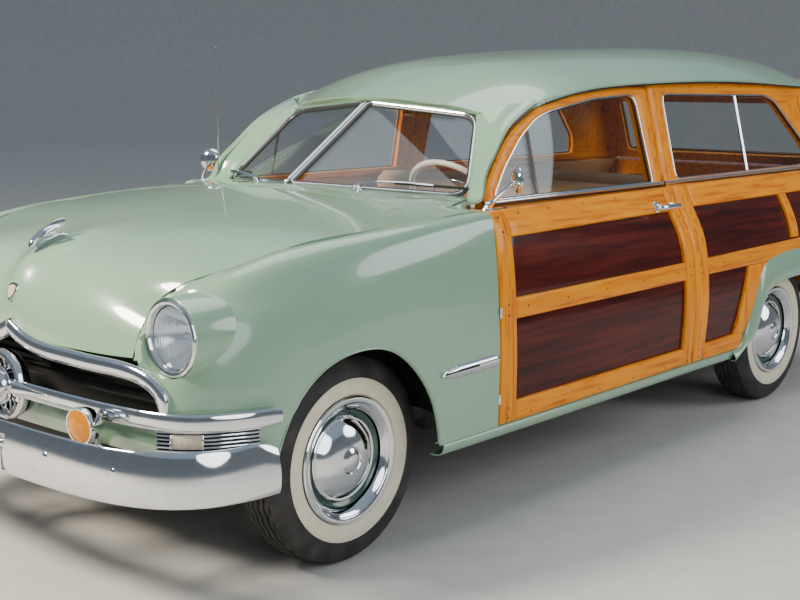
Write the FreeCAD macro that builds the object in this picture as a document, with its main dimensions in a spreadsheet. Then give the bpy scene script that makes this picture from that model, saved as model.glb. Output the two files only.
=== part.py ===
"""Two-door wood-bodied station wagon of about 1950, built from separate panels and running gear.

Frame: +X forward, +Y the car's left, +Z up, millimetres; z = 0 is the ground and
x = 0 the middle between the two bumper faces.
"""

import FreeCAD
import Part

import math
import os

Vector = FreeCAD.Vector

DRIVING_SIZES = (
    # name, value, what it is
    ("wheelbase", 2896, "between the axle lines"),
    ("front_axle_x", 1662, "front axle line"),
    ("half_length", 2497, "middle to a bumper face"),
    ("half_track", 711, "middle to a wheel's centre plane"),
    ("tyre_radius", 338, "outside of the tread"),
    ("tyre_half_width", 88, "half the section width"),
    ("rim_flange_radius", 202, "outside of the rim flange"),
    ("rim_half_width", 74, "half the width over the flanges"),
    ("hub_bore", 22.3, "radius of the wheel's centre bore"),
    ("spindle_radius", 22, "radius of the stub axle"),
    ("kingpin_y", 600, "middle to the kingpin"),
    ("kingpin_radius", 13, "radius of the kingpin"),
    ("running_gap", 0.3, "between faces that turn in each other"),
    ("rail_y", 370, "middle to the middle of a frame rail"),
    ("rail_width", 60, "width of a frame rail"),
    ("rail_depth", 120, "height of a frame rail"),
    ("rail_low_z", 250, "underside of the rails between the axles"),
    ("floor_z", 385, "underside of the front floor"),
    ("load_floor_z", 560, "underside of the load floor"),
    ("sheet_thickness", 20, "thickness of steel walls"),
    ("shut_gap", 6, "gap round doors and lids"),
    ("door_front_x", 1038, "front edge of a door"),
    ("door_rear_x", -278, "rear edge of a door"),
    ("door_bevel", 24, "how far a door's rear edge leans inward"),
    ("hinge_x", 1043, "door hinge line"),
    ("hinge_y", 905, "middle to a door's hinge line"),
    ("barrel_radius", 4.5, "outside of a hinge barrel"),
    ("pin_radius", 2.5, "hinge pin"),
    ("belt_z", 1085, "foot of the side windows"),
    ("belt_y", 735, "outside of the side windows at their foot"),
    ("tumblehome_degrees", 13.53, "inward lean of the side windows"),
    ("post_thickness", 44, "thickness of the window posts"),
    ("glass_thickness", 6, "thickness of the panes"),
    ("panel_recess", 14, "how far the boards lie behind their frame"),
    ("axle_tube_radius", 38, "radius of the rear axle's tube"),
    ("pipe_radius", 24, "radius of the exhaust pipe"),
    ("pipe_clearance", 8, "between the exhaust pipe and the cross members"),
    ("pipe_y", 255, "middle to the exhaust pipe, on the right side"),
    ("hanger_width", 24, "length of an exhaust hanger along the car"),
    ("hanger_thickness", 10, "thickness of an exhaust hanger"),
    ("steering_wheel_radius", 216, "rim of the steering wheel"),
    ("column_rise_degrees", 40, "slope of the steering column"),
    ("radiator_rear_x", 2180, "back of the radiator"),
    ("radiator_thickness", 50, "thickness of the radiator core"),
    ("radiator_width", 540, "width of the radiator"),
    ("radiator_low_z", 420, "foot of the radiator"),
    ("radiator_height", 460, "height of the radiator"),
    ("tank_front_x", -1800, "front of the fuel tank"),
    ("tank_length", 370, "length of the fuel tank"),
    ("tank_width", 620, "width of the fuel tank"),
    ("tank_low_z", 350, "underside of the fuel tank"),
    ("tank_depth", 130, "depth of the fuel tank below its raised top"),
    ("plate_width", 304, "width of a number plate"),
    ("plate_height", 124, "height of a number plate"),
    ("plate_thickness", 3, "thickness of a number plate"),
    ("front_plate_z", 352, "foot of the front number plate"),
    ("rear_plate_z", 312, "foot of the rear number plate"),
)

doc = FreeCAD.newDocument("StationWagon")
sheet = doc.addObject("Spreadsheet::Sheet", "dims")
for row, (name, value, meaning) in enumerate(DRIVING_SIZES, start=1):
    sheet.set(f"A{row}", name)
    sheet.set(f"B{row}", str(value))
    sheet.set(f"C{row}", meaning)
    sheet.setAlias(f"B{row}", name)
doc.recompute()


def size(name):
    """Return one driving size from the sheet."""
    return float(sheet.get(name))


REAR_AXLE_X = size("front_axle_x") - size("wheelbase")
AXLES = (("front", size("front_axle_x")), ("rear", REAR_AXLE_X))
SIDES = (("left", 1), ("right", -1))

# outside half width of the body below the belt: one row per station, one column per level
LEVELS = (345, 480, 620, 740, 880, 960, 1040, 1078)
SIDE_ROWS = (
    # x, then the half width at each level
    (1330, 905, 908, 908, 904, 896, 890, 872, 848),
    (1042, 905, 908, 907, 902, 892, 882, 860, 835),
    (600, 904, 908, 908, 901, 884, 862, 826, 805),
    (160, 900, 907, 909, 900, 875, 842, 800, 785),
    (-278, 896, 905, 909, 898, 868, 828, 786, 774),
    (-760, 896, 905, 908, 897, 866, 826, 784, 772),
    (-1234, 893, 902, 905, 893, 862, 822, 781, 769),
    (-1700, 872, 880, 883, 873, 845, 808, 770, 758),
    (-2050, 838, 846, 849, 840, 815, 782, 748, 740),
    (-2330, 795, 803, 806, 798, 776, 748, 720, 712),
)
INNER_LEVELS = (838, 844, 845, 836, 806, 768, 714, 690)


def between(low, high, share):
    """Return the value a share of the way from low to high."""
    return low + (high - low) * share


def side_y(x, z):
    """Return the body's outside half width at a station and height."""
    rows = SIDE_ROWS
    for front, rear in zip(rows, rows[1:]):
        if x >= rear[0] or rear is rows[-1]:
            share = (front[0] - x) / (front[0] - rear[0])
            values = [between(a, b, share) for a, b in zip(front[1:], rear[1:])]
            break
    return level_value(values, z)


def level_value(values, z):
    """Return a value listed per level, read at a height."""
    for index in range(len(LEVELS) - 1):
        if z <= LEVELS[index + 1] or index == len(LEVELS) - 2:
            share = (z - LEVELS[index]) / (LEVELS[index + 1] - LEVELS[index])
            return between(values[index], values[index + 1], share)
    return values[-1]


def inner_y(x, z):
    """Return the half width of the wall's inside face at a station and height."""
    narrowing = max(0.0, side_y(size("door_rear_x"), z) - side_y(x, z))
    return level_value(INNER_LEVELS, z) - narrowing


FLATNESS = 1e-6


def flat(corners):
    """Return a flat face over a loop of corners."""
    return Part.Face(Part.makePolygon(list(corners) + [corners[0]]))


def quad(a, b, c, d):
    """Return the faces over four corners: one where they lie in a plane, else two triangles."""
    a, b, c, d = (Vector(*corner) for corner in (a, b, c, d))
    corners = [a]
    for corner in (b, c, d):
        if (corner - corners[-1]).Length > FLATNESS and (corner - a).Length > FLATNESS:
            corners.append(corner)
    if len(corners) < 4:
        return [flat(corners)] if len(corners) == 3 else []
    normal = (c - a).cross(d - b).normalize()
    if abs(normal.dot(b - a)) < FLATNESS:
        return [flat(corners)]
    if (c - a).Length <= (d - b).Length:
        return [flat((a, b, c)), flat((a, c, d))]
    return [flat((a, b, d)), flat((b, c, d))]


def closed(faces):
    """Return the solid that a closed set of faces bounds."""
    shell = Part.Shell(faces)
    shell.sewShape()
    solid = Part.Solid(shell)
    if solid.Volume < 0:
        solid.reverse()
    return solid


def thick_panel(outer, inner):
    """Return the solid between two grids of points, both with the same rows and columns."""
    faces = []
    rows = len(outer)
    columns = len(outer[0])
    for grid in (outer, inner):
        for i in range(rows - 1):
            for j in range(columns - 1):
                faces.extend(quad(grid[i][j], grid[i][j + 1], grid[i + 1][j + 1], grid[i + 1][j]))
    for i in (0, rows - 1):
        for j in range(columns - 1):
            faces.extend(quad(outer[i][j], outer[i][j + 1], inner[i][j + 1], inner[i][j]))
    for j in (0, columns - 1):
        for i in range(rows - 1):
            faces.extend(quad(outer[i][j], outer[i + 1][j], inner[i + 1][j], inner[i][j]))
    return closed(faces)


def prism(points, direction):
    """Return a polygon of points drawn out along a direction."""
    wire = Part.makePolygon([Vector(*point) for point in list(points) + [points[0]]])
    return Part.Face(wire).extrude(Vector(*direction))


def side_prism(outline, y_low, y_high):
    """Return an outline of (x, z) points drawn out between two y values."""
    return prism([(x, y_low, z) for x, z in outline], (0, y_high - y_low, 0))


def block(x_low, x_high, y_low, y_high, z_low, z_high):
    """Return a box from its six limits."""
    lengths = (x_high - x_low, y_high - y_low, z_high - z_low)
    return Part.makeBox(*lengths, Vector(x_low, y_low, z_low))


def sided_block(x_low, x_high, y_near, y_far, z_low, z_high, sign):
    """Return a box given by its distances from the middle, on the left (1) or the right (-1) side."""
    ends = sorted((sign * y_near, sign * y_far))
    return block(x_low, x_high, ends[0], ends[1], z_low, z_high)


def rod(start, end, radius):
    """Return a round bar between two points."""
    first = Vector(*start)
    along = Vector(*end).sub(first)
    return Part.makeCylinder(radius, along.Length, first, along)


def bar(start, end, radius, sides):
    """Return a straight bar of flat sides between two points; the radius is that of its flats."""
    first = Vector(*start)
    along = Vector(*end) - first
    reach = radius / math.cos(math.pi / sides)
    across = along.cross(Vector(0, 0, 1) if abs(along.z) < 0.9 * along.Length else Vector(1, 0, 0)).normalize()
    upward = along.cross(across).normalize()
    corners = []
    for index in range(sides):
        angle = 2 * math.pi * (index + 0.5) / sides
        corners.append(first + across * (reach * math.sin(angle)) + upward * (reach * math.cos(angle)))
    return flat(corners).extrude(along)


def ring(outline, centre, sides):
    """Return a closed outline of (across, radius) points set round an axis along Y in flat sections.

    The radii are those of the flats, and one flat looks straight down.
    """
    faces = []
    widening = 1 / math.cos(math.pi / sides)
    sections = []
    for index in range(sides):
        angle = 2 * math.pi * (index + 0.5) / sides
        sections.append(
            [
                (
                    centre[0] + radius * widening * math.sin(angle),
                    centre[1] + across,
                    centre[2] - radius * widening * math.cos(angle),
                )
                for across, radius in outline
            ]
        )
    for here, there in zip(sections, sections[1:] + sections[:1]):
        for index, low in enumerate(here):
            after = (index + 1) % len(here)
            faces.extend(quad(low, here[after], there[after], there[index]))
    return closed(faces)


def other_side(shape):
    """Return the shape mirrored to the car's other side."""
    return shape.mirror(Vector(0, 0, 0), Vector(0, 1, 0))


def both_sides(shape):
    """Return the shape with its mirror image, as separate solids."""
    return Part.makeCompound([shape, other_side(shape)])


def joined(shapes):
    """Return one solid made of touching shapes."""
    return shapes[0].multiFuse(shapes[1:]).removeSplitter()


def main_solid(shape):
    """Return a shape's largest solid, without the crumbs that a cut leaves at an edge."""
    return max(shape.Solids, key=lambda solid: solid.Volume)


def offset(point, shift):
    """Return the point moved by a shift."""
    return tuple(a + b for a, b in zip(point, shift))


NODES = []


def node(name, shape):
    """Put one sub-part into the document under its own name."""
    item = doc.addObject("Part::Feature", name)
    item.Label = name
    item.Shape = shape
    NODES.append(item)
    return item


def bound_block(name, corner, lengths):
    """Put a box into the document whose corner and lengths are bound to the sheet by expressions."""
    item = doc.addObject("Part::Box", name)
    for axis_name, expression in zip("xyz", corner):
        item.setExpression(f"Placement.Base.{axis_name}", expression)
    for length_name, expression in zip(("Length", "Width", "Height"), lengths):
        item.setExpression(length_name, expression)
    return item


def bound_node(name, items, kind="Part::MultiFuse"):
    """Put one sub-part into the document that is made of bound objects."""
    if len(items) == 1:
        whole = items[0]
    else:
        whole = doc.addObject(kind, name)
        setattr(whole, "Shapes" if kind == "Part::MultiFuse" else "Links", items)
    whole.Label = name
    NODES.append(whole)
    return whole


# chassis
floor_z = size("floor_z")
rail_low = size("rail_low_z")
rail_high = rail_low + size("rail_depth")
RAIL_RISES = (
    # x, how far the rail is raised there
    (2290, 150),
    (2120, 150),
    (1950, 30),
    (1300, 0),
    (-690, 0),
    (-880, 190),
    (-1560, 190),
    (-1900, 60),
    (-2330, 60),
)
rail_outline = [(x, rail_low + rise) for x, rise in RAIL_RISES]
rail_outline += [(x, rail_high + rise) for x, rise in reversed(RAIL_RISES)]
rail_in = size("rail_y") - size("rail_width") / 2
rail_out = size("rail_y") + size("rail_width") / 2
frame_pieces = [side_prism(rail_outline, rail_in, rail_out), side_prism(rail_outline, -rail_out, -rail_in)]
CROSS_MEMBERS = (
    # x low, x high, z low, z high
    (2230, 2288, 410, 500),
    (760, 840, 196, 252),
    (-480, -400, 196, 252),
    (-1790, -1720, 380, 440),
    (-2320, -2260, 320, 420),
)
for x_low, x_high, z_low, z_high in CROSS_MEMBERS:
    frame_pieces.append(block(x_low, x_high, -rail_out + 5, rail_out - 5, z_low, z_high))
OUTRIGGERS = (900, 0, -420)
for outrigger_x in OUTRIGGERS:
    for sign in (1, -1):
        ends = sorted((sign * (rail_out - 5), sign * 792))
        frame_pieces.append(block(outrigger_x - 30, outrigger_x + 30, ends[0], ends[1], 325, floor_z))
EXHAUST_PATH = (
    # x, height of the pipe's middle
    (1490, 290),
    (1100, 232),
    (-760, 228),
    (-1060, 224),
    (-1700, 262),
    (-2400, 286),
)
pipe_y = -size("pipe_y")
pipe_radius = size("pipe_radius")
pipe_room_radius = pipe_radius + size("pipe_clearance")
pipe_bends = [(x, pipe_y, z) for x, z in EXHAUST_PATH]
pipe_room = [bar(start, end, pipe_room_radius, 12) for start, end in zip(pipe_bends, pipe_bends[1:])]
chassis = joined(frame_pieces).cut(pipe_room)
node("chassis_frame", chassis)

axle_z = size("tyre_radius")
front_x = size("front_axle_x")
kingpin_y = size("kingpin_y")
gap = size("running_gap")
pin = size("kingpin_radius")
suspension_pieces = [block(front_x - 70, front_x + 70, -rail_out, rail_out, 200, 263)]
for sign in (1, -1):
    for z_low, z_high, spread in ((222, 250, 110), (430, 452, 80)):
        arm = prism(
            [
                (front_x - spread, sign * (rail_out - 25), z_low),
                (front_x + spread, sign * (rail_out - 25), z_low),
                (front_x + 26, sign * (kingpin_y - 6), z_low),
                (front_x + 20, sign * (kingpin_y + 22), z_low),
                (front_x - 20, sign * (kingpin_y + 22), z_low),
                (front_x - 26, sign * (kingpin_y - 6), z_low),
            ],
            (0, 0, z_high - z_low),
        )
        pin_room = bar((front_x, sign * kingpin_y, z_low - 5), (front_x, sign * kingpin_y, z_high + 5), pin + gap, 12)
        suspension_pieces.append(arm.cut(pin_room))
    tower = sided_block(front_x - 60, front_x + 60, 345, 398, 391, 470, sign)
    suspension_pieces.append(tower)
node("front_suspension", joined(suspension_pieces))

engine = joined(
    [
        block(1480, 2080, -190, 190, 330, 700),
        block(1500, 2060, -290, 290, 640, 900),
        block(1740, 1780, -380, 380, 393, 413),
    ]
)
node("engine_block", engine)
radiator = bound_block(
    "radiator_core",
    ("dims.radiator_rear_x", "-dims.radiator_width / 2", "dims.radiator_low_z"),
    ("dims.radiator_thickness", "dims.radiator_width", "dims.radiator_height"),
)
bound_node("radiator", [radiator])

shaft_start = (1045, 0, 296)
shaft = bar(shaft_start, (REAR_AXLE_X + 110, 0, axle_z), 36, 12)

track = size("half_track")
tube = size("axle_tube_radius")
WHEEL_SIDES = 20
DIFFERENTIAL_OUTLINE = ((-112, 0), (-104, 60), (-62, 108), (0, 125), (62, 108), (104, 60), (112, 0))
BACKING_OUTLINE = ((0, 0), (0, 120), (4, 131), (10, 131), (10, 0))
rear_axle_pieces = [
    bar((REAR_AXLE_X, -track + 62, axle_z), (REAR_AXLE_X, track - 62, axle_z), tube, 12),
    ring(DIFFERENTIAL_OUTLINE, (REAR_AXLE_X, 0, axle_z), 20),
]
for sign in (1, -1):
    backing_outline = [(sign * (across - 78), radius) for across, radius in BACKING_OUTLINE]
    rear_axle_pieces.append(ring(backing_outline, (REAR_AXLE_X, sign * track, axle_z), WHEEL_SIDES))
    half_shaft_ends = ((REAR_AXLE_X, sign * (track - 70), axle_z), (REAR_AXLE_X, sign * (track + 28), axle_z))
    rear_axle_pieces.append(rod(*half_shaft_ends, size("spindle_radius")))
rear_axle = joined(rear_axle_pieces)
node("rear_axle", rear_axle)
node("driveshaft", joined([block(1040, 1479, -85, 85, 215, 372), shaft]).cut(rear_axle))

spring = joined(
    [
        side_prism(
            (
                (REAR_AXLE_X + 620, 330),
                (REAR_AXLE_X + 300, 290),
                (REAR_AXLE_X, 268),
                (REAR_AXLE_X - 300, 290),
                (REAR_AXLE_X - 600, 344),
                (REAR_AXLE_X - 600, 356),
                (REAR_AXLE_X - 300, 306),
                (REAR_AXLE_X, 296),
                (REAR_AXLE_X + 300, 306),
                (REAR_AXLE_X + 620, 342),
            ),
            500,
            556,
        ),
        block(REAR_AXLE_X - 60, REAR_AXLE_X + 60, 505, 551, 296, 345),
        block(REAR_AXLE_X + 590, REAR_AXLE_X + 620, rail_out, 556, 320, 350),
        block(REAR_AXLE_X - 600, REAR_AXLE_X - 570, 480, 556, 340, 520),
        block(REAR_AXLE_X - 600, REAR_AXLE_X - 570, rail_out, 490, 470, 520),
    ]
).cut(bar((REAR_AXLE_X, 400, axle_z), (REAR_AXLE_X, 640, axle_z), tube + gap, 12))
node("leaf_springs", both_sides(spring))

MUFFLER_BOX = (-330, 310, -330, -180, 195, 265)
HANGERS = (
    # x, height of the pipe's middle there, height of the hanger's foot on the rail
    (400, 230, 300),
    (-600, 228, 300),
    (-1660, 260, 430),
    (-2215, 280, 340),
)
exhaust_pieces = [bar(start, end, pipe_radius, 12) for start, end in zip(pipe_bends, pipe_bends[1:])]
exhaust_pieces.append(block(*MUFFLER_BOX))
half_hanger = size("hanger_width") / 2
hanger_depth = size("hanger_thickness")
leg_in = pipe_y + hanger_depth / 2
leg_out = pipe_y - hanger_depth / 2
for hanger_x, pipe_z, foot_z in HANGERS:
    ends = (hanger_x - half_hanger, hanger_x + half_hanger)
    exhaust_pieces.append(block(*ends, leg_out, leg_in, pipe_z, foot_z))
    exhaust_pieces.append(block(*ends, -rail_in, leg_in, foot_z - hanger_depth, foot_z))
node("exhaust", joined(exhaust_pieces))
tank_low = bound_block(
    "tank_body",
    ("dims.tank_front_x - dims.tank_length", "-dims.tank_width / 2", "dims.tank_low_z"),
    ("dims.tank_length", "dims.tank_width", "dims.tank_depth"),
)
tank_high = bound_block(
    "tank_top",
    (
        "dims.tank_front_x - dims.tank_length + 20",
        "-dims.tank_width / 2 + 50",
        "dims.tank_low_z + dims.tank_depth - 10",
    ),
    (
        "dims.tank_length - 50",
        "dims.tank_width - 100",
        "dims.load_floor_z - dims.tank_low_z - dims.tank_depth + 10",
    ),
)
bound_node("fuel_tank", [tank_low, tank_high])

# wheels
flange = size("rim_flange_radius")
rim_half = size("rim_half_width")
bore = size("hub_bore")
tread = size("tyre_radius")
bulge = size("tyre_half_width")
WHEEL_OUTLINE = (
    # across, radius: hub cap, disc, trim ring, rim well, flanges, brake drum, hub
    (92, 0),
    (86, 84),
    (64, 131),
    (40, 131),
    (40, 150),
    (85, 196),
    (80, flange + 1),
    (66, flange + 1),
    (66, flange - 10),
    (-66, flange - 10),
    (-rim_half, flange),
    (-70, 184),
    (16, 174),
    (14, 142),
    (-58, 142),
    (-58, 60),
    (-36, 60),
    (-36, 0),
)
HUB_DEPTH = 34
TYRE_OUTLINE = (
    (-65, flange - 9.5),
    (-65, flange + 2),
    (-86, 238),
    (-bulge, 262),
    (-82, tread - 38),
    (-62, tread - 8),
    (0, tread),
    (62, tread - 8),
    (82, tread - 38),
    (bulge, 262),
    (86, 238),
    (65, flange + 2),
    (65, flange - 9.5),
)
for end_name, axle_x in AXLES:
    for side_name, sign in SIDES:
        centre = (axle_x, sign * track, axle_z)
        place = f"{end_name}_{side_name}"
        tyre_outline = [(sign * across, radius) for across, radius in TYRE_OUTLINE]
        wheel_outline = [(sign * across, radius) for across, radius in WHEEL_OUTLINE]
        bore_start = (axle_x, sign * (track - HUB_DEPTH - 6), axle_z)
        bore_end = (axle_x, sign * (track + HUB_DEPTH), axle_z)
        node(f"tyre_{place}", ring(tyre_outline, centre, WHEEL_SIDES))
        node(f"wheel_{place}", ring(wheel_outline, centre, WHEEL_SIDES).cut(rod(bore_start, bore_end, bore)))

for side_name, sign in SIDES:
    ends = sorted((sign * (kingpin_y - 20), sign * (kingpin_y + 26)))
    upright = block(front_x - 26, front_x + 26, ends[0], ends[1], 256, 424)
    spindle_start = (front_x, sign * kingpin_y, axle_z)
    spindle_end = (front_x, sign * (track + 28), axle_z)
    shoulder_end = (front_x, sign * (track - 70), axle_z)
    backing_outline = [(sign * (across - 78), radius) for across, radius in BACKING_OUTLINE]
    knuckle = joined(
        [
            upright,
            rod((front_x, sign * kingpin_y, 215), (front_x, sign * kingpin_y, 460), pin),
            rod(spindle_start, spindle_end, size("spindle_radius")),
            ring(backing_outline, (front_x, sign * track, axle_z), WHEEL_SIDES),
            bar(spindle_start, shoulder_end, 34, 12),
            block(front_x - 150, front_x, min(ends), min(ends) + 30, 300, 322),
        ]
    )
    node(f"knuckle_{side_name}", knuckle)

# tub: floor, dash panel, sills, wheel boxes
wall = size("sheet_thickness")
floor_z = size("floor_z")
load_z = size("load_floor_z")
tub_pieces = [
    block(-700, 1110, -835, 835, floor_z, floor_z + wall),
    block(1095, 1110, -780, 780, floor_z, 1010),
    block(-720, -700, -835, 835, floor_z, load_z + wall),
    block(-2190, -700, -575, 575, load_z, load_z + wall),
]
TUB_SIDE_BLOCKS = (
    # x low, x high, y low, y high, z low, z high
    (-590, 1110, 792, 884, 300, 338),
    (-590, 1110, 792, 812, 300, 404),
    (-1700, -700, 560, 580, 405, 760),
    (-1700, -700, 560, 800, 745, 765),
    (-720, -700, 560, 800, 405, 765),
    (-2190, -1690, 560, 720, load_z, load_z + wall),
    (-1710, -1690, 560, 800, load_z, 765),
    (1054, 1110, 770, 876, floor_z, 1000),
)
# the boarded panel that goods lie on, a step above the steel floor
LOAD_PANEL = (-2170, -985, -540, 540, load_z + wall, load_z + wall + 6)
tub_pieces.append(block(*LOAD_PANEL))
for x_low, x_high, y_low, y_high, z_low, z_high in TUB_SIDE_BLOCKS:
    for sign in (1, -1):
        ends = sorted((sign * y_low, sign * y_high))
        tub_pieces.append(block(x_low, x_high, ends[0], ends[1], z_low, z_high))

# doors
shut = size("shut_gap")
door_front = size("door_front_x")
door_rear = size("door_rear_x")
bevel = size("door_bevel")
lean = math.radians(size("tumblehome_degrees"))
belt_z = size("belt_z")
belt_y = size("belt_y")


def wall_grids(stations, z_values, outer_drop=0.0, rear_inner_shift=0.0):
    """Return the outer and inner grids of a stretch of side wall."""
    outer = []
    inner = []
    for station in stations:
        shift = rear_inner_shift if station is stations[-1] else 0.0
        outer.append([(x_at(station, z), side_y(x_at(station, z), z) - outer_drop, z) for z in z_values])
        inner.append([(x_at(station, z) + shift, inner_y(x_at(station, z), z), z) for z in z_values])
    return outer, inner


def x_at(station, z):
    """Return a station's x: a number, or the tail's slope read at a height."""
    if station == "tail":
        return tail_x(z)
    return station


TAIL_LINE = (
    # z, x of the tail's outside
    (345, -2300),
    (430, -2290),
    (1060, -2135),
    (1085, -2130),
    (1560, -1815),
)


def tail_x(z):
    """Return the x of the body's tail at a height."""
    for low, high in zip(TAIL_LINE, TAIL_LINE[1:]):
        if z <= high[0] or high is TAIL_LINE[-1]:
            return between(low[1], high[1], (z - low[0]) / (high[0] - low[0]))
    return TAIL_LINE[-1][1]


def tilted(outline, depth, outset=0.0):
    """Return an outline of (x, z) points drawn in the leaning window plane and thickened inward."""
    points = [(x, (z - belt_z) / math.cos(lean)) for x, z in outline]
    shape = prism([(x, outset - depth, rise) for x, rise in points], (0, depth, 0))
    shape.rotate(Vector(0, 0, 0), Vector(1, 0, 0), math.degrees(lean))
    shape.translate(Vector(0, belt_y, belt_z))
    return shape


DOOR_OPENINGS = (
    # x low, x high, z low, z high of the boards between the frame's rails
    (-205, 948, 777, 986),
    (-205, 945, 417, 704),
)
DOOR_WINDOW_OUTLINE = (
    (930, 1083),
    (880, 1160),
    (810, 1233),
    (740, 1296),
    (663, 1346),
    (487, 1418),
    (227, 1462),
    (-90, 1487),
    (door_rear, 1490),
    (door_rear, 1083),
)
DOOR_GLASS_OUTLINE = (
    (862, 1100),
    (770, 1200),
    (640, 1308),
    (524, 1372),
    (430, 1396),
    (121, 1438),
    (-140, 1450),
    (-175, 1430),
    (-200, 1110),
    (-200, 1100),
)
door_stations = (door_front, 600, 160, door_rear)
door_outer, door_inner = wall_grids(door_stations, LEVELS, rear_inner_shift=bevel)
door_slab = thick_panel(door_outer, door_inner)
post = size("post_thickness")
window_frame = tilted(DOOR_WINDOW_OUTLINE, post).cut(tilted(DOOR_GLASS_OUTLINE, 3 * post, outset=post))
sill_strip_rear = door_rear + bevel
sill_strip_outline = ((sill_strip_rear, 1070), (924, 1070), (924, 1092), (sill_strip_rear, 1092))
door_sill_strip = side_prism(sill_strip_outline, 690, 740)
door_frame_shape = door_slab
door_boards = []
recess = size("panel_recess")
board_outer, board_inner = wall_grids(door_stations, LEVELS, outer_drop=recess, rear_inner_shift=bevel)
board_slab = thick_panel(board_outer, board_inner)
for x_low, x_high, z_low, z_high in DOOR_OPENINGS:
    opening = block(x_low, x_high, 600, 1000, z_low, z_high)
    door_frame_shape = door_frame_shape.cut(opening)
    door_boards.append(board_slab.common(opening))
door_frame_shape = joined([door_frame_shape, window_frame, door_sill_strip])
door_glass = tilted(DOOR_GLASS_OUTLINE, size("glass_thickness"), outset=-16)
handle = joined(
    [
        bar((-110, 830, 1003), (-240, 828, 1003), 9, 8),
        bar((-120, 780, 1003), (-120, 830, 1003), 8, 8),
        bar((-228, 780, 1003), (-228, 828, 1003), 8, 8),
    ]
)
mirror_arm = bar((905, 770, 1075), (850, 815, 1165), 6, 6)
mirror_head = ring(((-8, 0), (-8, 44), (0, 50), (8, 46), (8, 0)), (0, 0, 0), 16)
mirror_head.rotate(Vector(0, 0, 0), Vector(0, 0, 1), 55)
mirror_head.translate(Vector(849, 817, 1170))
# rear side walls
ARCH_REAR = (
    # lip: along from the axle and z, rim: along and z
    (592, 296, 600, 340),
    (558, 320, 547, 352),
    (441, 390, 472, 460),
    (391, 487, 409, 591),
    (341, 549, 353, 683),
    (267, 587, 244, 722),
    (107, 610, 110, 735),
    (0, 613, 0, 737),
)
ARCH_FRONT = (
    (396, 389),
    (358, 529),
    (298, 621),
    (195, 692),
    (67, 717),
    (-67, 696),
    (-184, 613),
    (-273, 483),
    (-309, 325),
)
arch_rows = [(REAR_AXLE_X + row[0], row[1], REAR_AXLE_X + row[2], row[3]) for row in ARCH_REAR]
arch_rows += [
    (REAR_AXLE_X - row[0], row[1], REAR_AXLE_X - row[2], row[3]) for row in reversed(ARCH_REAR[:-1])
]
rim_line = [(rim_x, rim_z) for _, _, rim_x, rim_z in arch_rows]
arch_rim_block = side_prism(rim_line + [(rim_line[-1][0], 100), (rim_line[0][0], 100)], 590, 1000)
side_stations = (door_rear - shut, -760, REAR_AXLE_X, -1700, -2050, "tail")
side_outer, side_inner = wall_grids(side_stations, LEVELS)
side_slab = thick_panel(side_outer, side_inner)
SIDE_OPENINGS = (
    # x and z of each corner
    ((-385, 777), (-402, 988), (-1200, 990), (-1200, 790)),
    ((-1268, 790), (-1268, 990), (-2030, 990), (-2060, 790)),
    ((-385, 412), (-380, 708), (-748, 708), (-654, 420)),
    ((-1720, 708), (-2095, 708), (-2150, 430), (-1814, 420)),
)
side_board_outer, side_board_inner = wall_grids(side_stations, LEVELS, outer_drop=recess)
side_board_slab = thick_panel(side_board_outer, side_board_inner).cut(arch_rim_block)
side_frame_shape = side_slab.cut(arch_rim_block)
side_boards = []
for corners in SIDE_OPENINGS:
    opening = side_prism(corners, 590, 1000)
    side_frame_shape = side_frame_shape.cut(opening)
    board = side_board_slab.common(opening)
    side_boards.append(main_solid(board))
SIDE_WINDOW_OUTLINE = (
    (door_rear - shut, 1083),
    (door_rear - shut, 1508),
    (-700, 1518),
    (-1200, 1512),
    (-1550, 1496),
    (-1866, 1484),
    (-2128, 1083),
)
QUARTER_GLASS_OUTLINE = (
    (-396, 1104),
    (-396, 1440),
    (-430, 1450),
    (-1330, 1436),
    (-1421, 1410),
    (-1665, 1201),
    (-1700, 1104),
)
quarter_frame = tilted(SIDE_WINDOW_OUTLINE, post).cut(tilted(QUARTER_GLASS_OUTLINE, 3 * post, outset=post))
ledge_front = door_rear - shut
side_ledge = side_prism(((-2128, 1068), (-2128, 1090), (ledge_front, 1090), (ledge_front, 1068)), 690, 742)
side_frame_whole = joined([side_frame_shape, quarter_frame, side_ledge])
node("side_boards", both_sides(Part.makeCompound(side_boards)))
FLARE_DEPTH = 28
flare_outer = []
flare_inner = []
for lip_x, lip_z, rim_x, rim_z in arch_rows:
    middle_x = between(lip_x, rim_x, 0.45)
    middle_z = between(lip_z, rim_z, 0.45)
    rim_y = side_y(rim_x, max(rim_z, 345)) + 2
    lip_y = rim_y + 17
    flare_outer.append([(lip_x, lip_y - 2, lip_z), (middle_x, lip_y, middle_z), (rim_x, rim_y, rim_z)])
    flare_row = ((lip_x, lip_y, lip_z), (middle_x, lip_y, middle_z), (rim_x, rim_y, rim_z))
    flare_inner.append([(x, y - FLARE_DEPTH, z) for x, y, z in flare_row])
node("rear_fenders", both_sides(thick_panel(flare_outer, flare_inner)))

# roof
ROOF_ROWS = (
    # x, height at the middle, height of the edge, half width of the edge, roundness
    (770, 1434, 1330, 560, 2.0),
    (655, 1478, 1366, 590, 2.0),
    (500, 1526, 1434, 655, 2.5),
    (227, 1584, 1472, 662, 3.0),
    (-208, 1632, 1500, 666, 3.4),
    (-701, 1652, 1508, 667, 3.6),
    (-1150, 1656, 1502, 664, 3.6),
    (-1550, 1640, 1486, 656, 3.4),
    (-1740, 1620, 1480, 648, 3.2),
    (-1840, 1586, 1478, 640, 3.0),
    (-1882, 1545, 1477, 634, 3.0),
    (-1900, 1498, 1476, 630, 3.0),
)
ROOF_SHARES = (1.0, 0.97, 0.9, 0.78, 0.56, 0.28, 0.0)
ROOF_DEPTH = 26
REAR_LIP = 3


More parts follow.
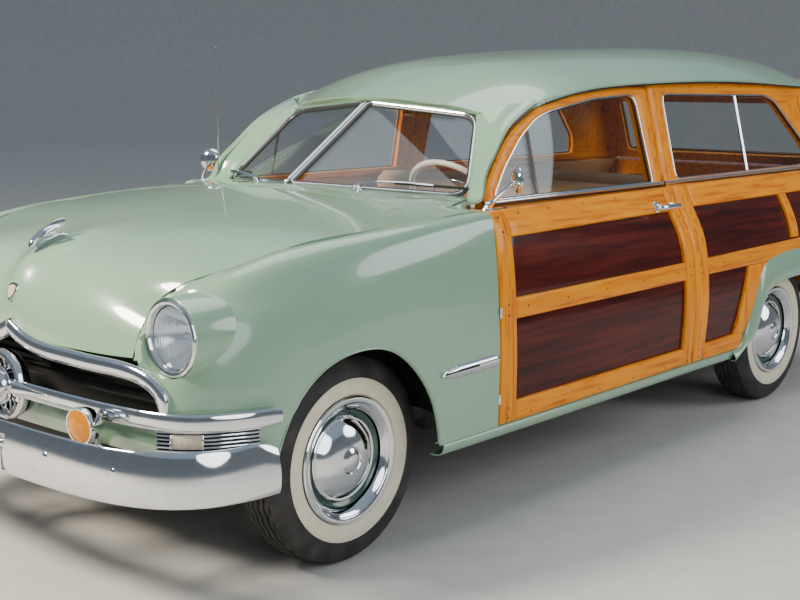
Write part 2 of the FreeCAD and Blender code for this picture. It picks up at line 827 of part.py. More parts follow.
def mirrored_row(points):
    """Return a row of points from the left edge to the middle, carried on to the right edge."""
    return list(points) + [(x, -y, z) for x, y, z in reversed(points[:-1])]


roof_outer = []
roof_inner = []
for index, (x, middle_z, edge_z, half, roundness) in enumerate(ROOF_ROWS):
    left = [(x, half * share, edge_z + (middle_z - edge_z) * (1 - share**roundness)) for share in ROOF_SHARES]
    inner_x = x + ROOF_DEPTH - 6 if index >= len(ROOF_ROWS) - REAR_LIP else x
    low = []
    for share in ROOF_SHARES:
        rise = max(0.0, middle_z - ROOF_DEPTH - edge_z) * (1 - share**roundness)
        low.append((inner_x, (half - ROOF_DEPTH) * share, edge_z + rise))
    roof_outer.append(mirrored_row(left))
    roof_inner.append(mirrored_row(low))
HEADER_PLAN = ((980, 0), (744, 0), (664, 484), (600, 600), (500, 700), (980, 700))
header_cut = prism([(x, y, 1300) for x, y in HEADER_PLAN], (0, 0, 400))
roof_shape = thick_panel(roof_outer, roof_inner).cut(header_cut).cut(other_side(header_cut))
node("roof", roof_shape)

# windscreen: panes, cowl, posts and centre bar
PANE_FOOT = ((1163, 12, 1132), (890, 634, 1102))
PANE_HEAD = ((732, 12, 1421), (652, 484, 1378))
pane_outer = [list(PANE_FOOT), list(PANE_HEAD)]
pane_inner = [[offset(p, (-5, 0, -4)) for p in row_points] for row_points in pane_outer]
pane = thick_panel(pane_outer, pane_inner)
quarter_pane = tilted(QUARTER_GLASS_OUTLINE, size("glass_thickness"), outset=-16)
node("fixed_glass", Part.makeCompound([pane, other_side(pane), quarter_pane, other_side(quarter_pane)]))
normal_in = (0, -math.cos(lean), -math.sin(lean))
pane_out = (0.781, 0, 0.625)


def along_pane(start, end, share, lift):
    """Return a point on one edge of a pane, lifted off the glass by a distance."""
    point = [between(a, b, share) for a, b in zip(start, end)]
    return offset(point, [lift * part for part in pane_out])


POST_LINE = (
    # x and z along the door's window frame, share of the pane's side edge beside it
    (958, 1093, -0.06),
    (899, 1163, 0.19),
    (828, 1237, 0.43),
    (758, 1302, 0.66),
    (677, 1361, 0.88),
    (502, 1436, 1.05),
)
POST_DEPTH = 30
POST_LIP = 10
POST_REBATE = -18
post_outer = []
post_inner = []
for edge_x, edge_z, share in POST_LINE:
    edge = (edge_x, belt_y - (edge_z - belt_z) * math.tan(lean), edge_z)
    post_outer.append([edge, along_pane(PANE_FOOT[1], PANE_HEAD[1], share, POST_LIP)])
    inner_edge = offset(edge, [POST_DEPTH * part for part in normal_in])
    post_inner.append([inner_edge, along_pane(PANE_FOOT[1], PANE_HEAD[1], share, POST_REBATE)])
a_post = thick_panel(post_outer, post_inner)
centre_bar = bar((1171, 0, 1128), (733, 0, 1420), 11, 8)
COWL_FRONT = (
    # share of the pane's foot, x and z of the front edge
    (-0.0193, 1230, 1118),
    (0.5, 1230, 1112),
    (1.0, 1230, 1090),
)
COWL_CORNER = (
    # y, x and z of the front edge, x and z of the rear edge
    (634, 1230, 1090, 893.9, 1105.1),
    (684, 1230, 1085, 1046, 1086),
    (802, 1230, 1071, 1048, 1075),
)
COWL_DEPTH = 18
cowl_outer = []
cowl_inner = []
for share, cowl_x, cowl_z in COWL_FRONT:
    pane_point = along_pane(PANE_FOOT[0], PANE_FOOT[1], share, POST_LIP / 2)
    rebate_point = along_pane(PANE_FOOT[0], PANE_FOOT[1], share, POST_REBATE)
    cowl_outer.append([(cowl_x, pane_point[1], cowl_z), pane_point])
    cowl_inner.append([(cowl_x, pane_point[1], cowl_z - COWL_DEPTH), rebate_point])
cowl = thick_panel(cowl_outer, cowl_inner)
corner_outer = [[(fx, y, fz), (rx, y, rz)] for y, fx, fz, rx, rz in COWL_CORNER]
corner_inner = [[offset(p, (0, 0, -COWL_DEPTH)) for p in row_points] for row_points in corner_outer]
cowl_corner = thick_panel(corner_outer, corner_inner)
post_foot = side_prism(((905, 1070), (905, 1094), (958, 1086), (1040, 1086), (1040, 1070)), 625, 678)

# hinges: one barrel with a pin stays on the body, the other turns on it
barrel = size("barrel_radius")
pin_small = size("pin_radius")


def hinge(start, end, fixed_leaf, moving_leaf):
    """Return the fixed and the moving half of a hinge from its axis's ends and two leaves."""
    low = Vector(*start)
    along_axis = Vector(*end).sub(low)
    half_way = low + along_axis * 0.5
    unit = Vector(along_axis).normalize()
    fixed_barrel = bar(low, half_way, barrel, 8)
    hinge_pin = Part.makeCylinder(pin_small, along_axis.Length - 1, low, unit)
    moving_start = half_way + unit * gap
    moving_barrel = bar(moving_start, Vector(*end), barrel, 8)
    room = Part.makeCylinder(pin_small + gap, along_axis.Length, moving_start - unit, unit)
    fixed = joined([fixed_barrel, hinge_pin, fixed_leaf])
    moving = joined([moving_barrel, moving_leaf]).cut(room)
    return fixed, moving


# bonnet
HOOD_SHARES = (1.0, 0.9, 0.74, 0.5, 0.27, 0.1, 0.0)
HOOD_PEAK = (0.0, 0.0, 0.0, 0.0, 0.02, 0.46, 1.0)
HOOD_ROWS = (
    # middle x and z, edge x y z, roundness in plan and in height, ridge height, wall direction x z
    (2347, 735, 2322, 577, 741, 4, 4, 52, -16, 0),
    (2345, 803, 2298, 576, 804, 3, 3, 46, -16, 0),
    (2318, 880, 2262, 576, 857, 3, 3, 40, -16, 0),
    (2264, 952, 2207, 572, 902, 3, 3, 28, -12, -10),
    (2166, 1004, 2150, 640, 951, 2.4, 2.4, 14, 0, -16),
    (2020, 1038, 2020, 700, 986, 2.2, 2.2, 5, 0, -16),
    (1850, 1062, 1850, 744, 1030, 2.2, 2.2, 0, 0, -16),
    (1550, 1092, 1550, 785, 1054, 2.2, 2.2, 0, 0, -16),
    (1242, 1118, 1242, 798, 1069, 2.2, 2.2, 0, 0, -16),
)
hood_outer = []
hood_inner = []
for middle_x, middle_z, edge_x, edge_y, edge_z, plan_round, rise_round, ridge, wall_x, wall_z in HOOD_ROWS:
    left = []
    for share, peak in zip(HOOD_SHARES, HOOD_PEAK):
        x = middle_x + (edge_x - middle_x) * share**plan_round
        z = middle_z + (edge_z - middle_z) * share**rise_round + ridge * peak
        left.append((x, edge_y * share, z))
    row_points = mirrored_row(left)
    hood_outer.append(row_points)
    hood_inner.append([offset(point, (wall_x, 0, wall_z)) for point in row_points])
hood_shape = thick_panel(hood_outer, hood_inner)
hood_hinge_x = 1236
hood_hinge_z = 1112
cowl_parts = [cowl, other_side(cowl), cowl_corner, other_side(cowl_corner), post_foot, other_side(post_foot)]
hood_parts = [hood_shape]
for sign in (1, -1):
    fixed, moving = hinge(
        (hood_hinge_x, sign * 120, hood_hinge_z),
        (hood_hinge_x, sign * 180, hood_hinge_z),
        sided_block(1212, hood_hinge_x, 121, 149, 1102, 1109, sign),
        sided_block(hood_hinge_x, 1262, 151, 179, 1102, 1109, sign),
    )
    cowl_parts.append(fixed)
    hood_parts.append(moving)
hood_whole = joined(hood_parts)
node("hood", hood_whole)
screen_frame = joined(cowl_parts + [a_post, other_side(a_post), centre_bar])
screen_frame = screen_frame.cut(roof_shape).cut(Part.makeCompound([pane, other_side(pane)]))
node("windscreen_frame", main_solid(screen_frame))
ornament = joined([bar((2268, 0, 1008), (2140, 0, 1052), 15, 8), block(2150, 2236, -9, 9, 985, 1034)])
node("hood_trim", main_solid(ornament.cut(hood_shape)))

# front wings: rows from the bonnet seam down, columns from the nose back to the door
door_edge = door_front + 10
FENDER_ROWS = (
    (
        (2192, 630, 926), (2166, 656, 946), (2112, 676, 966), (2050, 700, 983), (1950, 728, 1012),
        (1800, 762, 1034), (1580, 790, 1052), (1320, 804, 1066), (door_edge, 808, 1075),
    ),
    (
        (2200, 622, 916), (2188, 672, 936), (2150, 712, 952), (2085, 752, 976), (1975, 784, 1008),
        (1812, 812, 1034), (1585, 834, 1051), (1325, 848, 1064), (door_edge, 852, 1072),
    ),
    (
        (2209, 590, 899), (2208, 668, 902), (2184, 744, 908), (2112, 800, 914), (1985, 838, 932),
        (1815, 866, 958), (1590, 884, 980), (1328, 888, 990), (door_edge, 878, 992),
    ),
    (
        (2262, 583, 857), (2250, 672, 860), (2222, 758, 862), (2136, 822, 866), (1995, 862, 874),
        (1818, 888, 884), (1590, 899, 890), (1328, 898, 890), (door_edge, 891, 886),
    ),
    (
        (2300, 583, 804), (2292, 680, 804), (2262, 764, 802), (2160, 838, 800), (2005, 880, 800),
        (1820, 901, 800), (1592, 906, 800), (1330, 904, 800), (door_edge, 897, 800),
    ),
    (
        (2326, 600, 742), (2318, 690, 736), (2282, 770, 730), (2172, 845, 724), (2010, 886, 720),
        (1822, 905, 720), (1594, 908, 720), (1330, 907, 720), (door_edge, 902, 720),
    ),
    (
        (2330, 722, 640), (2316, 742, 640), (2282, 782, 640), (2176, 850, 640), (2012, 889, 640),
        (1824, 907, 640), (1595, 909, 640), (1330, 909, 640), (door_edge, 907, 640),
    ),
    (
        (2318, 738, 556), (2304, 754, 556), (2268, 788, 556), (2166, 850, 556), (2012, 888, 556),
        (1824, 906, 556), (1595, 908, 556), (1330, 908, 556), (door_edge, 907, 556),
    ),
    (
        (2288, 742, 470), (2272, 756, 470), (2236, 786, 470), (2146, 842, 462), (2006, 882, 440),
        (1824, 902, 400), (1595, 906, 350), (1330, 906, 342), (door_edge, 903, 342),
    ),
)
FENDER_WALL = 20


def inward_grid(grid, depth, centre):
    """Return a grid moved a depth towards a centre line, along x, y and z as each point faces."""
    moved = []
    rows = len(grid)
    columns = len(grid[0])
    for i in range(rows):
        line = []
        for j in range(columns):
            across = Vector(*grid[i][min(j + 1, columns - 1)]) - Vector(*grid[i][max(j - 1, 0)])
            down = Vector(*grid[min(i + 1, rows - 1)][j]) - Vector(*grid[max(i - 1, 0)][j])
            normal = across.cross(down).normalize()
            point = Vector(*grid[i][j])
            if normal.dot(point - Vector(*centre)) > 0:
                normal = normal * -1
            line.append(tuple(point + normal * depth))
        moved.append(line)
    return moved


fender_grid = [list(row_points) for row_points in FENDER_ROWS]
fender_inner = inward_grid(fender_grid, FENDER_WALL, (1500, 0, 300))
arch_front_outline = [(front_x + dx, z) for dx, z in ARCH_FRONT]
arch_front_outline = [(front_x + 404, 250)] + arch_front_outline + [(front_x - 318, 250)]
front_fender = thick_panel(fender_grid, fender_inner).cut(side_prism(arch_front_outline, 590, 1000))
lamp_y = 716
lamp_z = 811
lamp_front_x = 2290
LAMP_SIDES = 24
lamp_bowl = bar((2130, lamp_y, lamp_z), (lamp_front_x - 4, lamp_y, lamp_z), 96, LAMP_SIDES)
lamp_ring = bar((2196, lamp_y, lamp_z), (lamp_front_x, lamp_y, lamp_z), 112, LAMP_SIDES)
front_fender = front_fender.cut(bar((2100, lamp_y, lamp_z), (2400, lamp_y, lamp_z), 97, LAMP_SIDES))
front_hinges = []
door_hinges = []
hinge_x = size("hinge_x")
hinge_y = size("hinge_y")
for z_low in (420, 720):
    fixed, moving = hinge(
        (hinge_x, hinge_y, z_low + 70),
        (hinge_x, hinge_y, z_low),
        block(hinge_x, door_edge + 4, hinge_y - 7, hinge_y - 1, z_low + 38, z_low + 68),
        block(door_front - 6, hinge_x, hinge_y - 7, hinge_y - 1, z_low + 2, z_low + 32),
    )
    front_hinges.append(fixed)
    door_hinges.append(moving)
front_fender = joined([front_fender] + front_hinges)
fender_pair = both_sides(front_fender)
node("front_fenders", fender_pair)
lamp_cut = joined([lamp_bowl, lamp_ring.common(block(2190, 2300, 600, 900, 650, 950))]).cut(front_fender)
lamp_solid = main_solid(lamp_cut)
node("headlamps", both_sides(lamp_solid))

# front face
APRON_PLAN = ((2350, 0), (2346, 300), (2334, 560), (2322, 700), (2316, 737))
apron_outer = [[(x - 22, y, 462), (x - 4, y, 500), (x, y, 556)] for x, y in APRON_PLAN]
apron_inner = [[offset(p, (-16, 0, 0)) for p in row_points] for row_points in apron_outer]
apron = thick_panel(apron_outer, apron_inner)
apron_stay = block(2228, 2336, 345, 395, 520, 545)
apron_half = joined([apron, apron_stay])
apron_whole = joined([apron_half, other_side(apron_half)]).cut(fender_pair)
node("front_apron", apron_whole)
MOULDING_LINE = (
    # y, x, z of the middle of the moulding
    (0, 2352, 761),
    (58, 2352, 731),
    (164, 2352, 709),
    (443, 2350, 705),
    (590, 2342, 702),
    (668, 2334, 680),
    (712, 2330, 648),
    (722, 2330, 606),
)
MOULDING_HALF = 20
moulding_outer = []
moulding_inner = []
for index, (y, x, z) in enumerate(MOULDING_LINE):
    before = MOULDING_LINE[max(index - 1, 0)]
    after = MOULDING_LINE[min(index + 1, len(MOULDING_LINE) - 1)]
    slope = math.atan2(after[2] - before[2], after[0] - before[0]) if index else 0.0
    up_y = -math.sin(slope) * MOULDING_HALF
    up_z = math.cos(slope) * MOULDING_HALF
    steps = ((-1.0, -12, -22), (-0.45, 14, -22), (0.45, 14, -22), (1.0, -12, -22))
    moulding_outer.append([(x + out, y + up_y * across, z + up_z * across) for across, out, _ in steps])
    moulding_inner.append([(x + back, y + up_y * across, z + up_z * across) for across, _, back in steps])
moulding = thick_panel(moulding_outer, moulding_inner)
moulding_pair = joined([moulding, other_side(moulding)]).cut(fender_pair).cut(both_sides(lamp_solid))
BAR_PLAN = (
    (2392, 0),
    (2390, 300),
    (2376, 560),
    (2352, 700),
    (2312, 790),
    (2240, 852),
    (2150, 896),
    (2058, 916),
)
BAR_LOW = 560
BAR_HIGH = 608


def wrap_blade(plan, z_low, z_high, depth, chamfer):
    """Return a blade that follows a plan line round a corner, bevelled above and below."""
    outer = []
    inner = []
    for index, (x, y) in enumerate(plan):
        before = plan[max(index - 1, 0)]
        after = plan[min(index + 1, len(plan) - 1)]
        along_x = after[0] - before[0]
        along_y = after[1] - before[1]
        if index == 0:
            along_x = 0
        length = math.hypot(along_x, along_y)
        out_x = along_y / length
        out_y = -along_x / length
        quarter = (z_high - z_low) * 0.28
        outer.append(
            [
                (x - out_x * chamfer, y - out_y * chamfer, z_low),
                (x, y, z_low + quarter),
                (x, y, z_high - quarter),
                (x - out_x * chamfer, y - out_y * chamfer, z_high),
            ]
        )
        heights = (z_low, z_low + quarter, z_high - quarter, z_high)
        inner.append([(x - out_x * depth, y - out_y * depth, z) for z in heights])
    return thick_panel(outer, inner)


lower_bar = wrap_blade(BAR_PLAN, BAR_LOW, BAR_HIGH, 30, 12)
SPINNER_OUTLINE = ((0, 0), (0, 112), (26, 96), (26, 72), (60, 52), (80, 28), (86, 0))
spinner = ring(SPINNER_OUTLINE, (0, 0, 0), LAMP_SIDES)
spinner.Placement = FreeCAD.Placement(Vector(2366, 0, 585), FreeCAD.Rotation(Vector(0, 1, 0), Vector(1, 0, 0)))
bar_stays = [block(2330, 2376, sign * 200 - 15, sign * 200 + 15, 540, 590) for sign in (1, -1)]
bar_whole = joined([lower_bar, other_side(lower_bar), spinner] + bar_stays)
bar_whole = bar_whole.cut(fender_pair).cut(apron_whole).cut(moulding_pair)
node("grille_surround", moulding_pair)
node("grille_bar", bar_whole)
PARK_PLAN = ((2366, 640), (2345, 704), (2302, 776), (2232, 838), (2150, 880), (2108, 896))
park = wrap_blade(PARK_PLAN, 498, 556, 34, 4).cut(fender_pair).cut(apron_whole).cut(bar_whole)
node("parking_lamps", both_sides(park))
half_length = size("half_length")
BUMPER_PLAN = (
    (half_length, 0),
    (half_length - 3, 300),
    (half_length - 33, 600),
    (half_length - 107, 780),
    (half_length - 207, 868),
    (half_length - 327, 906),
    (half_length - 425, 916),
)
BRACKET_ROOTS = {
    # end of the car: how far behind the bumper's face its brackets start
    1: 207,
    -1: 167,
}


def bumper(sign, lift):
    """Return a wrap-round bumper with its two brackets."""
    plan = [(x, y) for x, y in BUMPER_PLAN]
    blade = wrap_blade(plan, 352 + lift, 512 + lift, 20, 12)
    bracket_root = half_length - BRACKET_ROOTS[sign]
    bracket = block(bracket_root, half_length - 12, 345, 395, 420 + lift, 456 + lift)
    half = joined([blade, bracket])
    whole = joined([half, other_side(half)])
    if sign < 0:
        whole = whole.mirror(Vector(0, 0, 0), Vector(1, 0, 0))
    return whole


front_bumper = bumper(1, 0).cut(both_sides(park))
node("front_bumper", front_bumper)
fog = main_solid(bar((2396, 470, 560), (2462, 476, 556), 50, 16).cut(bar_whole).cut(front_bumper))
node("fog_lamps", both_sides(fog))
plate_lengths = ("dims.plate_thickness", "dims.plate_width", "dims.plate_height")
front_plate = bound_block(
    "front_plate", ("dims.half_length", "-dims.plate_width / 2", "dims.front_plate_z"), plate_lengths
)
rear_plate = bound_block(
    "rear_plate",
    ("-dims.half_length - dims.plate_thickness", "-dims.plate_width / 2", "dims.rear_plate_z"),
    plate_lengths,
)
bound_node("number_plates", [front_plate, rear_plate], "Part::Compound")
rear_bumper = bumper(-1, -40)
node("rear_bumper", rear_bumper)

# tailgate and liftgate
GATE_Z = (482, 700, 950, 1056)
TAIL_POST_WIDTH = 80
gate_half = side_y(tail_x(GATE_Z[-1]), GATE_Z[-1]) - TAIL_POST_WIDTH
GATE_STILE = 85
gate_outer = [[(tail_x(z) + 4, y, z) for z in GATE_Z] for y in (-gate_half, gate_half)]
gate_inner = [[(tail_x(z) + 54, y, z) for z in GATE_Z] for y in (-gate_half, gate_half)]
gate = thick_panel(gate_outer, gate_inner)
gate_board_outer = [[(tail_x(z) + 18, y, z) for z in GATE_Z] for y in (-gate_half, gate_half)]
gate_board = thick_panel(gate_board_outer, gate_inner)
gate_light = gate_half - GATE_STILE
gate_opening = block(-2400, -2000, -gate_light, gate_light, 560, 975)
gate_parts = [gate.cut(gate_opening)]
sill_hinges = []
gate_hinge_x = tail_x(474)
for sign in (1, -1):
    fixed, moving = hinge(
        (gate_hinge_x, sign * 420, 474),
        (gate_hinge_x, sign * 500, 474),
        sided_block(gate_hinge_x, gate_hinge_x + 30, 422, 458, 462, 472, sign),
        sided_block(gate_hinge_x, gate_hinge_x + 12, 462, 498, 474, 496, sign),
    )
    sill_hinges.append(fixed)
    gate_parts.append(moving)
node("tailgate_frame", joined(gate_parts))
node("tailgate_boards", gate_board.common(gate_opening))
LIFT_LOW = 1064
LIFT_HIGH = 1462
LIFT_STEP = 15
LIFT_STILE = 74
lift_half = gate_half - LIFT_STEP
lift_light = lift_half - LIFT_STILE


def lift_y(z, half):
    """Return the liftgate's half width at a height, from its half width at the foot."""
    return half * (1 - 0.1 * (z - LIFT_LOW) / (LIFT_HIGH - LIFT_LOW))


def lift_panel(z_values, half, out_x, in_x):
    """Return a slab that follows the liftgate's slope between two depths."""
    outer = [[(tail_x(z) + out_x, side * lift_y(z, half), z) for z in z_values] for side in (-1, 1)]
    inner = [[(tail_x(z) + in_x, side * lift_y(z, half), z) for z in z_values] for side in (-1, 1)]
    return thick_panel(outer, inner)


lift = lift_panel((LIFT_LOW, 1085, LIFT_HIGH), lift_half, 4, 44).cut(lift_panel((1124, 1408), lift_light, -40, 90))
lift_parts = [lift]
header_hinges = []
lift_hinge_z = 1470
lift_hinge_x = tail_x(lift_hinge_z) - 2
for sign in (1, -1):
    fixed, moving = hinge(
        (lift_hinge_x, sign * 300, lift_hinge_z),
        (lift_hinge_x, sign * 380, lift_hinge_z),
        sided_block(lift_hinge_x, lift_hinge_x + 34, 302, 338, 1470, 1478, sign),
        sided_block(lift_hinge_x, lift_hinge_x + 14, 342, 378, 1448, 1470, sign),
    )
    header_hinges.append(fixed)
    lift_parts.append(moving)
node("liftgate_frame", joined(lift_parts))
node("liftgate_glass", lift_panel((1124, 1408), lift_light, 20, 26))
tail_pieces = []
post_near_y = gate_half + shut
low_outer = [
    [(tail_x(z), post_near_y, z), (tail_x(z), side_y(tail_x(z), z) - 20, z)] for z in (430, 620, 880, 1062)
]
low_inner = [[offset(p, (48, 0, 0)) for p in row_points] for row_points in low_outer]
tail_pieces.append(thick_panel(low_outer, low_inner))
high_outer = []
for z in (1060, 1085, 1476):
    post_y = belt_y - (z - belt_z) * math.tan(lean) - 8
    high_outer.append([(tail_x(z), lift_y(z, lift_half) + shut, z), (tail_x(z), post_y, z)])
high_inner = [[offset(p, (44, 0, 0)) for p in row_points] for row_points in high_outer]
tail_pieces.append(thick_panel(high_outer, high_inner))
tail_cross = block(-2272, -2200, -700, 700, 430, 466)
tail_header = block(-1868, -1815, -610, 610, 1472, 1510)
frame_parts = [side_frame_whole, other_side(side_frame_whole), tail_cross, tail_header]
frame_parts += tail_pieces + [other_side(piece) for piece in tail_pieces]
frame_parts += header_hinges + sill_hinges
body_frame = main_solid(joined(frame_parts).cut(roof_shape))
node("body_frame", body_frame)
tail_lamp = main_solid(bar((-2200, 770, 640), (-2276, 770, 640), 44, 16).cut(body_frame))
node("tail_lamps", both_sides(tail_lamp))
tub = main_solid(joined(tub_pieces).cut(fender_pair).cut(body_frame).cut(chassis))
node("body_tub", tub)

# doors
door_frame_whole = joined([door_frame_shape, handle, mirror_arm, mirror_head] + door_hinges)
for side_name, sign in SIDES:
    turn_over = (lambda shape: shape) if sign > 0 else other_side
    node(f"door_frame_{side_name}", turn_over(door_frame_whole))
    node(f"door_boards_{side_name}", turn_over(Part.makeCompound(door_boards)))
    node(f"door_glass_{side_name}", turn_over(door_glass))

# inside
seat_floor_z = floor_z + wall
load_top_z = load_z + wall
FRONT_SEAT_OUTLINE = (
    (-60, seat_floor_z),
    (460, seat_floor_z),
    (520, 640),
    (500, 690),
    (150, 670),
    (40, 1085),
    (-60, 1085),
    (-130, 640),
)
REAR_SEAT_OUTLINE = (
    (-870, load_top_z),
    (-700, load_top_z),
    (-700, seat_floor_z),
    (-430, seat_floor_z),
    (-400, 600),
    (-360, 700),
    (-420, 745),
    (-760, 730),
    (-860, 1060),
    (-940, 1060),
    (-960, 700),
)
node("front_seat", side_prism(FRONT_SEAT_OUTLINE, -640, 640))
node("rear_seat", side_prism(REAR_SEAT_OUTLINE, -540, 540))
DASH_OUTLINE = ((1094, 1050), (900, 1062), (850, 1030), (850, 860), (900, 840), (1094, 940))
dash = side_prism(DASH_OUTLINE, -676, 676)

rise = math.radians(size("column_rise_degrees"))
wheel_centre = Vector(621, 380, 1043)
axis = Vector(-math.cos(rise), 0, math.sin(rise))
column_start = wheel_centre - axis * 640
column_end = wheel_centre - axis * (50 + gap)
column = bar(column_start, column_end, 26, 12)
node("steering_column", main_solid(column.cut(tub)))
node("dashboard", dash.cut(column))
rim_radius = size("steering_wheel_radius")
RIM_OUTLINE = ((-10, -11), (10, -11), (14, -2), (6, 0), (-6, 0), (-14, -2))
rim = ring([(across, rim_radius + out) for across, out in RIM_OUTLINE], (0, 0, 0), 32)
rim.Placement = FreeCAD.Placement(wheel_centre, FreeCAD.Rotation(Vector(0, 1, 0), axis))
hub = Part.makeCylinder(45, 50, wheel_centre - axis * 50, axis)
side_way = Vector(0, 1, 0)
spoke_reach = side_way * (rim_radius - 6)
spoke = bar(wheel_centre - spoke_reach - axis * 6, wheel_centre + spoke_reach - axis * 6, 8, 8)
node("steering_wheel", joined([rim, hub, spoke]))

doc.recompute()
os.makedirs("parts", exist_ok=True)
problems = []
for item in NODES:
    state = list(item.State)
    if "Invalid" in state or "Error" in state:
        problems.append(f"{item.Label}: {state}")
    if item.Shape.isNull() or not item.Shape.isValid():
        problems.append(f"{item.Label}: shape not valid")
    if not item.Shape.Solids:
        problems.append(f"{item.Label}: no solid")
if problems:
    raise RuntimeError("; ".join(problems))
for item in NODES:
    item.Shape.exportStep(os.path.join("parts", f"{item.Label}.step"))
print(len(NODES), "sub-parts written")
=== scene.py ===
"""Looks of a two-door wood-bodied station wagon of about 1950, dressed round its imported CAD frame.

Sizes in the classes are millimetres in the part's own frame: +X forward, +Y the car's left side,
+Z up and the ground at z = 0. They become metres only where a mesh is made.
"""

import logging
import math
from dataclasses import dataclass
from enum import Enum
from typing import Callable, Sequence

import bmesh
import bpy
import numpy as np
from mathutils import Matrix, Vector


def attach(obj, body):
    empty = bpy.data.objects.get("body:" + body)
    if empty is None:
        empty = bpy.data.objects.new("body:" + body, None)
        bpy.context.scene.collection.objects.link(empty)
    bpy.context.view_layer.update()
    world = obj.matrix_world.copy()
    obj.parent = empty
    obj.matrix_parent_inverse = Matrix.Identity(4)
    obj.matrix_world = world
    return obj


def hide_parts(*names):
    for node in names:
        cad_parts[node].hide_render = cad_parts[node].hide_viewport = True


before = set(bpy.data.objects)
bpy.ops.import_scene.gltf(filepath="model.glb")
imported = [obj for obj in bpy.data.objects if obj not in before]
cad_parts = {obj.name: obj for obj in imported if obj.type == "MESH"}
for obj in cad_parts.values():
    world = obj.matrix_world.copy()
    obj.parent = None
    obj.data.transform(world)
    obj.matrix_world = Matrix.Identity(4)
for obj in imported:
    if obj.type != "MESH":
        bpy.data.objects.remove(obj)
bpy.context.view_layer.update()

LOG = logging.getLogger("station_wagon")
MM = 0.001
FLOOR_Z = -1.0

Point = tuple[float, float, float]
Flat = tuple[float, float]
Colour = tuple[float, float, float]


class Side(Enum):
    """The two sides of the car; the value is the sign of y."""

    LEFT = 1
    RIGHT = -1

    @property
    def word(self) -> str:
        """The side's name as the CAD nodes spell it."""
        return self.name.lower()


class End(Enum):
    """The two axles; the value is the axle's x."""

    FRONT = 1662.0
    REAR = -1234.0


class Grain(Enum):
    """Which way the grain of a wooden member runs; the value picks its finish on a piece."""

    ALONG = 0
    UPRIGHT = 1


# Curves and surfaces


def natural_spline(knots: np.ndarray, values: np.ndarray, at: np.ndarray) -> np.ndarray:
    """Read a smooth curve through given values.

    Args:
        knots: Rising places, n of them.
        values: The values there, n rows.
        at: The places to read, one for each result row.
    Returns:
        One row of values for each place in at.
    """
    count = len(knots)
    step = np.diff(knots)
    bends = np.zeros_like(values, dtype=float)
    if count > 2:
        system = np.eye(count)
        right = np.zeros_like(values, dtype=float)
        for i in range(1, count - 1):
            system[i, i - 1 : i + 2] = (step[i - 1], 2 * (step[i - 1] + step[i]), step[i])
            rise_after = (values[i + 1] - values[i]) / step[i]
            rise_before = (values[i] - values[i - 1]) / step[i - 1]
            right[i] = 6 * (rise_after - rise_before)
        bends = np.linalg.solve(system, right)
    i = np.clip(np.searchsorted(knots, at, side="right") - 1, 0, count - 2)
    width = step[i][:, None]
    before = (at - knots[i])[:, None]
    after = width - before
    curve = (bends[i] * after**3 + bends[i + 1] * before**3) / (6 * width)
    curve += (values[i] / width - bends[i] * width / 6) * after
    return curve + (values[i + 1] / width - bends[i + 1] * width / 6) * before


def smooth_axis(array: np.ndarray, steps: int, corners: Sequence[int] = ()) -> np.ndarray:
    """Refine an array of points along its first axis with smooth curves.

    Args:
        array: Points, shaped (n, m, 3).
        steps: How many new points replace each stretch.
        corners: Indices where the curves keep a corner.
    Returns:
        The refined points, shaped ((n - 1) * steps + 1, m, 3).
    """
    count, across = array.shape[:2]
    lengths = np.linalg.norm(np.diff(array, axis=0), axis=2).mean(axis=1)
    knots = np.concatenate([[0.0], np.cumsum(np.maximum(lengths, 1e-6))])
    rows = array.reshape(count, across * 3)
    parts = []
    stops = [0, *corners, count - 1]
    for first, last in zip(stops, stops[1:]):
        reach = knots[first : last + 1]
        at = np.concatenate(
            [np.linspace(a, b, steps, endpoint=False) for a, b in zip(reach, reach[1:])]
        )
        parts.append(natural_spline(reach, rows[first : last + 1], at))
    parts.append(rows[-1:])
    return np.vstack(parts).reshape(-1, across, 3)


def smooth_grid(
    rows: Sequence[Sequence[Point]],
    steps: int,
    corners_down: Sequence[int] = (),
    corners_along: Sequence[int] = (),
) -> np.ndarray:
    """Refine a grid of points both ways, so that it becomes a smooth surface.

    Args:
        rows: Rows of points, all with the same length.
        steps: New points for each stretch of the grid.
        corners_down: Row indices that stay creased.
        corners_along: Column indices that stay creased.
    Returns:
        The fine grid of points.
    """
    grid = smooth_axis(np.array(rows, float), steps, corners_down)
    turned_grid = smooth_axis(np.swapaxes(grid, 0, 1), steps, corners_along)
    return np.swapaxes(turned_grid, 0, 1)


def smooth_line(
    points: Sequence[Sequence[float]], steps: int, corners: Sequence[int] = ()
) -> np.ndarray:
    """Return a smooth line through points, with corners kept at the given indices."""
    array = np.array(points, float)
    if array.shape[1] == 2:
        array = np.column_stack([array, np.zeros(len(array))])
        return smooth_axis(array[:, None, :], steps, corners)[:, 0, :2]
    return smooth_axis(array[:, None, :], steps, corners)[:, 0]


def mirrored_row(points: Sequence[Point]) -> list[Point]:
    """Carry a row of points that ends on the middle plane on to the other side."""
    return list(points) + [(x, -y, z) for x, y, z in reversed(list(points)[:-1])]


def grid_normals(grid: np.ndarray) -> np.ndarray:
    """Return the unit normal at each point of a grid."""
    across = np.gradient(grid, axis=1)
    down = np.gradient(grid, axis=0)
    normal = np.cross(across, down)
    length = np.linalg.norm(normal, axis=2, keepdims=True)
    return normal / np.maximum(length, 1e-9)


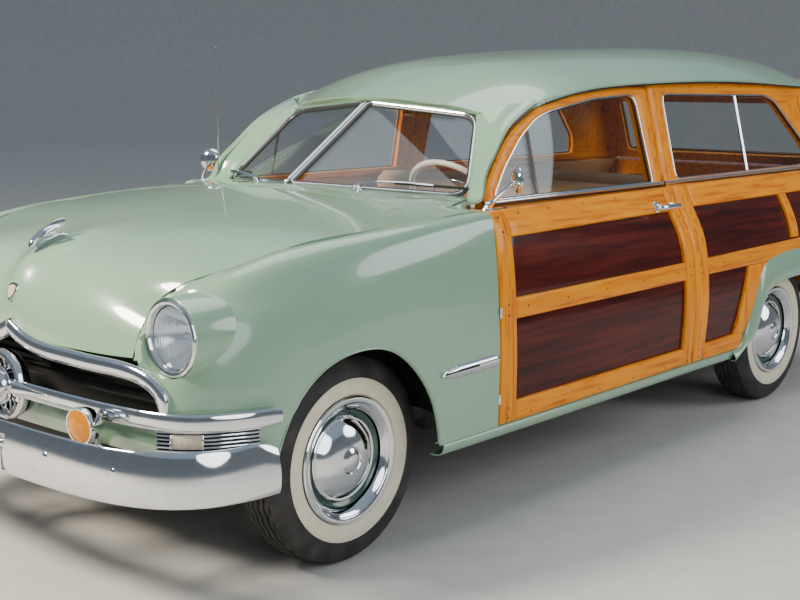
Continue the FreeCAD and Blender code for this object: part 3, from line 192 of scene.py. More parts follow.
def rounded(loop: Sequence[Flat], radius: float, steps: int = 5) -> np.ndarray:
    """Return a closed outline with its corners rounded by smooth bends.

    Args:
        loop: Corners, not repeated at the end.
        radius: How far from each corner its bend begins.
        steps: Points on each bend.
    Returns:
        The rounded outline.
    """
    corners = np.array(loop, float)
    points = []
    for index, corner in enumerate(corners):
        to_before = corners[index - 1] - corner
        to_after = corners[(index + 1) % len(corners)] - corner
        reach_before = min(radius, np.linalg.norm(to_before) * 0.45)
        reach_after = min(radius, np.linalg.norm(to_after) * 0.45)
        start = corner + to_before / np.linalg.norm(to_before) * reach_before
        stop = corner + to_after / np.linalg.norm(to_after) * reach_after
        for share in np.linspace(0, 1, steps):
            points.append(
                (1 - share) ** 2 * start + 2 * share * (1 - share) * corner + share**2 * stop
            )
    return np.array(points)


def inset_loop(loop: np.ndarray, distance: float) -> np.ndarray:
    """Return a closed outline moved to its left-hand side by a distance."""
    before = np.roll(loop, 1, axis=0)
    after = np.roll(loop, -1, axis=0)
    into = loop - before
    out = after - loop
    into_normal = np.column_stack([-into[:, 1], into[:, 0]]) / np.linalg.norm(into, axis=1)[:, None]
    out_normal = np.column_stack([-out[:, 1], out[:, 0]]) / np.linalg.norm(out, axis=1)[:, None]
    total = into_normal + out_normal
    share = np.maximum(1 + np.sum(into_normal * out_normal, axis=1), 0.3)
    return loop + total / share[:, None] * distance


# Shapes and pieces


class Shape:
    """Points and faces in millimetres, gathered before they become one mesh."""

    def __init__(self) -> None:
        """Start with nothing."""
        self.points: list[Point] = []
        self.faces: list[tuple[int, ...]] = []
        self.marks: list[int] = []

    def add(
        self, points: Sequence[Sequence[float]], faces: Sequence[Sequence[int]], mark: int = 0
    ) -> "Shape":
        """Add points and faces; mark picks the finish of the faces."""
        base = len(self.points)
        self.points.extend(tuple(float(c) for c in point) for point in points)
        self.faces.extend(tuple(base + int(i) for i in face) for face in faces)
        self.marks.extend([mark] * len(faces))
        return self

    def grid(
        self, grid: np.ndarray, mark: int = 0, closed_down: bool = False, closed_along: bool = False
    ) -> "Shape":
        """Add a grid of points as quads.

        Args:
            grid: Points, shaped (rows, columns, 3).
            mark: The finish of the faces.
            closed_down: Whether the last row joins the first.
            closed_along: Whether the last column joins the first.
        Returns:
            This shape.
        """
        rows, columns = grid.shape[:2]
        faces = []
        for i in range(rows if closed_down else rows - 1):
            for j in range(columns if closed_along else columns - 1):
                after_i = (i + 1) % rows
                after_j = (j + 1) % columns
                faces.append((
                    i * columns + j, i * columns + after_j,
                    after_i * columns + after_j, after_i * columns + j,
                ))
        return self.add(grid.reshape(-1, 3), faces, mark)

    def panel(
        self, grid: np.ndarray, depth: float, inward: Point, mark: int = 0,
        inner_mark: int | None = None
    ) -> "Shape":
        """Add a sheet of a given thickness whose outside is a grid.

        Args:
            grid: The outside points.
            depth: The sheet's thickness.
            inward: A point that the inside faces.
            mark: The finish of the outside.
            inner_mark: The finish of the inside, if it differs.
        Returns:
            This shape.
        """
        normals = grid_normals(grid)
        middle = tuple(size // 2 for size in grid.shape[:2])
        if np.dot(normals[middle], np.array(inward) - grid[middle]) < 0:
            normals = -normals
        inner = grid + normals * depth
        self.grid(grid, mark)
        self.grid(inner, mark if inner_mark is None else inner_mark)
        for edge in (np.s_[0, :], np.s_[-1, :], np.s_[:, 0], np.s_[:, -1]):
            self.grid(np.stack([grid[edge], inner[edge]]), mark)
        return self

    def turned(
        self, profile: Sequence[Flat], centre: Point, axis: Point, segments: int = 64, mark: int = 0
    ) -> "Shape":
        """Add a profile turned about an axis.

        Args:
            profile: Pairs of distance along the axis and radius.
            centre: The axis's zero point.
            axis: The axis's direction.
            segments: Faces round the axis.
            mark: The finish of the faces.
        Returns:
            This shape.
        """
        along = Vector(axis).normalized()
        first = along.orthogonal().normalized()
        second = along.cross(first)
        grid = np.zeros((segments, len(profile), 3))
        for i in range(segments):
            angle = 2 * math.pi * i / segments
            way = first * math.cos(angle) + second * math.sin(angle)
            for j, (distance, radius) in enumerate(profile):
                grid[i, j] = Vector(centre) + along * distance + way * radius
        return self.grid(grid, mark, closed_down=True)

    def swept(
        self,
        path: np.ndarray,
        section: Sequence[Flat],
        outward: Sequence[float] | np.ndarray,
        mark: int = 0,
        caps: bool = True,
        scales: np.ndarray | None = None,
    ) -> "Shape":
        """Add a section carried along a path.

        Args:
            path: The points that it follows.
            section: A closed outline of (outward, sideways) pairs.
            outward: The section's first direction, one for all points or one for each.
            mark: The finish of the faces.
            caps: Whether both ends are closed.
            scales: A factor on the section for each point of the path.
        Returns:
            This shape.
        """
        path = np.asarray(path, float)
        tangent = np.gradient(path, axis=0)
        tangent /= np.linalg.norm(tangent, axis=1)[:, None]
        out = np.broadcast_to(np.asarray(outward, float), path.shape).copy()
        out -= np.sum(out * tangent, axis=1)[:, None] * tangent
        out /= np.linalg.norm(out, axis=1)[:, None]
        sideways = np.cross(tangent, out)
        outline = np.asarray(section, float)
        factor = np.ones(len(path)) if scales is None else np.asarray(scales, float)
        grid = path[:, None, :] + factor[:, None, None] * (
            outline[None, :, 0, None] * out[:, None, :]
            + outline[None, :, 1, None] * sideways[:, None, :]
        )
        return self.capped(grid, mark) if caps else self.grid(grid, mark, closed_along=True)

    def rod(
        self, points: Sequence[Point], radius: float, mark: int = 0, sides: int = 12
    ) -> "Shape":
        """Add a round bar through points."""
        path = np.array(points, float)
        way = path[-1] - path[0]
        outward = (0.0, 0.0, 1.0) if abs(way[2]) < 0.9 * np.linalg.norm(way) else (1.0, 0.0, 0.0)
        return self.swept(path, circle(radius, sides), outward, mark)

    def capped(self, grid: np.ndarray, mark: int = 0, cap_mark: int | None = None) -> "Shape":
        """Add a tube whose rows are closed outlines, with a face on both ends."""
        self.grid(grid, mark, closed_along=True)
        for end in (grid[0], grid[-1]):
            self.add(end, [tuple(range(len(end)))], mark if cap_mark is None else cap_mark)
        return self

    def mirrored(self) -> "Shape":
        """Return this shape on the car's other side."""
        other = Shape()
        other.points = [(x, -y, z) for x, y, z in self.points]
        other.faces = [tuple(reversed(face)) for face in self.faces]
        other.marks = list(self.marks)
        return other

    def doubled(self) -> "Shape":
        """Return this shape together with its mirror image."""
        return Shape().merged(self, self.mirrored())

    def on_side(self, side: Side) -> "Shape":
        """Return this shape, made for the left side, on the given side."""
        return self if side is Side.LEFT else self.mirrored()

    def merged(self, *others: "Shape") -> "Shape":
        """Add other shapes to this one."""
        for other in others:
            base = len(self.points)
            self.points.extend(other.points)
            self.faces.extend(tuple(base + i for i in face) for face in other.faces)
            self.marks.extend(other.marks)
        return self

    def mesh(self, name: str, sharp_angle: float = 35.0) -> bpy.types.Mesh:
        """Make the mesh: points welded, normals outward, smooth up to an angle."""
        mesh = bpy.data.meshes.new(name)
        mesh.from_pydata([tuple(c * MM for c in point) for point in self.points], [], self.faces)
        mesh.polygons.foreach_set("material_index", self.marks)
        work = bmesh.new()
        work.from_mesh(mesh)
        bmesh.ops.remove_doubles(work, verts=work.verts, dist=0.04 * MM)
        bmesh.ops.dissolve_degenerate(work, edges=work.edges, dist=0.001 * MM)
        bmesh.ops.recalc_face_normals(work, faces=work.faces)
        work.to_mesh(mesh)
        work.free()
        mesh.polygons.foreach_set("use_smooth", [True] * len(mesh.polygons))
        mesh.set_sharp_from_angle(angle=math.radians(sharp_angle))
        return mesh


def circle(radius: float, sides: int = 12) -> list[Flat]:
    """Return a round section."""
    turn = 2 * math.pi / sides
    return [(radius * math.cos(turn * i), radius * math.sin(turn * i)) for i in range(sides)]


def plain_object(name: str, mesh: bpy.types.Mesh) -> bpy.types.Object:
    """Put a mesh into the scene as an object at the origin."""
    item = bpy.data.objects.new(name, mesh)
    bpy.context.scene.collection.objects.link(item)
    return item


def cut_away(item: bpy.types.Object, cutters: Sequence["Shape"]) -> None:
    """Take the cutters' room out of a closed mesh and keep its smooth shading."""
    for index, cutter in enumerate(cutters):
        tool = plain_object(f"cutter_{index}", cutter.mesh(f"cutter_{index}"))
        step = item.modifiers.new("opening", "BOOLEAN")
        step.operation = "DIFFERENCE"
        step.solver = "EXACT"
        step.object = tool
        bpy.context.view_layer.update()
        graph = bpy.context.evaluated_depsgraph_get()
        fresh = bpy.data.meshes.new_from_object(item.evaluated_get(graph))
        item.modifiers.clear()
        item.data = fresh
        bpy.data.objects.remove(tool)
    item.data.polygons.foreach_set("use_smooth", [True] * len(item.data.polygons))
    item.data.set_sharp_from_angle(angle=math.radians(38))


@dataclass(frozen=True)
class Finish:
    """A surface finish that becomes one node material, made once and shared."""

    name: str

    def material(self) -> bpy.types.Material:
        """Return the finish's material, made at the first call."""
        known = bpy.data.materials.get(f"finish_{self.name}")
        if known:
            return known
        sketch = NodeSketch(f"finish_{self.name}")
        self.dress(sketch)
        return sketch.material

    def dress(self, sketch: "NodeSketch") -> None:
        """Set up the nodes; each kind of finish does this its own way."""
        raise NotImplementedError


def piece(
    name: str,
    shape: Shape,
    finishes: Sequence[Finish],
    body: str,
    replaces: Sequence[str] = (),
    sharp_angle: float = 35.0,
    cutters: Sequence[Shape] = (),
) -> bpy.types.Object:
    """Make one visible piece of the car.

    Args:
        name: The piece's name.
        shape: Its points and faces.
        finishes: Its finishes, in the order of the shape's marks.
        body: The CAD body that it rides on.
        replaces: CAD nodes that it stands for.
        sharp_angle: Edges above this angle in degrees stay sharp.
        cutters: Closed shapes whose room is taken out of it.
    Returns:
        The new object.
    """
    item = plain_object(name, shape.mesh(name, sharp_angle))
    for finish in finishes:
        item.data.materials.append(finish.material())
    if cutters:
        cut_away(item, cutters)
    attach(item, body)
    if replaces:
        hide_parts(*replaces)
    LOG.info("%s: %d faces on %s", name, len(item.data.polygons), body)
    return item


def dress_node(node: str, finish: Finish) -> None:
    """Give a CAD node that stays as it is a finish of its own."""
    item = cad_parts[node]
    item.data.materials.clear()
    item.data.materials.append(finish.material())
    LOG.info("%s: kept from the frame", node)


# Finishes


class NodeSketch:
    """A node material while it is put together round one Principled shader."""

    def __init__(self, name: str) -> None:
        """Start a material with a shader, an output and the object's own coordinates."""
        self.material = bpy.data.materials.new(name)
        self.material.use_nodes = True
        self.tree = self.material.node_tree
        self.tree.nodes.clear()
        output = self.tree.nodes.new("ShaderNodeOutputMaterial")
        self.shader = self.tree.nodes.new("ShaderNodeBsdfPrincipled")
        self.tree.links.new(self.shader.outputs[0], output.inputs[0])
        self.place = self.tree.nodes.new("ShaderNodeTexCoord").outputs["Object"]

    def node(self, kind: str, inputs: dict | None = None, **settings: object) -> bpy.types.Node:
        """Add a node; inputs are values or sockets by input name or number."""
        made = self.tree.nodes.new(f"ShaderNode{kind}")
        for key, value in settings.items():
            setattr(made, key, value)
        for key, value in (inputs or {}).items():
            if isinstance(value, bpy.types.NodeSocket):
                self.tree.links.new(value, made.inputs[key])
            else:
                made.inputs[key].default_value = value
        return made

    def set(self, **values: object) -> None:
        """Set the shader's sockets; names are given with underscores for spaces."""
        for key, value in values.items():
            socket = self.shader.inputs[key.replace("_", " ")]
            if isinstance(value, bpy.types.NodeSocket):
                self.tree.links.new(value, socket)
            elif isinstance(value, tuple) and len(value) == 3:
                socket.default_value = (*value, 1.0)
            else:
                socket.default_value = value

    def stretched(self, scale: Point) -> bpy.types.NodeSocket:
        """Return the coordinates scaled along x, y and z."""
        return self.node("Mapping", {"Vector": self.place, "Scale": scale}).outputs[0]

    def noise(
        self, scale: float, detail: float = 3.0, stretch: Point = (1, 1, 1), distortion: float = 0.0
    ) -> bpy.types.NodeSocket:
        """Return a soft noise value; scale is in features to a metre."""
        inputs = {
            "Vector": self.stretched(stretch), "Scale": scale, "Detail": detail,
            "Distortion": distortion
        }
        return self.node("TexNoise", inputs).outputs[0]

    def ramp(
        self, value: bpy.types.NodeSocket, stops: Sequence[tuple[float, Colour]]
    ) -> bpy.types.NodeSocket:
        """Return colours read along a value; stops are places and colours."""
        made = self.node("ValToRGB", {"Fac": value})
        elements = made.color_ramp.elements
        while len(elements) < len(stops):
            elements.new(0.5)
        for element, (at, colour) in zip(elements, stops):
            element.position = at
            element.color = (*colour, 1.0)
        return made.outputs[0]

    def reach(
        self, value: bpy.types.NodeSocket, low: float, high: float, start: float = 0.0,
        stop: float = 1.0
    ) -> bpy.types.NodeSocket:
        """Return a value between start and stop carried over to low and high."""
        inputs = {
            "Value": value, "From Min": start, "From Max": stop, "To Min": low, "To Max": high
        }
        return self.node("MapRange", inputs).outputs[0]

    def mixed(
        self, share: bpy.types.NodeSocket, first: object, second: object
    ) -> bpy.types.NodeSocket:
        """Return a mix of two colours."""
        made = self.node("Mix", {0: share}, data_type="RGBA")
        for index, value in ((6, first), (7, second)):
            if isinstance(value, bpy.types.NodeSocket):
                self.tree.links.new(value, made.inputs[index])
            else:
                made.inputs[index].default_value = (*value, 1.0)
        return made.outputs[2]

    def maths(self, operation: str, first: object, second: object) -> bpy.types.NodeSocket:
        """Return two values worked together."""
        return self.node("Math", {0: first, 1: second}, operation=operation).outputs[0]

    def bump(self, height: bpy.types.NodeSocket, strength: float, distance: float = 0.001) -> None:
        """Roughen the surface's shading by a height value."""
        made = self.node("Bump", {"Height": height, "Strength": strength, "Distance": distance})
        self.set(Normal=made.outputs[0])


@dataclass(frozen=True)
class GlossPaint(Finish):
    """Sprayed and polished paint with a clear surface."""

    colour: Colour
    shade: Colour
    roughness: float = 0.16

    def dress(self, sketch: NodeSketch) -> None:
        """Tint drifts slowly, and the surface has a faint orange peel."""
        drift = sketch.noise(1.6, 2)
        sketch.set(Base_Color=sketch.ramp(drift, [(0.3, self.shade), (0.7, self.colour)]))
        sketch.set(
            Roughness=sketch.reach(sketch.noise(9, 4), self.roughness, self.roughness + 0.08)
        )
        sketch.set(Coat_Weight=0.9, Coat_Roughness=0.04, Specular_IOR_Level=0.5)
        sketch.bump(sketch.noise(260, 2), 0.035, 0.0006)


@dataclass(frozen=True)
class Chrome(Finish):
    """Bright plating."""

    colour: Colour = (0.82, 0.84, 0.87)
    roughness: float = 0.05

    def dress(self, sketch: NodeSketch) -> None:
        """Plating with slight haze and waviness."""
        haze = sketch.noise(30, 5)
        sketch.set(
            Base_Color=sketch.ramp(
                haze, [(0.3, tuple(c * 0.93 for c in self.colour)), (0.7, self.colour)]
            )
        )
        sketch.set(
            Metallic=1.0,
            Roughness=sketch.reach(haze, self.roughness, self.roughness + 0.07, 0.35, 0.75)
        )
        sketch.bump(sketch.noise(18, 2), 0.03, 0.0008)


@dataclass(frozen=True)
class VarnishedWood(Finish):
    """Light wood under thick varnish, with its grain along one direction."""

    light: Colour
    middle: Colour
    dark: Colour
    along: Point
    rings: float = 55.0
    gloss: float = 0.22
    coat: float = 0.28

    def dress(self, sketch: NodeSketch) -> None:
        """Long streaks and fine pores run along the member."""
        drift = sketch.noise(2.2, 3, self.along, 0.6)
        streaks = sketch.noise(self.rings, 6, self.along, 0.3)
        pores = sketch.noise(self.rings * 7, 2, self.along)
        base = sketch.ramp(streaks, [(0.30, self.dark), (0.47, self.middle), (0.68, self.light)])
        shaded = sketch.mixed(sketch.reach(drift, 0.0, 0.35, 0.45, 0.75), base, self.dark)
        flecks = sketch.mixed(
            sketch.reach(pores, 0.0, 0.22, 0.60, 0.80), shaded, tuple(c * 0.55 for c in self.dark)
        )
        sketch.set(
            Base_Color=flecks, Roughness=sketch.reach(streaks, self.gloss, self.gloss + 0.12)
        )
        sketch.set(
            Coat_Weight=self.coat, Coat_Roughness=0.05, Coat_IOR=1.35, Specular_IOR_Level=0.12
        )
        sketch.bump(pores, 0.05, 0.0004)


@dataclass(frozen=True)
class Rubber(Finish):
    """Tyre rubber with soft patches of dust."""

    colour: Colour
    dust: Colour
    roughness: float = 0.62

    def dress(self, sketch: NodeSketch) -> None:
        """Dust lies in soft patches over a matt surface."""
        patches = sketch.noise(14, 5)
        sketch.set(Base_Color=sketch.ramp(patches, [(0.42, self.colour), (0.78, self.dust)]))
        sketch.set(Roughness=sketch.reach(patches, self.roughness, self.roughness + 0.2))
        sketch.bump(sketch.noise(420, 3), 0.12, 0.0005)


@dataclass(frozen=True)
class PaneGlass(Finish):
    """A clear pane: mirror-like at a glancing look, see-through face on."""

    tint: Colour = (0.42, 0.50, 0.52)
    body: float = 0.07

    def dress(self, sketch: NodeSketch) -> None:
        """The pane's reflection grows towards its edges."""
        facing = sketch.node("LayerWeight", {"Blend": 0.5}).outputs["Facing"]
        smear = sketch.noise(5, 4)
        rise = sketch.maths("MULTIPLY", sketch.maths("POWER", facing, 4.0), 0.45)
        clear = sketch.maths("ADD", rise, sketch.reach(smear, self.body * 0.8, self.body))
        sketch.set(
            Base_Color=sketch.ramp(
                smear, [(0.2, tuple(c * 0.9 for c in self.tint)), (0.8, self.tint)]
            )
        )
        sketch.set(Metallic=1.0, Roughness=0.015, Alpha=clear)


@dataclass(frozen=True)
class LampGlass(Finish):
    """Moulded lamp glass with fine flutes."""

    colour: Colour
    flutes: float = 420.0
    clear: float = 0.9

    def dress(self, sketch: NodeSketch) -> None:
        """Upright flutes refract whatever lies behind them."""
        ribs = sketch.node(
            "TexWave",
            {"Vector": sketch.place, "Scale": self.flutes / 20, "Distortion": 0.4},
            bands_direction="Y",
        ).outputs[1]
        cloud = sketch.noise(25, 4)
        sketch.set(
            Base_Color=sketch.ramp(
                cloud, [(0.3, tuple(c * 0.86 for c in self.colour)), (0.7, self.colour)]
            )
        )
        sketch.set(
            Transmission_Weight=self.clear, Roughness=sketch.reach(cloud, 0.04, 0.12), IOR=1.45
        )
        sketch.bump(ribs, 0.35, 0.0012)


@dataclass(frozen=True)
class SatinMetal(Finish):
    """Painted or bare metal that has seen some road."""

    colour: Colour
    worn: Colour
    roughness: float = 0.5
    metallic: float = 0.0
    grit: float = 90.0

    def dress(self, sketch: NodeSketch) -> None:
        """Worn patches and a fine grit."""
        patches = sketch.noise(7, 6)
        sketch.set(Base_Color=sketch.ramp(patches, [(0.42, self.colour), (0.72, self.worn)]))
        sketch.set(
            Metallic=self.metallic,
            Roughness=sketch.reach(patches, self.roughness, self.roughness + 0.2)
        )
        sketch.bump(sketch.noise(self.grit, 4), 0.12, 0.0008)


@dataclass(frozen=True)
class Upholstery(Finish):
    """Seat covering with a fine grain."""

    colour: Colour
    shade: Colour
    grain: float = 700.0
    roughness: float = 0.55

    def dress(self, sketch: NodeSketch) -> None:
        """Fine cells in the surface and a soft change of tone."""
        drift = sketch.noise(4, 3)
        cells = sketch.node("TexVoronoi", {"Vector": sketch.place, "Scale": self.grain}).outputs[0]
        sketch.set(Base_Color=sketch.ramp(drift, [(0.3, self.shade), (0.7, self.colour)]))
        sketch.set(
            Roughness=sketch.reach(cells, self.roughness, self.roughness + 0.15), Sheen_Weight=0.15
        )
        sketch.bump(cells, 0.25, 0.0004)


@dataclass(frozen=True)
class Plastic(Finish):
    """Moulded plastic or rubber trim."""

    colour: Colour
    shade: Colour
    roughness: float = 0.3

    def dress(self, sketch: NodeSketch) -> None:
        """Slight mottling under a smooth surface."""
        mottle = sketch.noise(22, 3)
        sketch.set(Base_Color=sketch.ramp(mottle, [(0.3, self.shade), (0.7, self.colour)]))
        sketch.set(
            Roughness=sketch.reach(mottle, self.roughness, self.roughness + 0.12), Coat_Weight=0.2
        )
        sketch.bump(sketch.noise(300, 2), 0.04, 0.0005)


BODY_GREEN = GlossPaint("body_green", (0.275, 0.445, 0.29), (0.24, 0.405, 0.265))
WHEEL_GREEN = GlossPaint("wheel_green", (0.030, 0.085, 0.060), (0.022, 0.065, 0.048), 0.25)
PLATED = Chrome("plated")
MAPLE_ALONG = VarnishedWood(
    "maple_along", (1.0, 0.37, 0.0), (0.92, 0.28, 0.0), (0.58, 0.135, 0.0), (0.06, 1, 1)
)
MAPLE_UPRIGHT = VarnishedWood(
    "maple_upright", (1.0, 0.37, 0.0), (0.92, 0.28, 0.0), (0.58, 0.135, 0.0), (1, 1, 0.06)
)
MAPLE = (MAPLE_ALONG, MAPLE_UPRIGHT)
MAHOGANY = VarnishedWood(
    "mahogany", (0.120, 0.012, 0.005), (0.066, 0.006, 0.003), (0.024, 0.003, 0.002), (0.05, 1, 1),
    38, 0.14, 0.32
)
TYRE_RUBBER = Rubber("tyre_rubber", (0.016, 0.016, 0.017), (0.055, 0.050, 0.044))
CREAM_RUBBER = Rubber("cream_rubber", (0.76, 0.70, 0.52), (0.66, 0.60, 0.43), 0.42)
CLEAR_PANE = PaneGlass("clear_pane")
CLEAR_LENS = LampGlass("clear_lens", (0.82, 0.91, 1.0))
AMBER_LENS = LampGlass("amber_lens", (0.98, 0.34, 0.0), 300, 0.4)
CREAM_LENS = LampGlass("cream_lens", (0.86, 0.76, 0.60), 500, 0.25)
RED_LENS = LampGlass("red_lens", (0.50, 0.012, 0.010), 300, 0.4)
CHASSIS_BLACK = SatinMetal("chassis_black", (0.018, 0.018, 0.020), (0.050, 0.042, 0.036))
UNDERSEAL = SatinMetal("underseal", (0.012, 0.013, 0.012), (0.034, 0.032, 0.028), 0.7)
CAST_IRON = SatinMetal("cast_iron_block", (0.10, 0.10, 0.11), (0.20, 0.16, 0.13), 0.6, 0.7)
PIPE_STEEL = SatinMetal("pipe_steel", (0.26, 0.23, 0.21), (0.36, 0.22, 0.13), 0.45, 0.8)
BLANK_PLATE = SatinMetal("blank_plate", (0.72, 0.73, 0.71), (0.62, 0.63, 0.60), 0.35)
TAN_HIDE = Upholstery("tan_hide", (0.76, 0.44, 0.17), (0.62, 0.34, 0.12))
DARK_HIDE = Upholstery("dark_hide", (0.030, 0.026, 0.024), (0.018, 0.016, 0.015))
HEADLINING = Upholstery("headlining", (0.20, 0.17, 0.13), (0.15, 0.13, 0.10), 900, 0.8)
FLOOR_MAT = Upholstery("floor_mat", (0.030, 0.030, 0.028), (0.020, 0.020, 0.019), 300, 0.8)
DASH_BROWN = GlossPaint("dash_brown", (0.15, 0.065, 0.030), (0.11, 0.045, 0.020), 0.3)
IVORY = Plastic("ivory", (0.80, 0.75, 0.62), (0.74, 0.68, 0.54))
BLACK_RUBBER = Plastic("black_rubber", (0.014, 0.014, 0.015), (0.022, 0.022, 0.022), 0.5)
SHADOW = Plastic("shadow_black", (0.006, 0.006, 0.006), (0.010, 0.010, 0.010), 0.8)
DARK_SCREW = SatinMetal("dark_screw", (0.05, 0.035, 0.02), (0.09, 0.06, 0.03), 0.4, 0.8)
MIRROR_SILVER = Chrome("reflector", (0.93, 0.94, 0.95), 0.02)

# Forms that several pieces follow

BELT_Z = 1085.0
BELT_Y = 735.0
LEAN = math.radians(13.53)
LEVELS = (345, 480, 620, 740, 880, 960, 1040, 1078)
INNER_LEVELS = (838, 844, 845, 836, 806, 768, 714, 692)
SIDE_ROWS = (
    # x, then the half width at each level
    (1330, 905, 908, 908, 904, 896, 890, 872, 848),
    (1042, 905, 908, 907, 902, 892, 882, 860, 835),
    (600, 904, 908, 908, 901, 884, 862, 826, 805),
    (160, 900, 907, 909, 900, 875, 842, 800, 785),
    (-278, 896, 905, 909, 898, 868, 828, 786, 774),
    (-760, 896, 905, 908, 897, 866, 826, 784, 772),
    (-1234, 893, 902, 905, 893, 862, 822, 781, 769),
    (-1700, 872, 880, 883, 873, 845, 808, 770, 758),
    (-2050, 838, 846, 849, 840, 815, 782, 748, 740),
    (-2330, 795, 803, 806, 798, 776, 748, 720, 712),
)
MEMBER_DEPTH = 46
MEMBER_RADIUS = 7
# Belt strips as z and finish mark: the bright moulding, then a thin shadow-black strip below it as a
# painted shadow line.
BELT_LINES = ((1089.0, 0), (1080.0, 1))
TAIL_LINE = ((345, -2300), (430, -2290), (1060, -2135), (1085, -2130), (1560, -1815))

Placer = Callable[[np.ndarray, np.ndarray], np.ndarray]


class BodySide:
    """The smooth outside of the body below the belt, read at any station and height."""

    def __init__(self) -> None:
        """Refine the table of half widths into a fine one."""
        rows = np.array(SIDE_ROWS[::-1], float)
        self.stations = np.linspace(rows[0, 0], rows[-1, 0], 184)
        self.heights = np.linspace(LEVELS[0], LEVELS[-1], 120)
        along = natural_spline(rows[:, 0], rows[:, 1:], self.stations)
        self.table = natural_spline(np.array(LEVELS, float), along.T, self.heights).T

    def half_width(self, x: np.ndarray, z: np.ndarray) -> np.ndarray:
        """Return the half widths at stations and heights, read between the table's places."""
        across = np.interp(x, self.stations, np.arange(len(self.stations)))
        up = np.interp(z, self.heights, np.arange(len(self.heights)))
        i = np.minimum(across.astype(int), len(self.stations) - 2)
        j = np.minimum(up.astype(int), len(self.heights) - 2)
        a = across - i
        b = up - j
        low = self.table[i, j] * (1 - a) + self.table[i + 1, j] * a
        high = self.table[i, j + 1] * (1 - a) + self.table[i + 1, j + 1] * a
        return low * (1 - b) + high * b

    def place(self, points: np.ndarray, drop: np.ndarray) -> np.ndarray:
        """Put (x, z) points on the left side, each sunk below the surface by a drop."""
        x, z = points[:, 0], points[:, 1]
        y = self.half_width(x, z)
        slope_x = (self.half_width(x + 8, z) - self.half_width(x - 8, z)) / 16
        slope_z = (self.half_width(x, z + 8) - self.half_width(x, z - 8)) / 16
        normal = np.column_stack([-slope_x, np.ones_like(y), -slope_z])
        normal /= np.linalg.norm(normal, axis=1)[:, None]
        return np.column_stack([x, y, z]) - normal * np.asarray(drop)[:, None]


SIDE_FORM = BodySide()


def side_point(x: float, z: float, out: float = 0.0) -> Point:
    """Return one point on the left side, stood off the surface by a distance."""
    return tuple(SIDE_FORM.place(np.array([[x, z]]), np.array([-out]))[0])


def window_plane(points: np.ndarray, drop: np.ndarray) -> np.ndarray:
    """Put (x, z) points on the leaning plane of the left windows."""
    normal = np.array([0.0, math.cos(LEAN), math.sin(LEAN)])
    y = BELT_Y - (points[:, 1] - BELT_Z) * math.tan(LEAN)
    return np.column_stack([points[:, 0], y, points[:, 1]]) - normal * np.asarray(drop)[:, None]


def inner_wall(points: np.ndarray, drop: np.ndarray) -> np.ndarray:
    """Put (x, z) points on the inside face of the left wall; a drop goes outward into the wall."""
    y = np.interp(points[:, 1], LEVELS, INNER_LEVELS)
    narrowing = np.maximum(
        0.0, 905 - SIDE_FORM.half_width(points[:, 0], np.full(len(points), 480.0))
    )
    return np.column_stack([points[:, 0], y - narrowing + np.asarray(drop), points[:, 1]])


def tail_x(z: np.ndarray | float) -> np.ndarray | float:
    """Return the x of the body's tail at a height."""
    heights, places = zip(*TAIL_LINE)
    return np.interp(z, heights, places)


def tail_plane(points: np.ndarray, drop: np.ndarray) -> np.ndarray:
    """Put (y, z) points on the sloping tail."""
    slope = (tail_x(points[:, 1] + 6) - tail_x(points[:, 1] - 6)) / 12
    normal = np.column_stack([-np.ones(len(points)), np.zeros(len(points)), slope])
    normal /= np.linalg.norm(normal, axis=1)[:, None]
    return (
        np.column_stack([tail_x(points[:, 1]), points[:, 0], points[:, 1]])
        - normal * np.asarray(drop)[:, None]
    )


def rim_stations(
    length: float, radii: Flat, spacing: float, steps: int = 4
) -> tuple[np.ndarray, np.ndarray]:
    """Return places across a member and how far its face falls away at each.

    Args:
        length: The member's width there.
        radii: The rounding at its start and at its end.
        spacing: Distance between the places on the flat part.
        steps: Places on each rounded edge.
    Returns:
        Shares of the length, and the fall at each.
    """
    bend = np.linspace(0, math.pi / 2, steps)
    first, last = (min(radius, length * 0.45) for radius in radii)
    count = max(1, math.ceil((length - first - last) / spacing))
    middle = np.linspace(first, length - last, count + 1)[1:-1]
    at = np.concatenate(
        [first * (1 - np.cos(bend)), middle, length - (last * (1 - np.cos(bend)))[::-1]]
    )
    fall = np.concatenate(
        [first * (1 - np.sin(bend)), np.zeros(len(middle)), (last * (1 - np.sin(bend)))[::-1]]
    )
    return at / length, fall


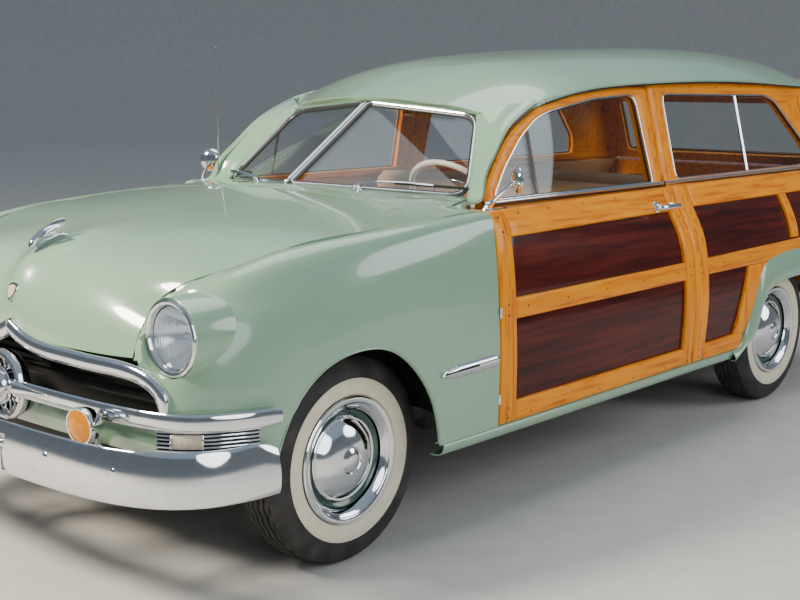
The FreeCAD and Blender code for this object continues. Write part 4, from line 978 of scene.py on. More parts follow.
@dataclass(frozen=True)
class Plank:
    """A member or board with rounded edges, laid on a form."""

    corners: tuple[Flat, Flat, Flat, Flat]
    grain: Grain = Grain.ALONG
    depth: float = 50.0
    radius: float = 5.0
    sink: float = 0.0
    spacing: float = 45.0

    def lay(self, shape: Shape, place: Placer, mark: int | None = None) -> None:
        """Add the plank to a shape.

        Args:
            shape: Takes the faces.
            place: Puts flat points on the form.
            mark: The finish, if it isn't picked by the grain.
        """
        corners = np.array(self.corners, float)
        middle = corners.mean(axis=0)
        corners += (middle - corners) / np.linalg.norm(middle - corners, axis=1)[:, None] * 0.4
        a, b, c, d = corners
        length_u = (np.linalg.norm(b - a) + np.linalg.norm(c - d)) / 2
        length_v = (np.linalg.norm(d - a) + np.linalg.norm(c - b)) / 2
        u, fall_u = rim_stations(length_u, (self.radius, self.radius), self.spacing)
        v, fall_v = rim_stations(length_v, (self.radius, self.radius), self.spacing)
        u, v = u[:, None, None], v[None, :, None]
        flat = a * (1 - u) * (1 - v) + b * u * (1 - v) + c * u * v + d * (1 - u) * v
        fall = np.minimum(np.hypot(fall_u[:, None], fall_v[None, :]), self.radius * 1.2)
        loose = flat.reshape(-1, 2)
        face = place(loose, self.sink + fall.ravel()).reshape(*fall.shape, 3)
        back = place(loose, np.full(len(loose), self.sink + self.depth)).reshape(*fall.shape, 3)
        finish = self.grain.value if mark is None else mark
        shape.grid(face, finish)
        shape.grid(back, finish)
        for edge in (np.s_[0, :], np.s_[-1, :], np.s_[:, 0], np.s_[:, -1]):
            shape.grid(np.stack([face[edge], back[edge]]), finish)


def upright_box(
    x_low: float, x_high: float, z_low: float, z_high: float
) -> tuple[Flat, Flat, Flat, Flat]:
    """Return the corners of an upright rectangle for a plank."""
    return (x_low, z_low), (x_high, z_low), (x_high, z_high), (x_low, z_high)


def ray_reach(loop: np.ndarray, centre: np.ndarray, angles: np.ndarray) -> np.ndarray:
    """Return where rays from a centre meet a closed outline."""
    ways = np.column_stack([np.cos(angles), np.sin(angles)])
    best = np.zeros(len(angles))
    for start, stop in zip(loop, np.roll(loop, -1, axis=0)):
        edge = stop - start
        bottom = ways[:, 0] * edge[1] - ways[:, 1] * edge[0]
        bottom = np.where(np.abs(bottom) < 1e-9, 1e-9, bottom)
        apart = start - centre
        far = (apart[0] * edge[1] - apart[1] * edge[0]) / bottom
        along = (apart[0] * ways[:, 1] - apart[1] * ways[:, 0]) / bottom
        hit = (along >= -1e-6) & (along <= 1 + 1e-6) & (far > best)
        best = np.where(hit, far, best)
    return centre + ways * best[:, None]


@dataclass(frozen=True)
class RingFrame:
    """A window frame between two outlines, its edges rounded."""

    outer: np.ndarray
    inner: np.ndarray
    centre: Flat
    depth: float = 40.0
    radius: float = 6.0
    sink: float = 0.0

    def matched(self) -> tuple[np.ndarray, np.ndarray]:
        """Return both outlines read along the same rays."""
        centre = np.array(self.centre, float)
        corners = np.vstack([self.outer, self.inner]) - centre
        angles = np.concatenate(
            [np.arctan2(corners[:, 1], corners[:, 0]), np.linspace(-math.pi, math.pi, 120)]
        )
        angles = np.unique(np.round(angles, 3))[:-1]
        return ray_reach(self.outer, centre, angles), ray_reach(self.inner, centre, angles)

    def lay(self, shape: Shape, place: Placer, mark: int | None = None) -> None:
        """Add the frame to a shape; the grain follows each stretch unless a mark is given."""
        outer, inner = self.matched()
        width = float(np.linalg.norm(outer - inner, axis=1).min())
        share, fall = rim_stations(width, (self.radius, self.radius), width / 3)
        flat = (
            outer[:, None, :] * (1 - share[None, :, None])
            + inner[:, None, :] * share[None, :, None]
        )
        falls = np.broadcast_to(fall, flat.shape[:2])
        loose = flat.reshape(-1, 2)
        face = place(loose, self.sink + falls.ravel()).reshape(*falls.shape, 3)
        back = place(loose, np.full(len(loose), self.sink + self.depth)).reshape(*falls.shape, 3)
        for index in range(len(outer)):
            after = (index + 1) % len(outer)
            run = outer[after] - outer[index] + inner[after] - inner[index]
            grain = Grain.ALONG if abs(run[0]) > abs(run[1]) * 1.2 else Grain.UPRIGHT
            finish = grain.value if mark is None else mark
            both = [index, after]
            shape.grid(face[both], finish)
            shape.grid(back[both], finish)
            for column in (0, -1):
                shape.grid(np.stack([face[both, column], back[both, column]]), finish)


def bead(
    shape: Shape, loop: np.ndarray, place: Placer, section: Sequence[Flat], sink: float,
    mark: int = 0
) -> None:
    """Run a section round a closed outline on a form."""
    closed = np.vstack([loop, loop[:2]])
    path = place(closed, np.full(len(closed), sink))
    above = place(closed, np.full(len(closed), sink - 1.0))
    shape.swept(path, section, above - path, mark, caps=False)


def oval(out: float, side: float, sides: int = 12) -> list[Flat]:
    """Return an oval section from its two half widths."""
    turn = 2 * math.pi / sides
    return [(out * math.cos(turn * i), side * math.sin(turn * i)) for i in range(sides)]


def stud(
    shape: Shape, at: Sequence[float], normal: Point, radius: float, height: float, mark: int
) -> None:
    """Add a small domed screw head or button."""
    profile = (
        (-2.0, 0.0), (-2.0, radius), (0.0, radius), (height * 0.7, radius * 0.7), (height, 0.0)
    )
    shape.turned(profile, tuple(at), normal, 10, mark)


def prism(outline: Sequence[Flat], y_low: float, y_high: float) -> Shape:
    """Return a closed (x, z) outline drawn out between two y values."""
    return Shape().capped(
        np.array([[(x, y, z) for x, z in outline] for y in (y_low, y_high)], float)
    )


ARCH_FRONT = (
    # along from the axle, z
    (396, 389), (358, 529), (298, 621), (195, 692), (67, 717), (-67, 696), (-184, 613), (-273, 483),
    (-309, 325),
)
ARCH_REAR = (
    # lip: along from the axle and z, rim: along and z
    (592, 296, 600, 340),
    (558, 320, 547, 352),
    (441, 390, 472, 460),
    (391, 487, 409, 591),
    (341, 549, 353, 683),
    (267, 587, 244, 722),
    (107, 610, 110, 735),
    (0, 613, 0, 737),
)
FRONT_X = End.FRONT.value
REAR_X = End.REAR.value


def rear_arch_rows() -> list[tuple[Flat, Flat]]:
    """Return the rear arch's lip and rim points from front to back."""
    front = [((REAR_X + a, b), (REAR_X + c, d)) for a, b, c, d in ARCH_REAR]
    back = [((REAR_X - a, b), (REAR_X - c, d)) for a, b, c, d in reversed(ARCH_REAR[:-1])]
    return front + back


def rear_arch_cutter() -> Shape:
    """Return the room that the rear arch takes out of the wooden side."""
    rim = smooth_line([rim for _, rim in rear_arch_rows()], 4)
    return prism([*map(tuple, rim), (rim[-1][0], 100), (rim[0][0], 100)], 560, 1000)


@dataclass
class Assembly:
    """A group of pieces that is built and dressed together."""

    def build(self) -> None:
        """Make every piece of the group."""
        raise NotImplementedError


@dataclass
class SidedAssembly(Assembly):
    """A group that is made once for each side of the car."""

    side: Side

    def fit(
        self, name: str, shape: Shape, finishes: Sequence[Finish], body: str, slot: str,
        replaces: Sequence[str] = (), cutters: Sequence[Shape] = (),
    ) -> None:
        """Make one piece on this side; shape and cutters come as they are on the left.

        Args:
            name: The piece's name without its side.
            shape: Its points and faces.
            finishes: Its finishes, in the order of the shape's marks.
            body: The CAD body that it rides on.
            slot: Not used.
            replaces: CAD nodes that it stands for.
            cutters: Closed shapes whose room is taken out of it.
        """
        tools = [cutter.on_side(self.side) for cutter in cutters]
        own_name = f"{name}_{self.side.word}"
        piece(own_name, shape.on_side(self.side), finishes, body, replaces, cutters=tools)

    def shared(self, node: str) -> tuple[str, ...]:
        """Return a CAD node that spans both sides, for the left piece to stand for."""
        return (node,) if self.side is Side.LEFT else ()


def lay_planks(
    shape: Shape,
    place: Placer,
    many: Sequence[Sequence[Flat]],
    grain: Grain,
    mark: int | None = None,
) -> None:
    """Lay frame members of the usual thickness on a form."""
    for corners in many:
        Plank(corners, grain, MEMBER_DEPTH, MEMBER_RADIUS).lay(shape, place, mark)


def belt_strip(
    shape: Shape, start: float, stop: float, count: int, z: float, section: Sequence[Flat],
    mark: int
) -> None:
    """Run a strip along the belt on the plane of the windows."""
    path = np.column_stack([np.linspace(start, stop, count), np.full(count, z)])
    shape.swept(window_plane(path, np.full(count, -1.0)), section, (0, 0.97, 0.23), mark)


def panel_screws(
    shape: Shape, place: Placer, places: Sequence[Flat], mark: int, radius: float = 4.5
) -> None:
    """Set small screw heads on a form, each at an (x, z) place."""
    for spot in places:
        flat_spot = np.array([spot], float)
        low = place(flat_spot, np.array([0.0]))[0]
        high = place(flat_spot, np.array([-1.0]))[0]
        stud(shape, low, tuple(high - low), radius, 1.2, mark)


# Wooden body


@dataclass
class WoodDoor(SidedAssembly):
    """A door: maple frame, mahogany boards, window ring, card, handle, mirror and hinges."""

    rear_x: float = -278.0
    front_x: float = 1038.0
    stile_rear_x: float = -205.0
    stile_front_x: float = 947.0
    board_levels: tuple[Flat, Flat] = ((417.0, 704.0), (777.0, 986.0))
    low_z: float = 345.0
    high_z: float = 1078.0
    board_sink: float = 14.0
    window: tuple[Flat, ...] = (
        (930, 1083), (880, 1160), (810, 1233), (740, 1296), (663, 1346),
        (487, 1418), (227, 1462), (-90, 1487), (-278, 1490), (-278, 1083),
    )
    glass: tuple[Flat, ...] = (
        (862, 1100), (770, 1200), (640, 1308), (524, 1372), (430, 1396),
        (121, 1438), (-140, 1450), (-175, 1430), (-200, 1110), (-200, 1100),
    )

    def build(self) -> None:
        """Make the door's pieces for its side."""
        name = self.side.word
        body = f"door_{name}"
        wood = (*MAPLE, DARK_SCREW)
        self.fit("door_wood", self.members(), wood, body, "maple", (f"door_frame_{name}",))
        self.fit(
            "door_panels", self.boards(), (MAHOGANY,), body, "mahogany", (f"door_boards_{name}",)
        )
        self.fit("door_card", self.card(), (TAN_HIDE, PLATED), body, "seat_cloth")
        self.fit("door_bright", self.bright(), (PLATED, SHADOW), body, "bright_metal")
        self.fit("door_mirror", self.mirror(), (PLATED, MIRROR_SILVER), body, "bright_metal")
        self.fit("door_seals", self.seals(), (BLACK_RUBBER,), body, "dark_steel")
        dress_node(f"door_glass_{name}", CLEAR_PANE)

    def members(self) -> Shape:
        """Return the rails, stiles and window ring."""
        shape = Shape()
        low_board, high_board = self.board_levels
        spans = (
            (self.low_z, low_board[0]), (low_board[1], high_board[0]), (high_board[1], self.high_z)
        )
        rails = [upright_box(self.stile_rear_x, self.stile_front_x, *span) for span in spans]
        ends = ((self.rear_x, self.stile_rear_x), (self.stile_front_x, self.front_x))
        stiles = [upright_box(*end, self.low_z, self.high_z) for end in ends]
        lay_planks(shape, SIDE_FORM.place, rails, Grain.ALONG)
        lay_planks(shape, SIDE_FORM.place, stiles, Grain.UPRIGHT)
        RingFrame(
            rounded(self.window, 40, 6), rounded(self.glass, 34, 6), (320, 1260), 40, 8
        ).lay(shape, window_plane)
        ledge = [(-6, -22), (22, -22), (22, 16), (16, 22), (0, 22), (-6, 16)]
        shape.swept(
            np.array([(-252, 714, 1078), (924, 714, 1078)]), [(b * 0.5, a) for a, b in ledge],
            (0, 0, 1), 0
        )
        spots = [(x, z) for x in (-243, 992) for z in (362, 398, 722, 758, 1006, 1054)]
        spots += [(x, z) for x in (-60, 180, 420, 660, 860) for z in (364, 1060)]
        spots += [(x, 742) for x in (-140, 120, 380, 640, 880)]
        panel_screws(shape, SIDE_FORM.place, spots, 2)
        return shape

    def boards(self) -> Shape:
        """Return the two boards behind the frame."""
        shape = Shape()
        for low, high in self.board_levels:
            corners = upright_box(
                self.stile_rear_x - 12, self.stile_front_x + 12, low - 12, high + 12
            )
            Plank(corners, Grain.ALONG, 12, 1.5, self.board_sink).lay(shape, SIDE_FORM.place)
        return shape

    def card(self) -> Shape:
        """Return the padded card inside, with its window winder and pull."""
        shape = Shape()
        Plank(upright_box(-232, 1008, 372, 1052), Grain.ALONG, 14, 9).lay(shape, inner_wall, 0)
        for z in (560, 900):
            Plank(upright_box(-225, 1000, z - 5, z + 5), Grain.ALONG, 6, 4, -3).lay(
                shape, inner_wall, 1
            )
        knob = inner_wall(np.array([[560.0, 800.0]]), np.array([0.0]))[0]
        shape.turned(((0, 0), (0, 26), (10, 22), (16, 10), (16, 0)), tuple(knob), (0, -1, 0), 20, 1)
        shape.rod([tuple(knob + (0, -14, 0)), tuple(knob + (60, -20, -70))], 7, 1, 10)
        return shape

    def bright(self) -> Shape:
        """Return the belt moulding with its painted shadow line, the handle, the hinges and the vent
        window's frame.
        """
        shape = Shape()
        # The lower strip, in shadow black, is painted shadow under the bright moulding.
        for (z, mark), stop, section in zip(BELT_LINES, (926, 932), (oval(6, 8), oval(3, 4, 8))):
            belt_strip(shape, self.rear_x + 3, stop, 24, z, section, mark)
        z = 1006.0
        grip = [
            (-92, 800, z - 4), (-92, 822, z), (-108, 836, z), (-150, 841, z), (-200, 842, z),
            (-244, 838, z)
        ]
        scales = np.interp(np.linspace(0, 1, 21), (0, 0.25, 0.6, 1), (0.8, 1.0, 1.05, 0.75))
        shape.swept(smooth_line(grip, 4), oval(7, 11), (0, 1, 0.2), 0, True, scales)
        foot = side_point(-108, z)
        shape.turned(
            ((-6, 0), (-6, 24), (2, 24), (9, 16), (12, 8), (12, 0)), foot, (0.1, 0.95, 0.3), 24, 0
        )
        lock = side_point(-228, z - 2)
        shape.turned(
            ((-6, 0), (-6, 14), (2, 14), (6, 10), (6, 4), (3, 3), (3, 0)), lock, (0.1, 0.95, 0.3),
            20, 0
        )
        for low in (420, 720):
            shape.rod([(1043, 905, low), (1043, 905, low + 34.7)], 4.5, 0, 12)
        post = np.column_stack(
            [np.array([590.0, 588.0, 586.0]), np.array([1096.0, 1210.0, 1336.0])]
        )
        shape.swept(window_plane(post, np.full(3, 14.0)), oval(8, 7, 10), (0, 1, 0.25), 0)
        bead(
            shape, inset_loop(rounded(self.glass, 34, 6), -3.0), window_plane, oval(3, 4, 8), 4.0, 0
        )
        return shape

    def seals(self) -> Shape:
        """Return the dark strip that the glass runs in."""
        shape = Shape()
        bead(
            shape, inset_loop(rounded(self.glass, 34, 6), -1.0), window_plane, oval(6, 5, 8), 16.0,
            0
        )
        return shape

    def mirror(self) -> Shape:
        """Return the round mirror on its bent arm."""
        shape = Shape()
        arm = [
            (936, 768, 1078), (928, 778, 1098), (902, 794, 1126), (872, 806, 1150), (856, 813, 1164)
        ]
        shape.swept(
            smooth_line(arm, 4), oval(6, 8, 10), (0, 1, 0.3), 0, True, np.linspace(1.25, 0.8, 17)
        )
        shape.turned(
            ((0, 0), (0, 22), (5, 19), (9, 10), (9, 0)), (938, 764, 1070), (0.2, 0.7, 0.7), 24, 0
        )
        facing = (-0.82, 0.57, 0.0)
        head = ((-14, 0), (-13, 20), (-8, 36), (0, 46), (5, 48), (9, 47), (9, 43), (6, 42))
        shape.turned(head, (849, 817, 1170), facing, 40, 0)
        shape.turned(((6, 42), (7, 20), (7.5, 0)), (849, 817, 1170), facing, 40, 1)
        return shape


@dataclass
class WoodSide(SidedAssembly):
    """The fixed rear side: maple members round two upper and two lower boards and a window."""

    window: tuple[Flat, ...] = (
        (-284, 1083), (-284, 1508), (-700, 1518), (-1200, 1512), (-1550, 1496), (-1866, 1484),
        (-2128, 1083),
    )
    glass: tuple[Flat, ...] = (
        (-396, 1104), (-396, 1440), (-430, 1450), (-1330, 1436), (-1421, 1410), (-1665, 1201),
        (-1700, 1104),
    )
    upright_members: tuple[tuple[Flat, Flat, Flat, Flat], ...] = (
        ((-284, 345), (-383, 345), (-404, 1078), (-284, 1078)),
        ((-1200, 790), (-1268, 790), (-1268, 990), (-1200, 990)),
        ((-640, 412), (-752, 708), (-930, 708), (-730, 412)),
        ((-1550, 708), (-1718, 708), (-1816, 420), (-1720, 420)),
        ((-2163, 345), (-2299, 345), (-2152, 990), (-2030, 990)),
    )
    long_members: tuple[tuple[Flat, Flat, Flat, Flat], ...] = (
        ((-404, 990), (-2152, 990), (-2132, 1078), (-404, 1078)),
        ((-394, 708), (-2089, 708), (-2066, 790), (-396, 777)),
        ((-383, 345), (-720, 345), (-720, 416), (-385, 412)),
        ((-1740, 345), (-2163, 345), (-2147, 425), (-1740, 420)),
    )
    board_corners: tuple[tuple[Flat, Flat, Flat, Flat], ...] = (
        ((-375, 768), (-1212, 778), (-1212, 1000), (-375, 1000)),
        ((-1256, 778), (-2080, 778), (-2035, 1000), (-1256, 1000)),
        ((-372, 402), (-720, 402), (-800, 718), (-372, 718)),
        ((-1740, 408), (-2168, 408), (-2088, 718), (-1640, 718)),
    )

    def build(self) -> None:
        """Make the side's pieces."""
        arch = (rear_arch_cutter(),)
        wood, boards = self.shared("body_frame"), self.shared("side_boards")
        self.fit("side_wood", self.members(), MAPLE, "shell", "maple", wood, arch)
        self.fit("side_panels", self.boards(), (MAHOGANY,), "shell", "mahogany", boards, arch)
        self.fit("side_window", self.window_ring(), (*MAPLE, DARK_SCREW), "shell", "maple")
        self.fit("side_card", self.card(), (TAN_HIDE,), "shell", "seat_cloth", cutters=arch)
        self.fit("side_bright", self.bright(), (PLATED, SHADOW), "shell", "bright_metal")

    def members(self) -> Shape:
        """Return the rails and stiles below the belt."""
        shape = Shape()
        lay_planks(shape, SIDE_FORM.place, self.long_members, Grain.ALONG)
        lay_planks(shape, SIDE_FORM.place, self.upright_members, Grain.UPRIGHT)
        return shape

    def boards(self) -> Shape:
        """Return the boards behind the members."""
        shape = Shape()
        for corners in self.board_corners:
            Plank(corners, Grain.ALONG, 12, 1.5, 14).lay(shape, SIDE_FORM.place)
        return shape

    def window_ring(self) -> Shape:
        """Return the window ring, the tail posts and the screws."""
        shape = Shape()
        RingFrame(
            rounded(self.window, 30, 6), rounded(self.glass, 34, 6), (-1000, 1280), 40, 8
        ).lay(shape, window_plane)
        posts = (
            ((664, 432), (798, 432), (734, 1060), (662, 1060)),
            ((648, 1066), (728, 1066), (632, 1474), (584, 1474)),
        )
        for corners in posts:
            Plank(corners, Grain.UPRIGHT, 44, 8).lay(shape, tail_plane)
        ledges = (
            (
                (-2236, 0, 448), (-2236, 694, 448),
                [(-18, -36), (18, -36), (18, 30), (12, 36), (-18, 36)]
            ),
            (
                (-1842, 0, 1491), (-1842, 606, 1491),
                [(-18, -26), (18, -26), (18, 20), (12, 26), (-18, 26)]
            ),
            (
                (-290, 716, 1078), (-2122, 706, 1078),
                [(-12, -24), (12, -24), (12, 20), (6, 24), (-12, 24)]
            ),
        )
        for start, stop, section in ledges:
            shape.swept(np.array([start, stop]), section, (0, 0, 1), 0)
        spots = [(-334, z) for z in (362, 398, 722, 758, 1006, 1054)]
        spots += [(x, 1060) for x in range(-560, -2100, -280)]
        spots += [(-1234, z) for z in (810, 970)]
        spots += [(x, 748) for x in (-520, -760, -1860, -2020)]
        panel_screws(shape, SIDE_FORM.place, spots, 2)
        panel_screws(shape, window_plane, [(x, 1478) for x in range(-400, -1800, -230)], 2)
        return shape

    def card(self) -> Shape:
        """Return the lining inside."""
        shape = Shape()
        Plank(((-296, 420), (-2120, 600), (-2080, 1050), (-296, 1050)), Grain.ALONG, 12, 8).lay(
            shape, inner_wall, 0
        )
        return shape

    def bright(self) -> Shape:
        """Return the belt moulding with its painted shadow line, and the window's bead."""
        shape = Shape()
        # The lower strip, in shadow black, is painted shadow under the bright moulding.
        for (z, mark), section in zip(BELT_LINES, (oval(6, 8), oval(3, 4, 8))):
            belt_strip(shape, -287, -2118, 30, z, section, mark)
        bead(
            shape, inset_loop(rounded(self.glass, 34, 6), -3.0), window_plane, oval(3, 4, 8), 4.0, 0
        )
        bead(
            shape, inset_loop(rounded(self.glass, 34, 6), -1.0), window_plane, oval(6, 5, 8), 16.0,
            1
        )
        divider = np.array([(-1040.0, 1100.0), (-1040.0, 1270.0), (-1040.0, 1446.0)])
        shape.swept(window_plane(divider, np.full(3, 12.0)), oval(8, 8, 10), (0, 1, 0.25), 0)
        return shape


@dataclass
class Tail(Assembly):
    """The two halves that open at the back: the wooden tailgate and the glazed liftgate."""

    half: float = 655.5
    gate_levels: Flat = (483.0, 1055.0)
    light_levels: Flat = (560.0, 975.0)
    stile: float = 85.0
    lift_levels: Flat = (1066.0, 1461.0)
    lift_light: Flat = (1124.0, 1408.0)
    lift_stile: float = 74.0

    def build(self) -> None:
        """Make both gates."""
        piece(
            "tailgate_wood", self.gate_members(), (*MAPLE, DARK_SCREW), "tailgate",
            ("tailgate_frame",)
        )
        piece(
            "tailgate_panel", self.gate_board(), (MAHOGANY,), "tailgate",
            ("tailgate_boards",)
        )
        piece("tailgate_bright", self.gate_bright(), (PLATED,), "tailgate")
        piece("liftgate_wood", self.lift_ring(), MAPLE, "liftgate", ("liftgate_frame",))
        piece("liftgate_bright", self.lift_bright(), (PLATED, SHADOW), "liftgate")
        dress_node("liftgate_glass", CLEAR_PANE)

    @staticmethod
    def place(points: np.ndarray, drop: np.ndarray) -> np.ndarray:
        """Put (y, z) points on the gates, which lie 4 mm in front of the tail posts' face."""
        return tail_plane(points, drop) + np.array([4.0, 0.0, 0.0])

    def gate_members(self) -> Shape:
        """Return the tailgate's frame with a centre stile."""
        shape = Shape()
        low, high = self.gate_levels
        light_low, light_high = self.light_levels
        inner = self.half - self.stile
        rails = [
            upright_box(-inner, inner, *span) for span in ((low, light_low), (light_high, high))
        ]
        stiles = [
            upright_box(*span, low, high) for span in ((-self.half, -inner), (inner, self.half))
        ]
        lay_planks(shape, self.place, rails, Grain.ALONG, 0)
        lay_planks(shape, self.place, stiles, Grain.UPRIGHT)
        Plank(
            upright_box(-34, 34, light_low, light_high), Grain.UPRIGHT, 22, 6
        ).lay(shape, self.place)
        spots = [(y, z) for y in (-610, 610) for z in (506, 540, 990, 1034)]
        panel_screws(shape, self.place, spots, 2)
        return shape

    def gate_board(self) -> Shape:
        """Return the boards behind the frame."""
        shape = Shape()
        inner = self.half - self.stile + 12
        Plank(
            upright_box(-inner, inner, self.light_levels[0] - 12, self.light_levels[1] + 12),
            Grain.ALONG, 14, 2, 16
        ).lay(shape, self.place, 0)
        return shape

    def gate_bright(self) -> Shape:
        """Return the handle and the hinges."""
        shape = Shape()
        pivot = self.place(np.array([[0.0, 1014.0]]), np.array([0.0]))[0]
        shape.turned(
            ((-4, 0), (-4, 30), (3, 30), (14, 16), (26, 12), (30, 0)), tuple(pivot), (-1, 0, 0.25),
            28, 0
        )
        reach = pivot + np.array([-24.0, 0.0, 6.0])
        shape.swept(
            smooth_line([reach, reach + (-4, 50, 0), reach + (0, 104, -4)], 5), oval(7, 9),
            (-1, 0, 0.2), 0
        )
        for sign in (1, -1):
            hinge = tail_x(474.0)
            shape.rod([(hinge, sign * 462, 474), (hinge, sign * 498, 474)], 4.5, 0, 12)
            plate = upright_box(sign * 480 - 26, sign * 480 + 26, 486, 520)
            Plank(plate, Grain.ALONG, 6, 2, -3).lay(shape, self.place, 0)
        return shape

    def lift_half(self, z: float) -> float:
        """Return the liftgate's half width at a height."""
        low, high = 1064.0, 1462.0
        return (self.half - 15) * (1 - 0.1 * (z - low) / (high - low))

    def light_corners(self) -> list[Flat]:
        """Return the corners of the liftgate's opening."""
        low, high = self.lift_light
        wide, narrow = (self.lift_half(z) - self.lift_stile for z in (low, high))
        return [(-wide, low), (wide, low), (narrow, high), (-narrow, high)]

    def lift_ring(self) -> Shape:
        """Return the liftgate's frame."""
        shape = Shape()
        low, high = self.lift_levels
        wide, narrow = self.lift_half(low), self.lift_half(high)
        outer = [(-wide, low), (wide, low), (narrow, high), (-narrow, high)]
        RingFrame(
            rounded(outer, 16), rounded(self.light_corners(), 26), (0, 1262), 38, 8
        ).lay(shape, self.place)
        return shape

    def lift_bright(self) -> Shape:
        """Return the glass bead and the liftgate's handle."""
        shape = Shape()
        loop = rounded(self.light_corners(), 26, 6)
        bead(shape, loop, self.place, oval(3, 4, 8), 4.0, 0)
        bead(shape, loop, self.place, oval(6, 5, 8), 16.0, 1)
        middle = self.place(np.array([[0.0, 1094.0]]), np.array([0.0]))[0]
        shape.turned(
            ((-4, 0), (-4, 18), (3, 18), (12, 10), (14, 0)), tuple(middle), (-1, 0, 0.5), 24, 0
        )
        for sign in (1, -1):
            hinge = tail_x(1470.0) - 2
            shape.rod([(hinge, sign * 342, 1470), (hinge, sign * 378, 1470)], 4.5, 0, 12)
        return shape


@dataclass
class RearWing(SidedAssembly):
    """A green wing that flares out of the wood round the rear wheel."""

    flare: float = 17.0
    lip_depth: float = 26.0

    def build(self) -> None:
        """Make the wing."""
        rows = []
        for (lip_x, lip_z), (rim_x, rim_z) in rear_arch_rows():
            rim_y = float(
                SIDE_FORM.half_width(np.array([rim_x]), np.array([max(rim_z, 345.0)]))[0]
            ) + 2
            lip_y = rim_y + self.flare
            reach_x, reach_z = lip_x - rim_x, lip_z - rim_z
            rows.append(
                [
                    (rim_x, rim_y - 16, rim_z),
                    (rim_x, rim_y - 2, rim_z),
                    (rim_x + reach_x * 0.16, rim_y + 6, rim_z + reach_z * 0.16),
                    (rim_x + reach_x * 0.5, lip_y - 1, rim_z + reach_z * 0.5),
                    (rim_x + reach_x * 0.85, lip_y + 1, rim_z + reach_z * 0.85),
                    (lip_x, lip_y - 3, lip_z),
                    (lip_x, lip_y - self.lip_depth, lip_z),
                ]
            )
        grid = smooth_grid(rows, 5, (), (1, 5))
        shape = Shape().panel(grid, 5.0, (REAR_X, 0, 300), 0, 1)
        green = (BODY_GREEN, UNDERSEAL)
        self.fit("rear_wing", shape, green, "shell", "green_paint", self.shared("rear_fenders"))


# Steel body

FENDER_ROWS = (
    (
        (2192, 630, 926), (2166, 656, 946), (2112, 676, 966), (2050, 700, 983), (1950, 728, 1012),
        (1800, 762, 1034), (1580, 790, 1052), (1320, 804, 1066), (1048, 808, 1075),
    ),
    (
        (2200, 622, 916), (2188, 672, 936), (2150, 712, 952), (2085, 752, 976), (1975, 784, 1008),
        (1812, 812, 1034), (1585, 834, 1051), (1325, 848, 1064), (1048, 852, 1072),
    ),
    (
        (2209, 590, 899), (2208, 668, 902), (2184, 744, 908), (2112, 800, 914), (1985, 838, 932),
        (1815, 866, 958), (1590, 884, 980), (1328, 888, 990), (1048, 878, 992),
    ),
    (
        (2262, 583, 857), (2250, 672, 860), (2222, 758, 862), (2136, 822, 866), (1995, 862, 874),
        (1818, 888, 884), (1590, 899, 890), (1328, 898, 890), (1048, 891, 886),
    ),
    (
        (2300, 583, 804), (2292, 680, 804), (2262, 764, 802), (2160, 838, 800), (2005, 880, 800),
        (1820, 901, 800), (1592, 906, 800), (1330, 904, 800), (1048, 897, 800),
    ),
    (
        (2326, 600, 742), (2318, 690, 736), (2282, 770, 730), (2172, 845, 724), (2010, 886, 720),
        (1822, 905, 720), (1594, 908, 720), (1330, 907, 720), (1048, 902, 720),
    ),
    (
        (2330, 722, 640), (2316, 742, 640), (2282, 782, 640), (2176, 850, 640), (2012, 889, 640),
        (1824, 907, 640), (1595, 909, 640), (1330, 909, 640), (1048, 907, 640),
    ),
    (
        (2318, 738, 556), (2304, 754, 556), (2268, 788, 556), (2166, 850, 556), (2012, 888, 556),
        (1824, 906, 556), (1595, 908, 556), (1330, 908, 556), (1048, 907, 556),
    ),
    (
        (2288, 742, 470), (2272, 756, 470), (2236, 786, 470), (2146, 842, 462), (2006, 882, 440),
        (1824, 902, 400), (1595, 906, 350), (1330, 906, 342), (1048, 903, 342),
    ),
)
HOOD_SHARES = (1.0, 0.9, 0.74, 0.5, 0.27, 0.1, 0.0)
HOOD_PEAK = (0.0, 0.0, 0.0, 0.0, 0.02, 0.46, 1.0)
HOOD_ROWS = (
    # middle x and z, edge x y z, roundness in plan and in height, ridge height
    (2347, 735, 2322, 577, 741, 4, 4, 52),
    (2345, 803, 2298, 576, 804, 3, 3, 46),
    (2318, 880, 2262, 576, 857, 3, 3, 40),
    (2264, 952, 2207, 572, 902, 3, 3, 28),
    (2166, 1004, 2150, 640, 951, 2.4, 2.4, 14),
    (2020, 1038, 2020, 700, 986, 2.2, 2.2, 5),
    (1850, 1062, 1850, 744, 1030, 2.2, 2.2, 0),
    (1550, 1092, 1550, 785, 1054, 2.2, 2.2, 0),
    (1242, 1118, 1242, 798, 1069, 2.2, 2.2, 0),
)


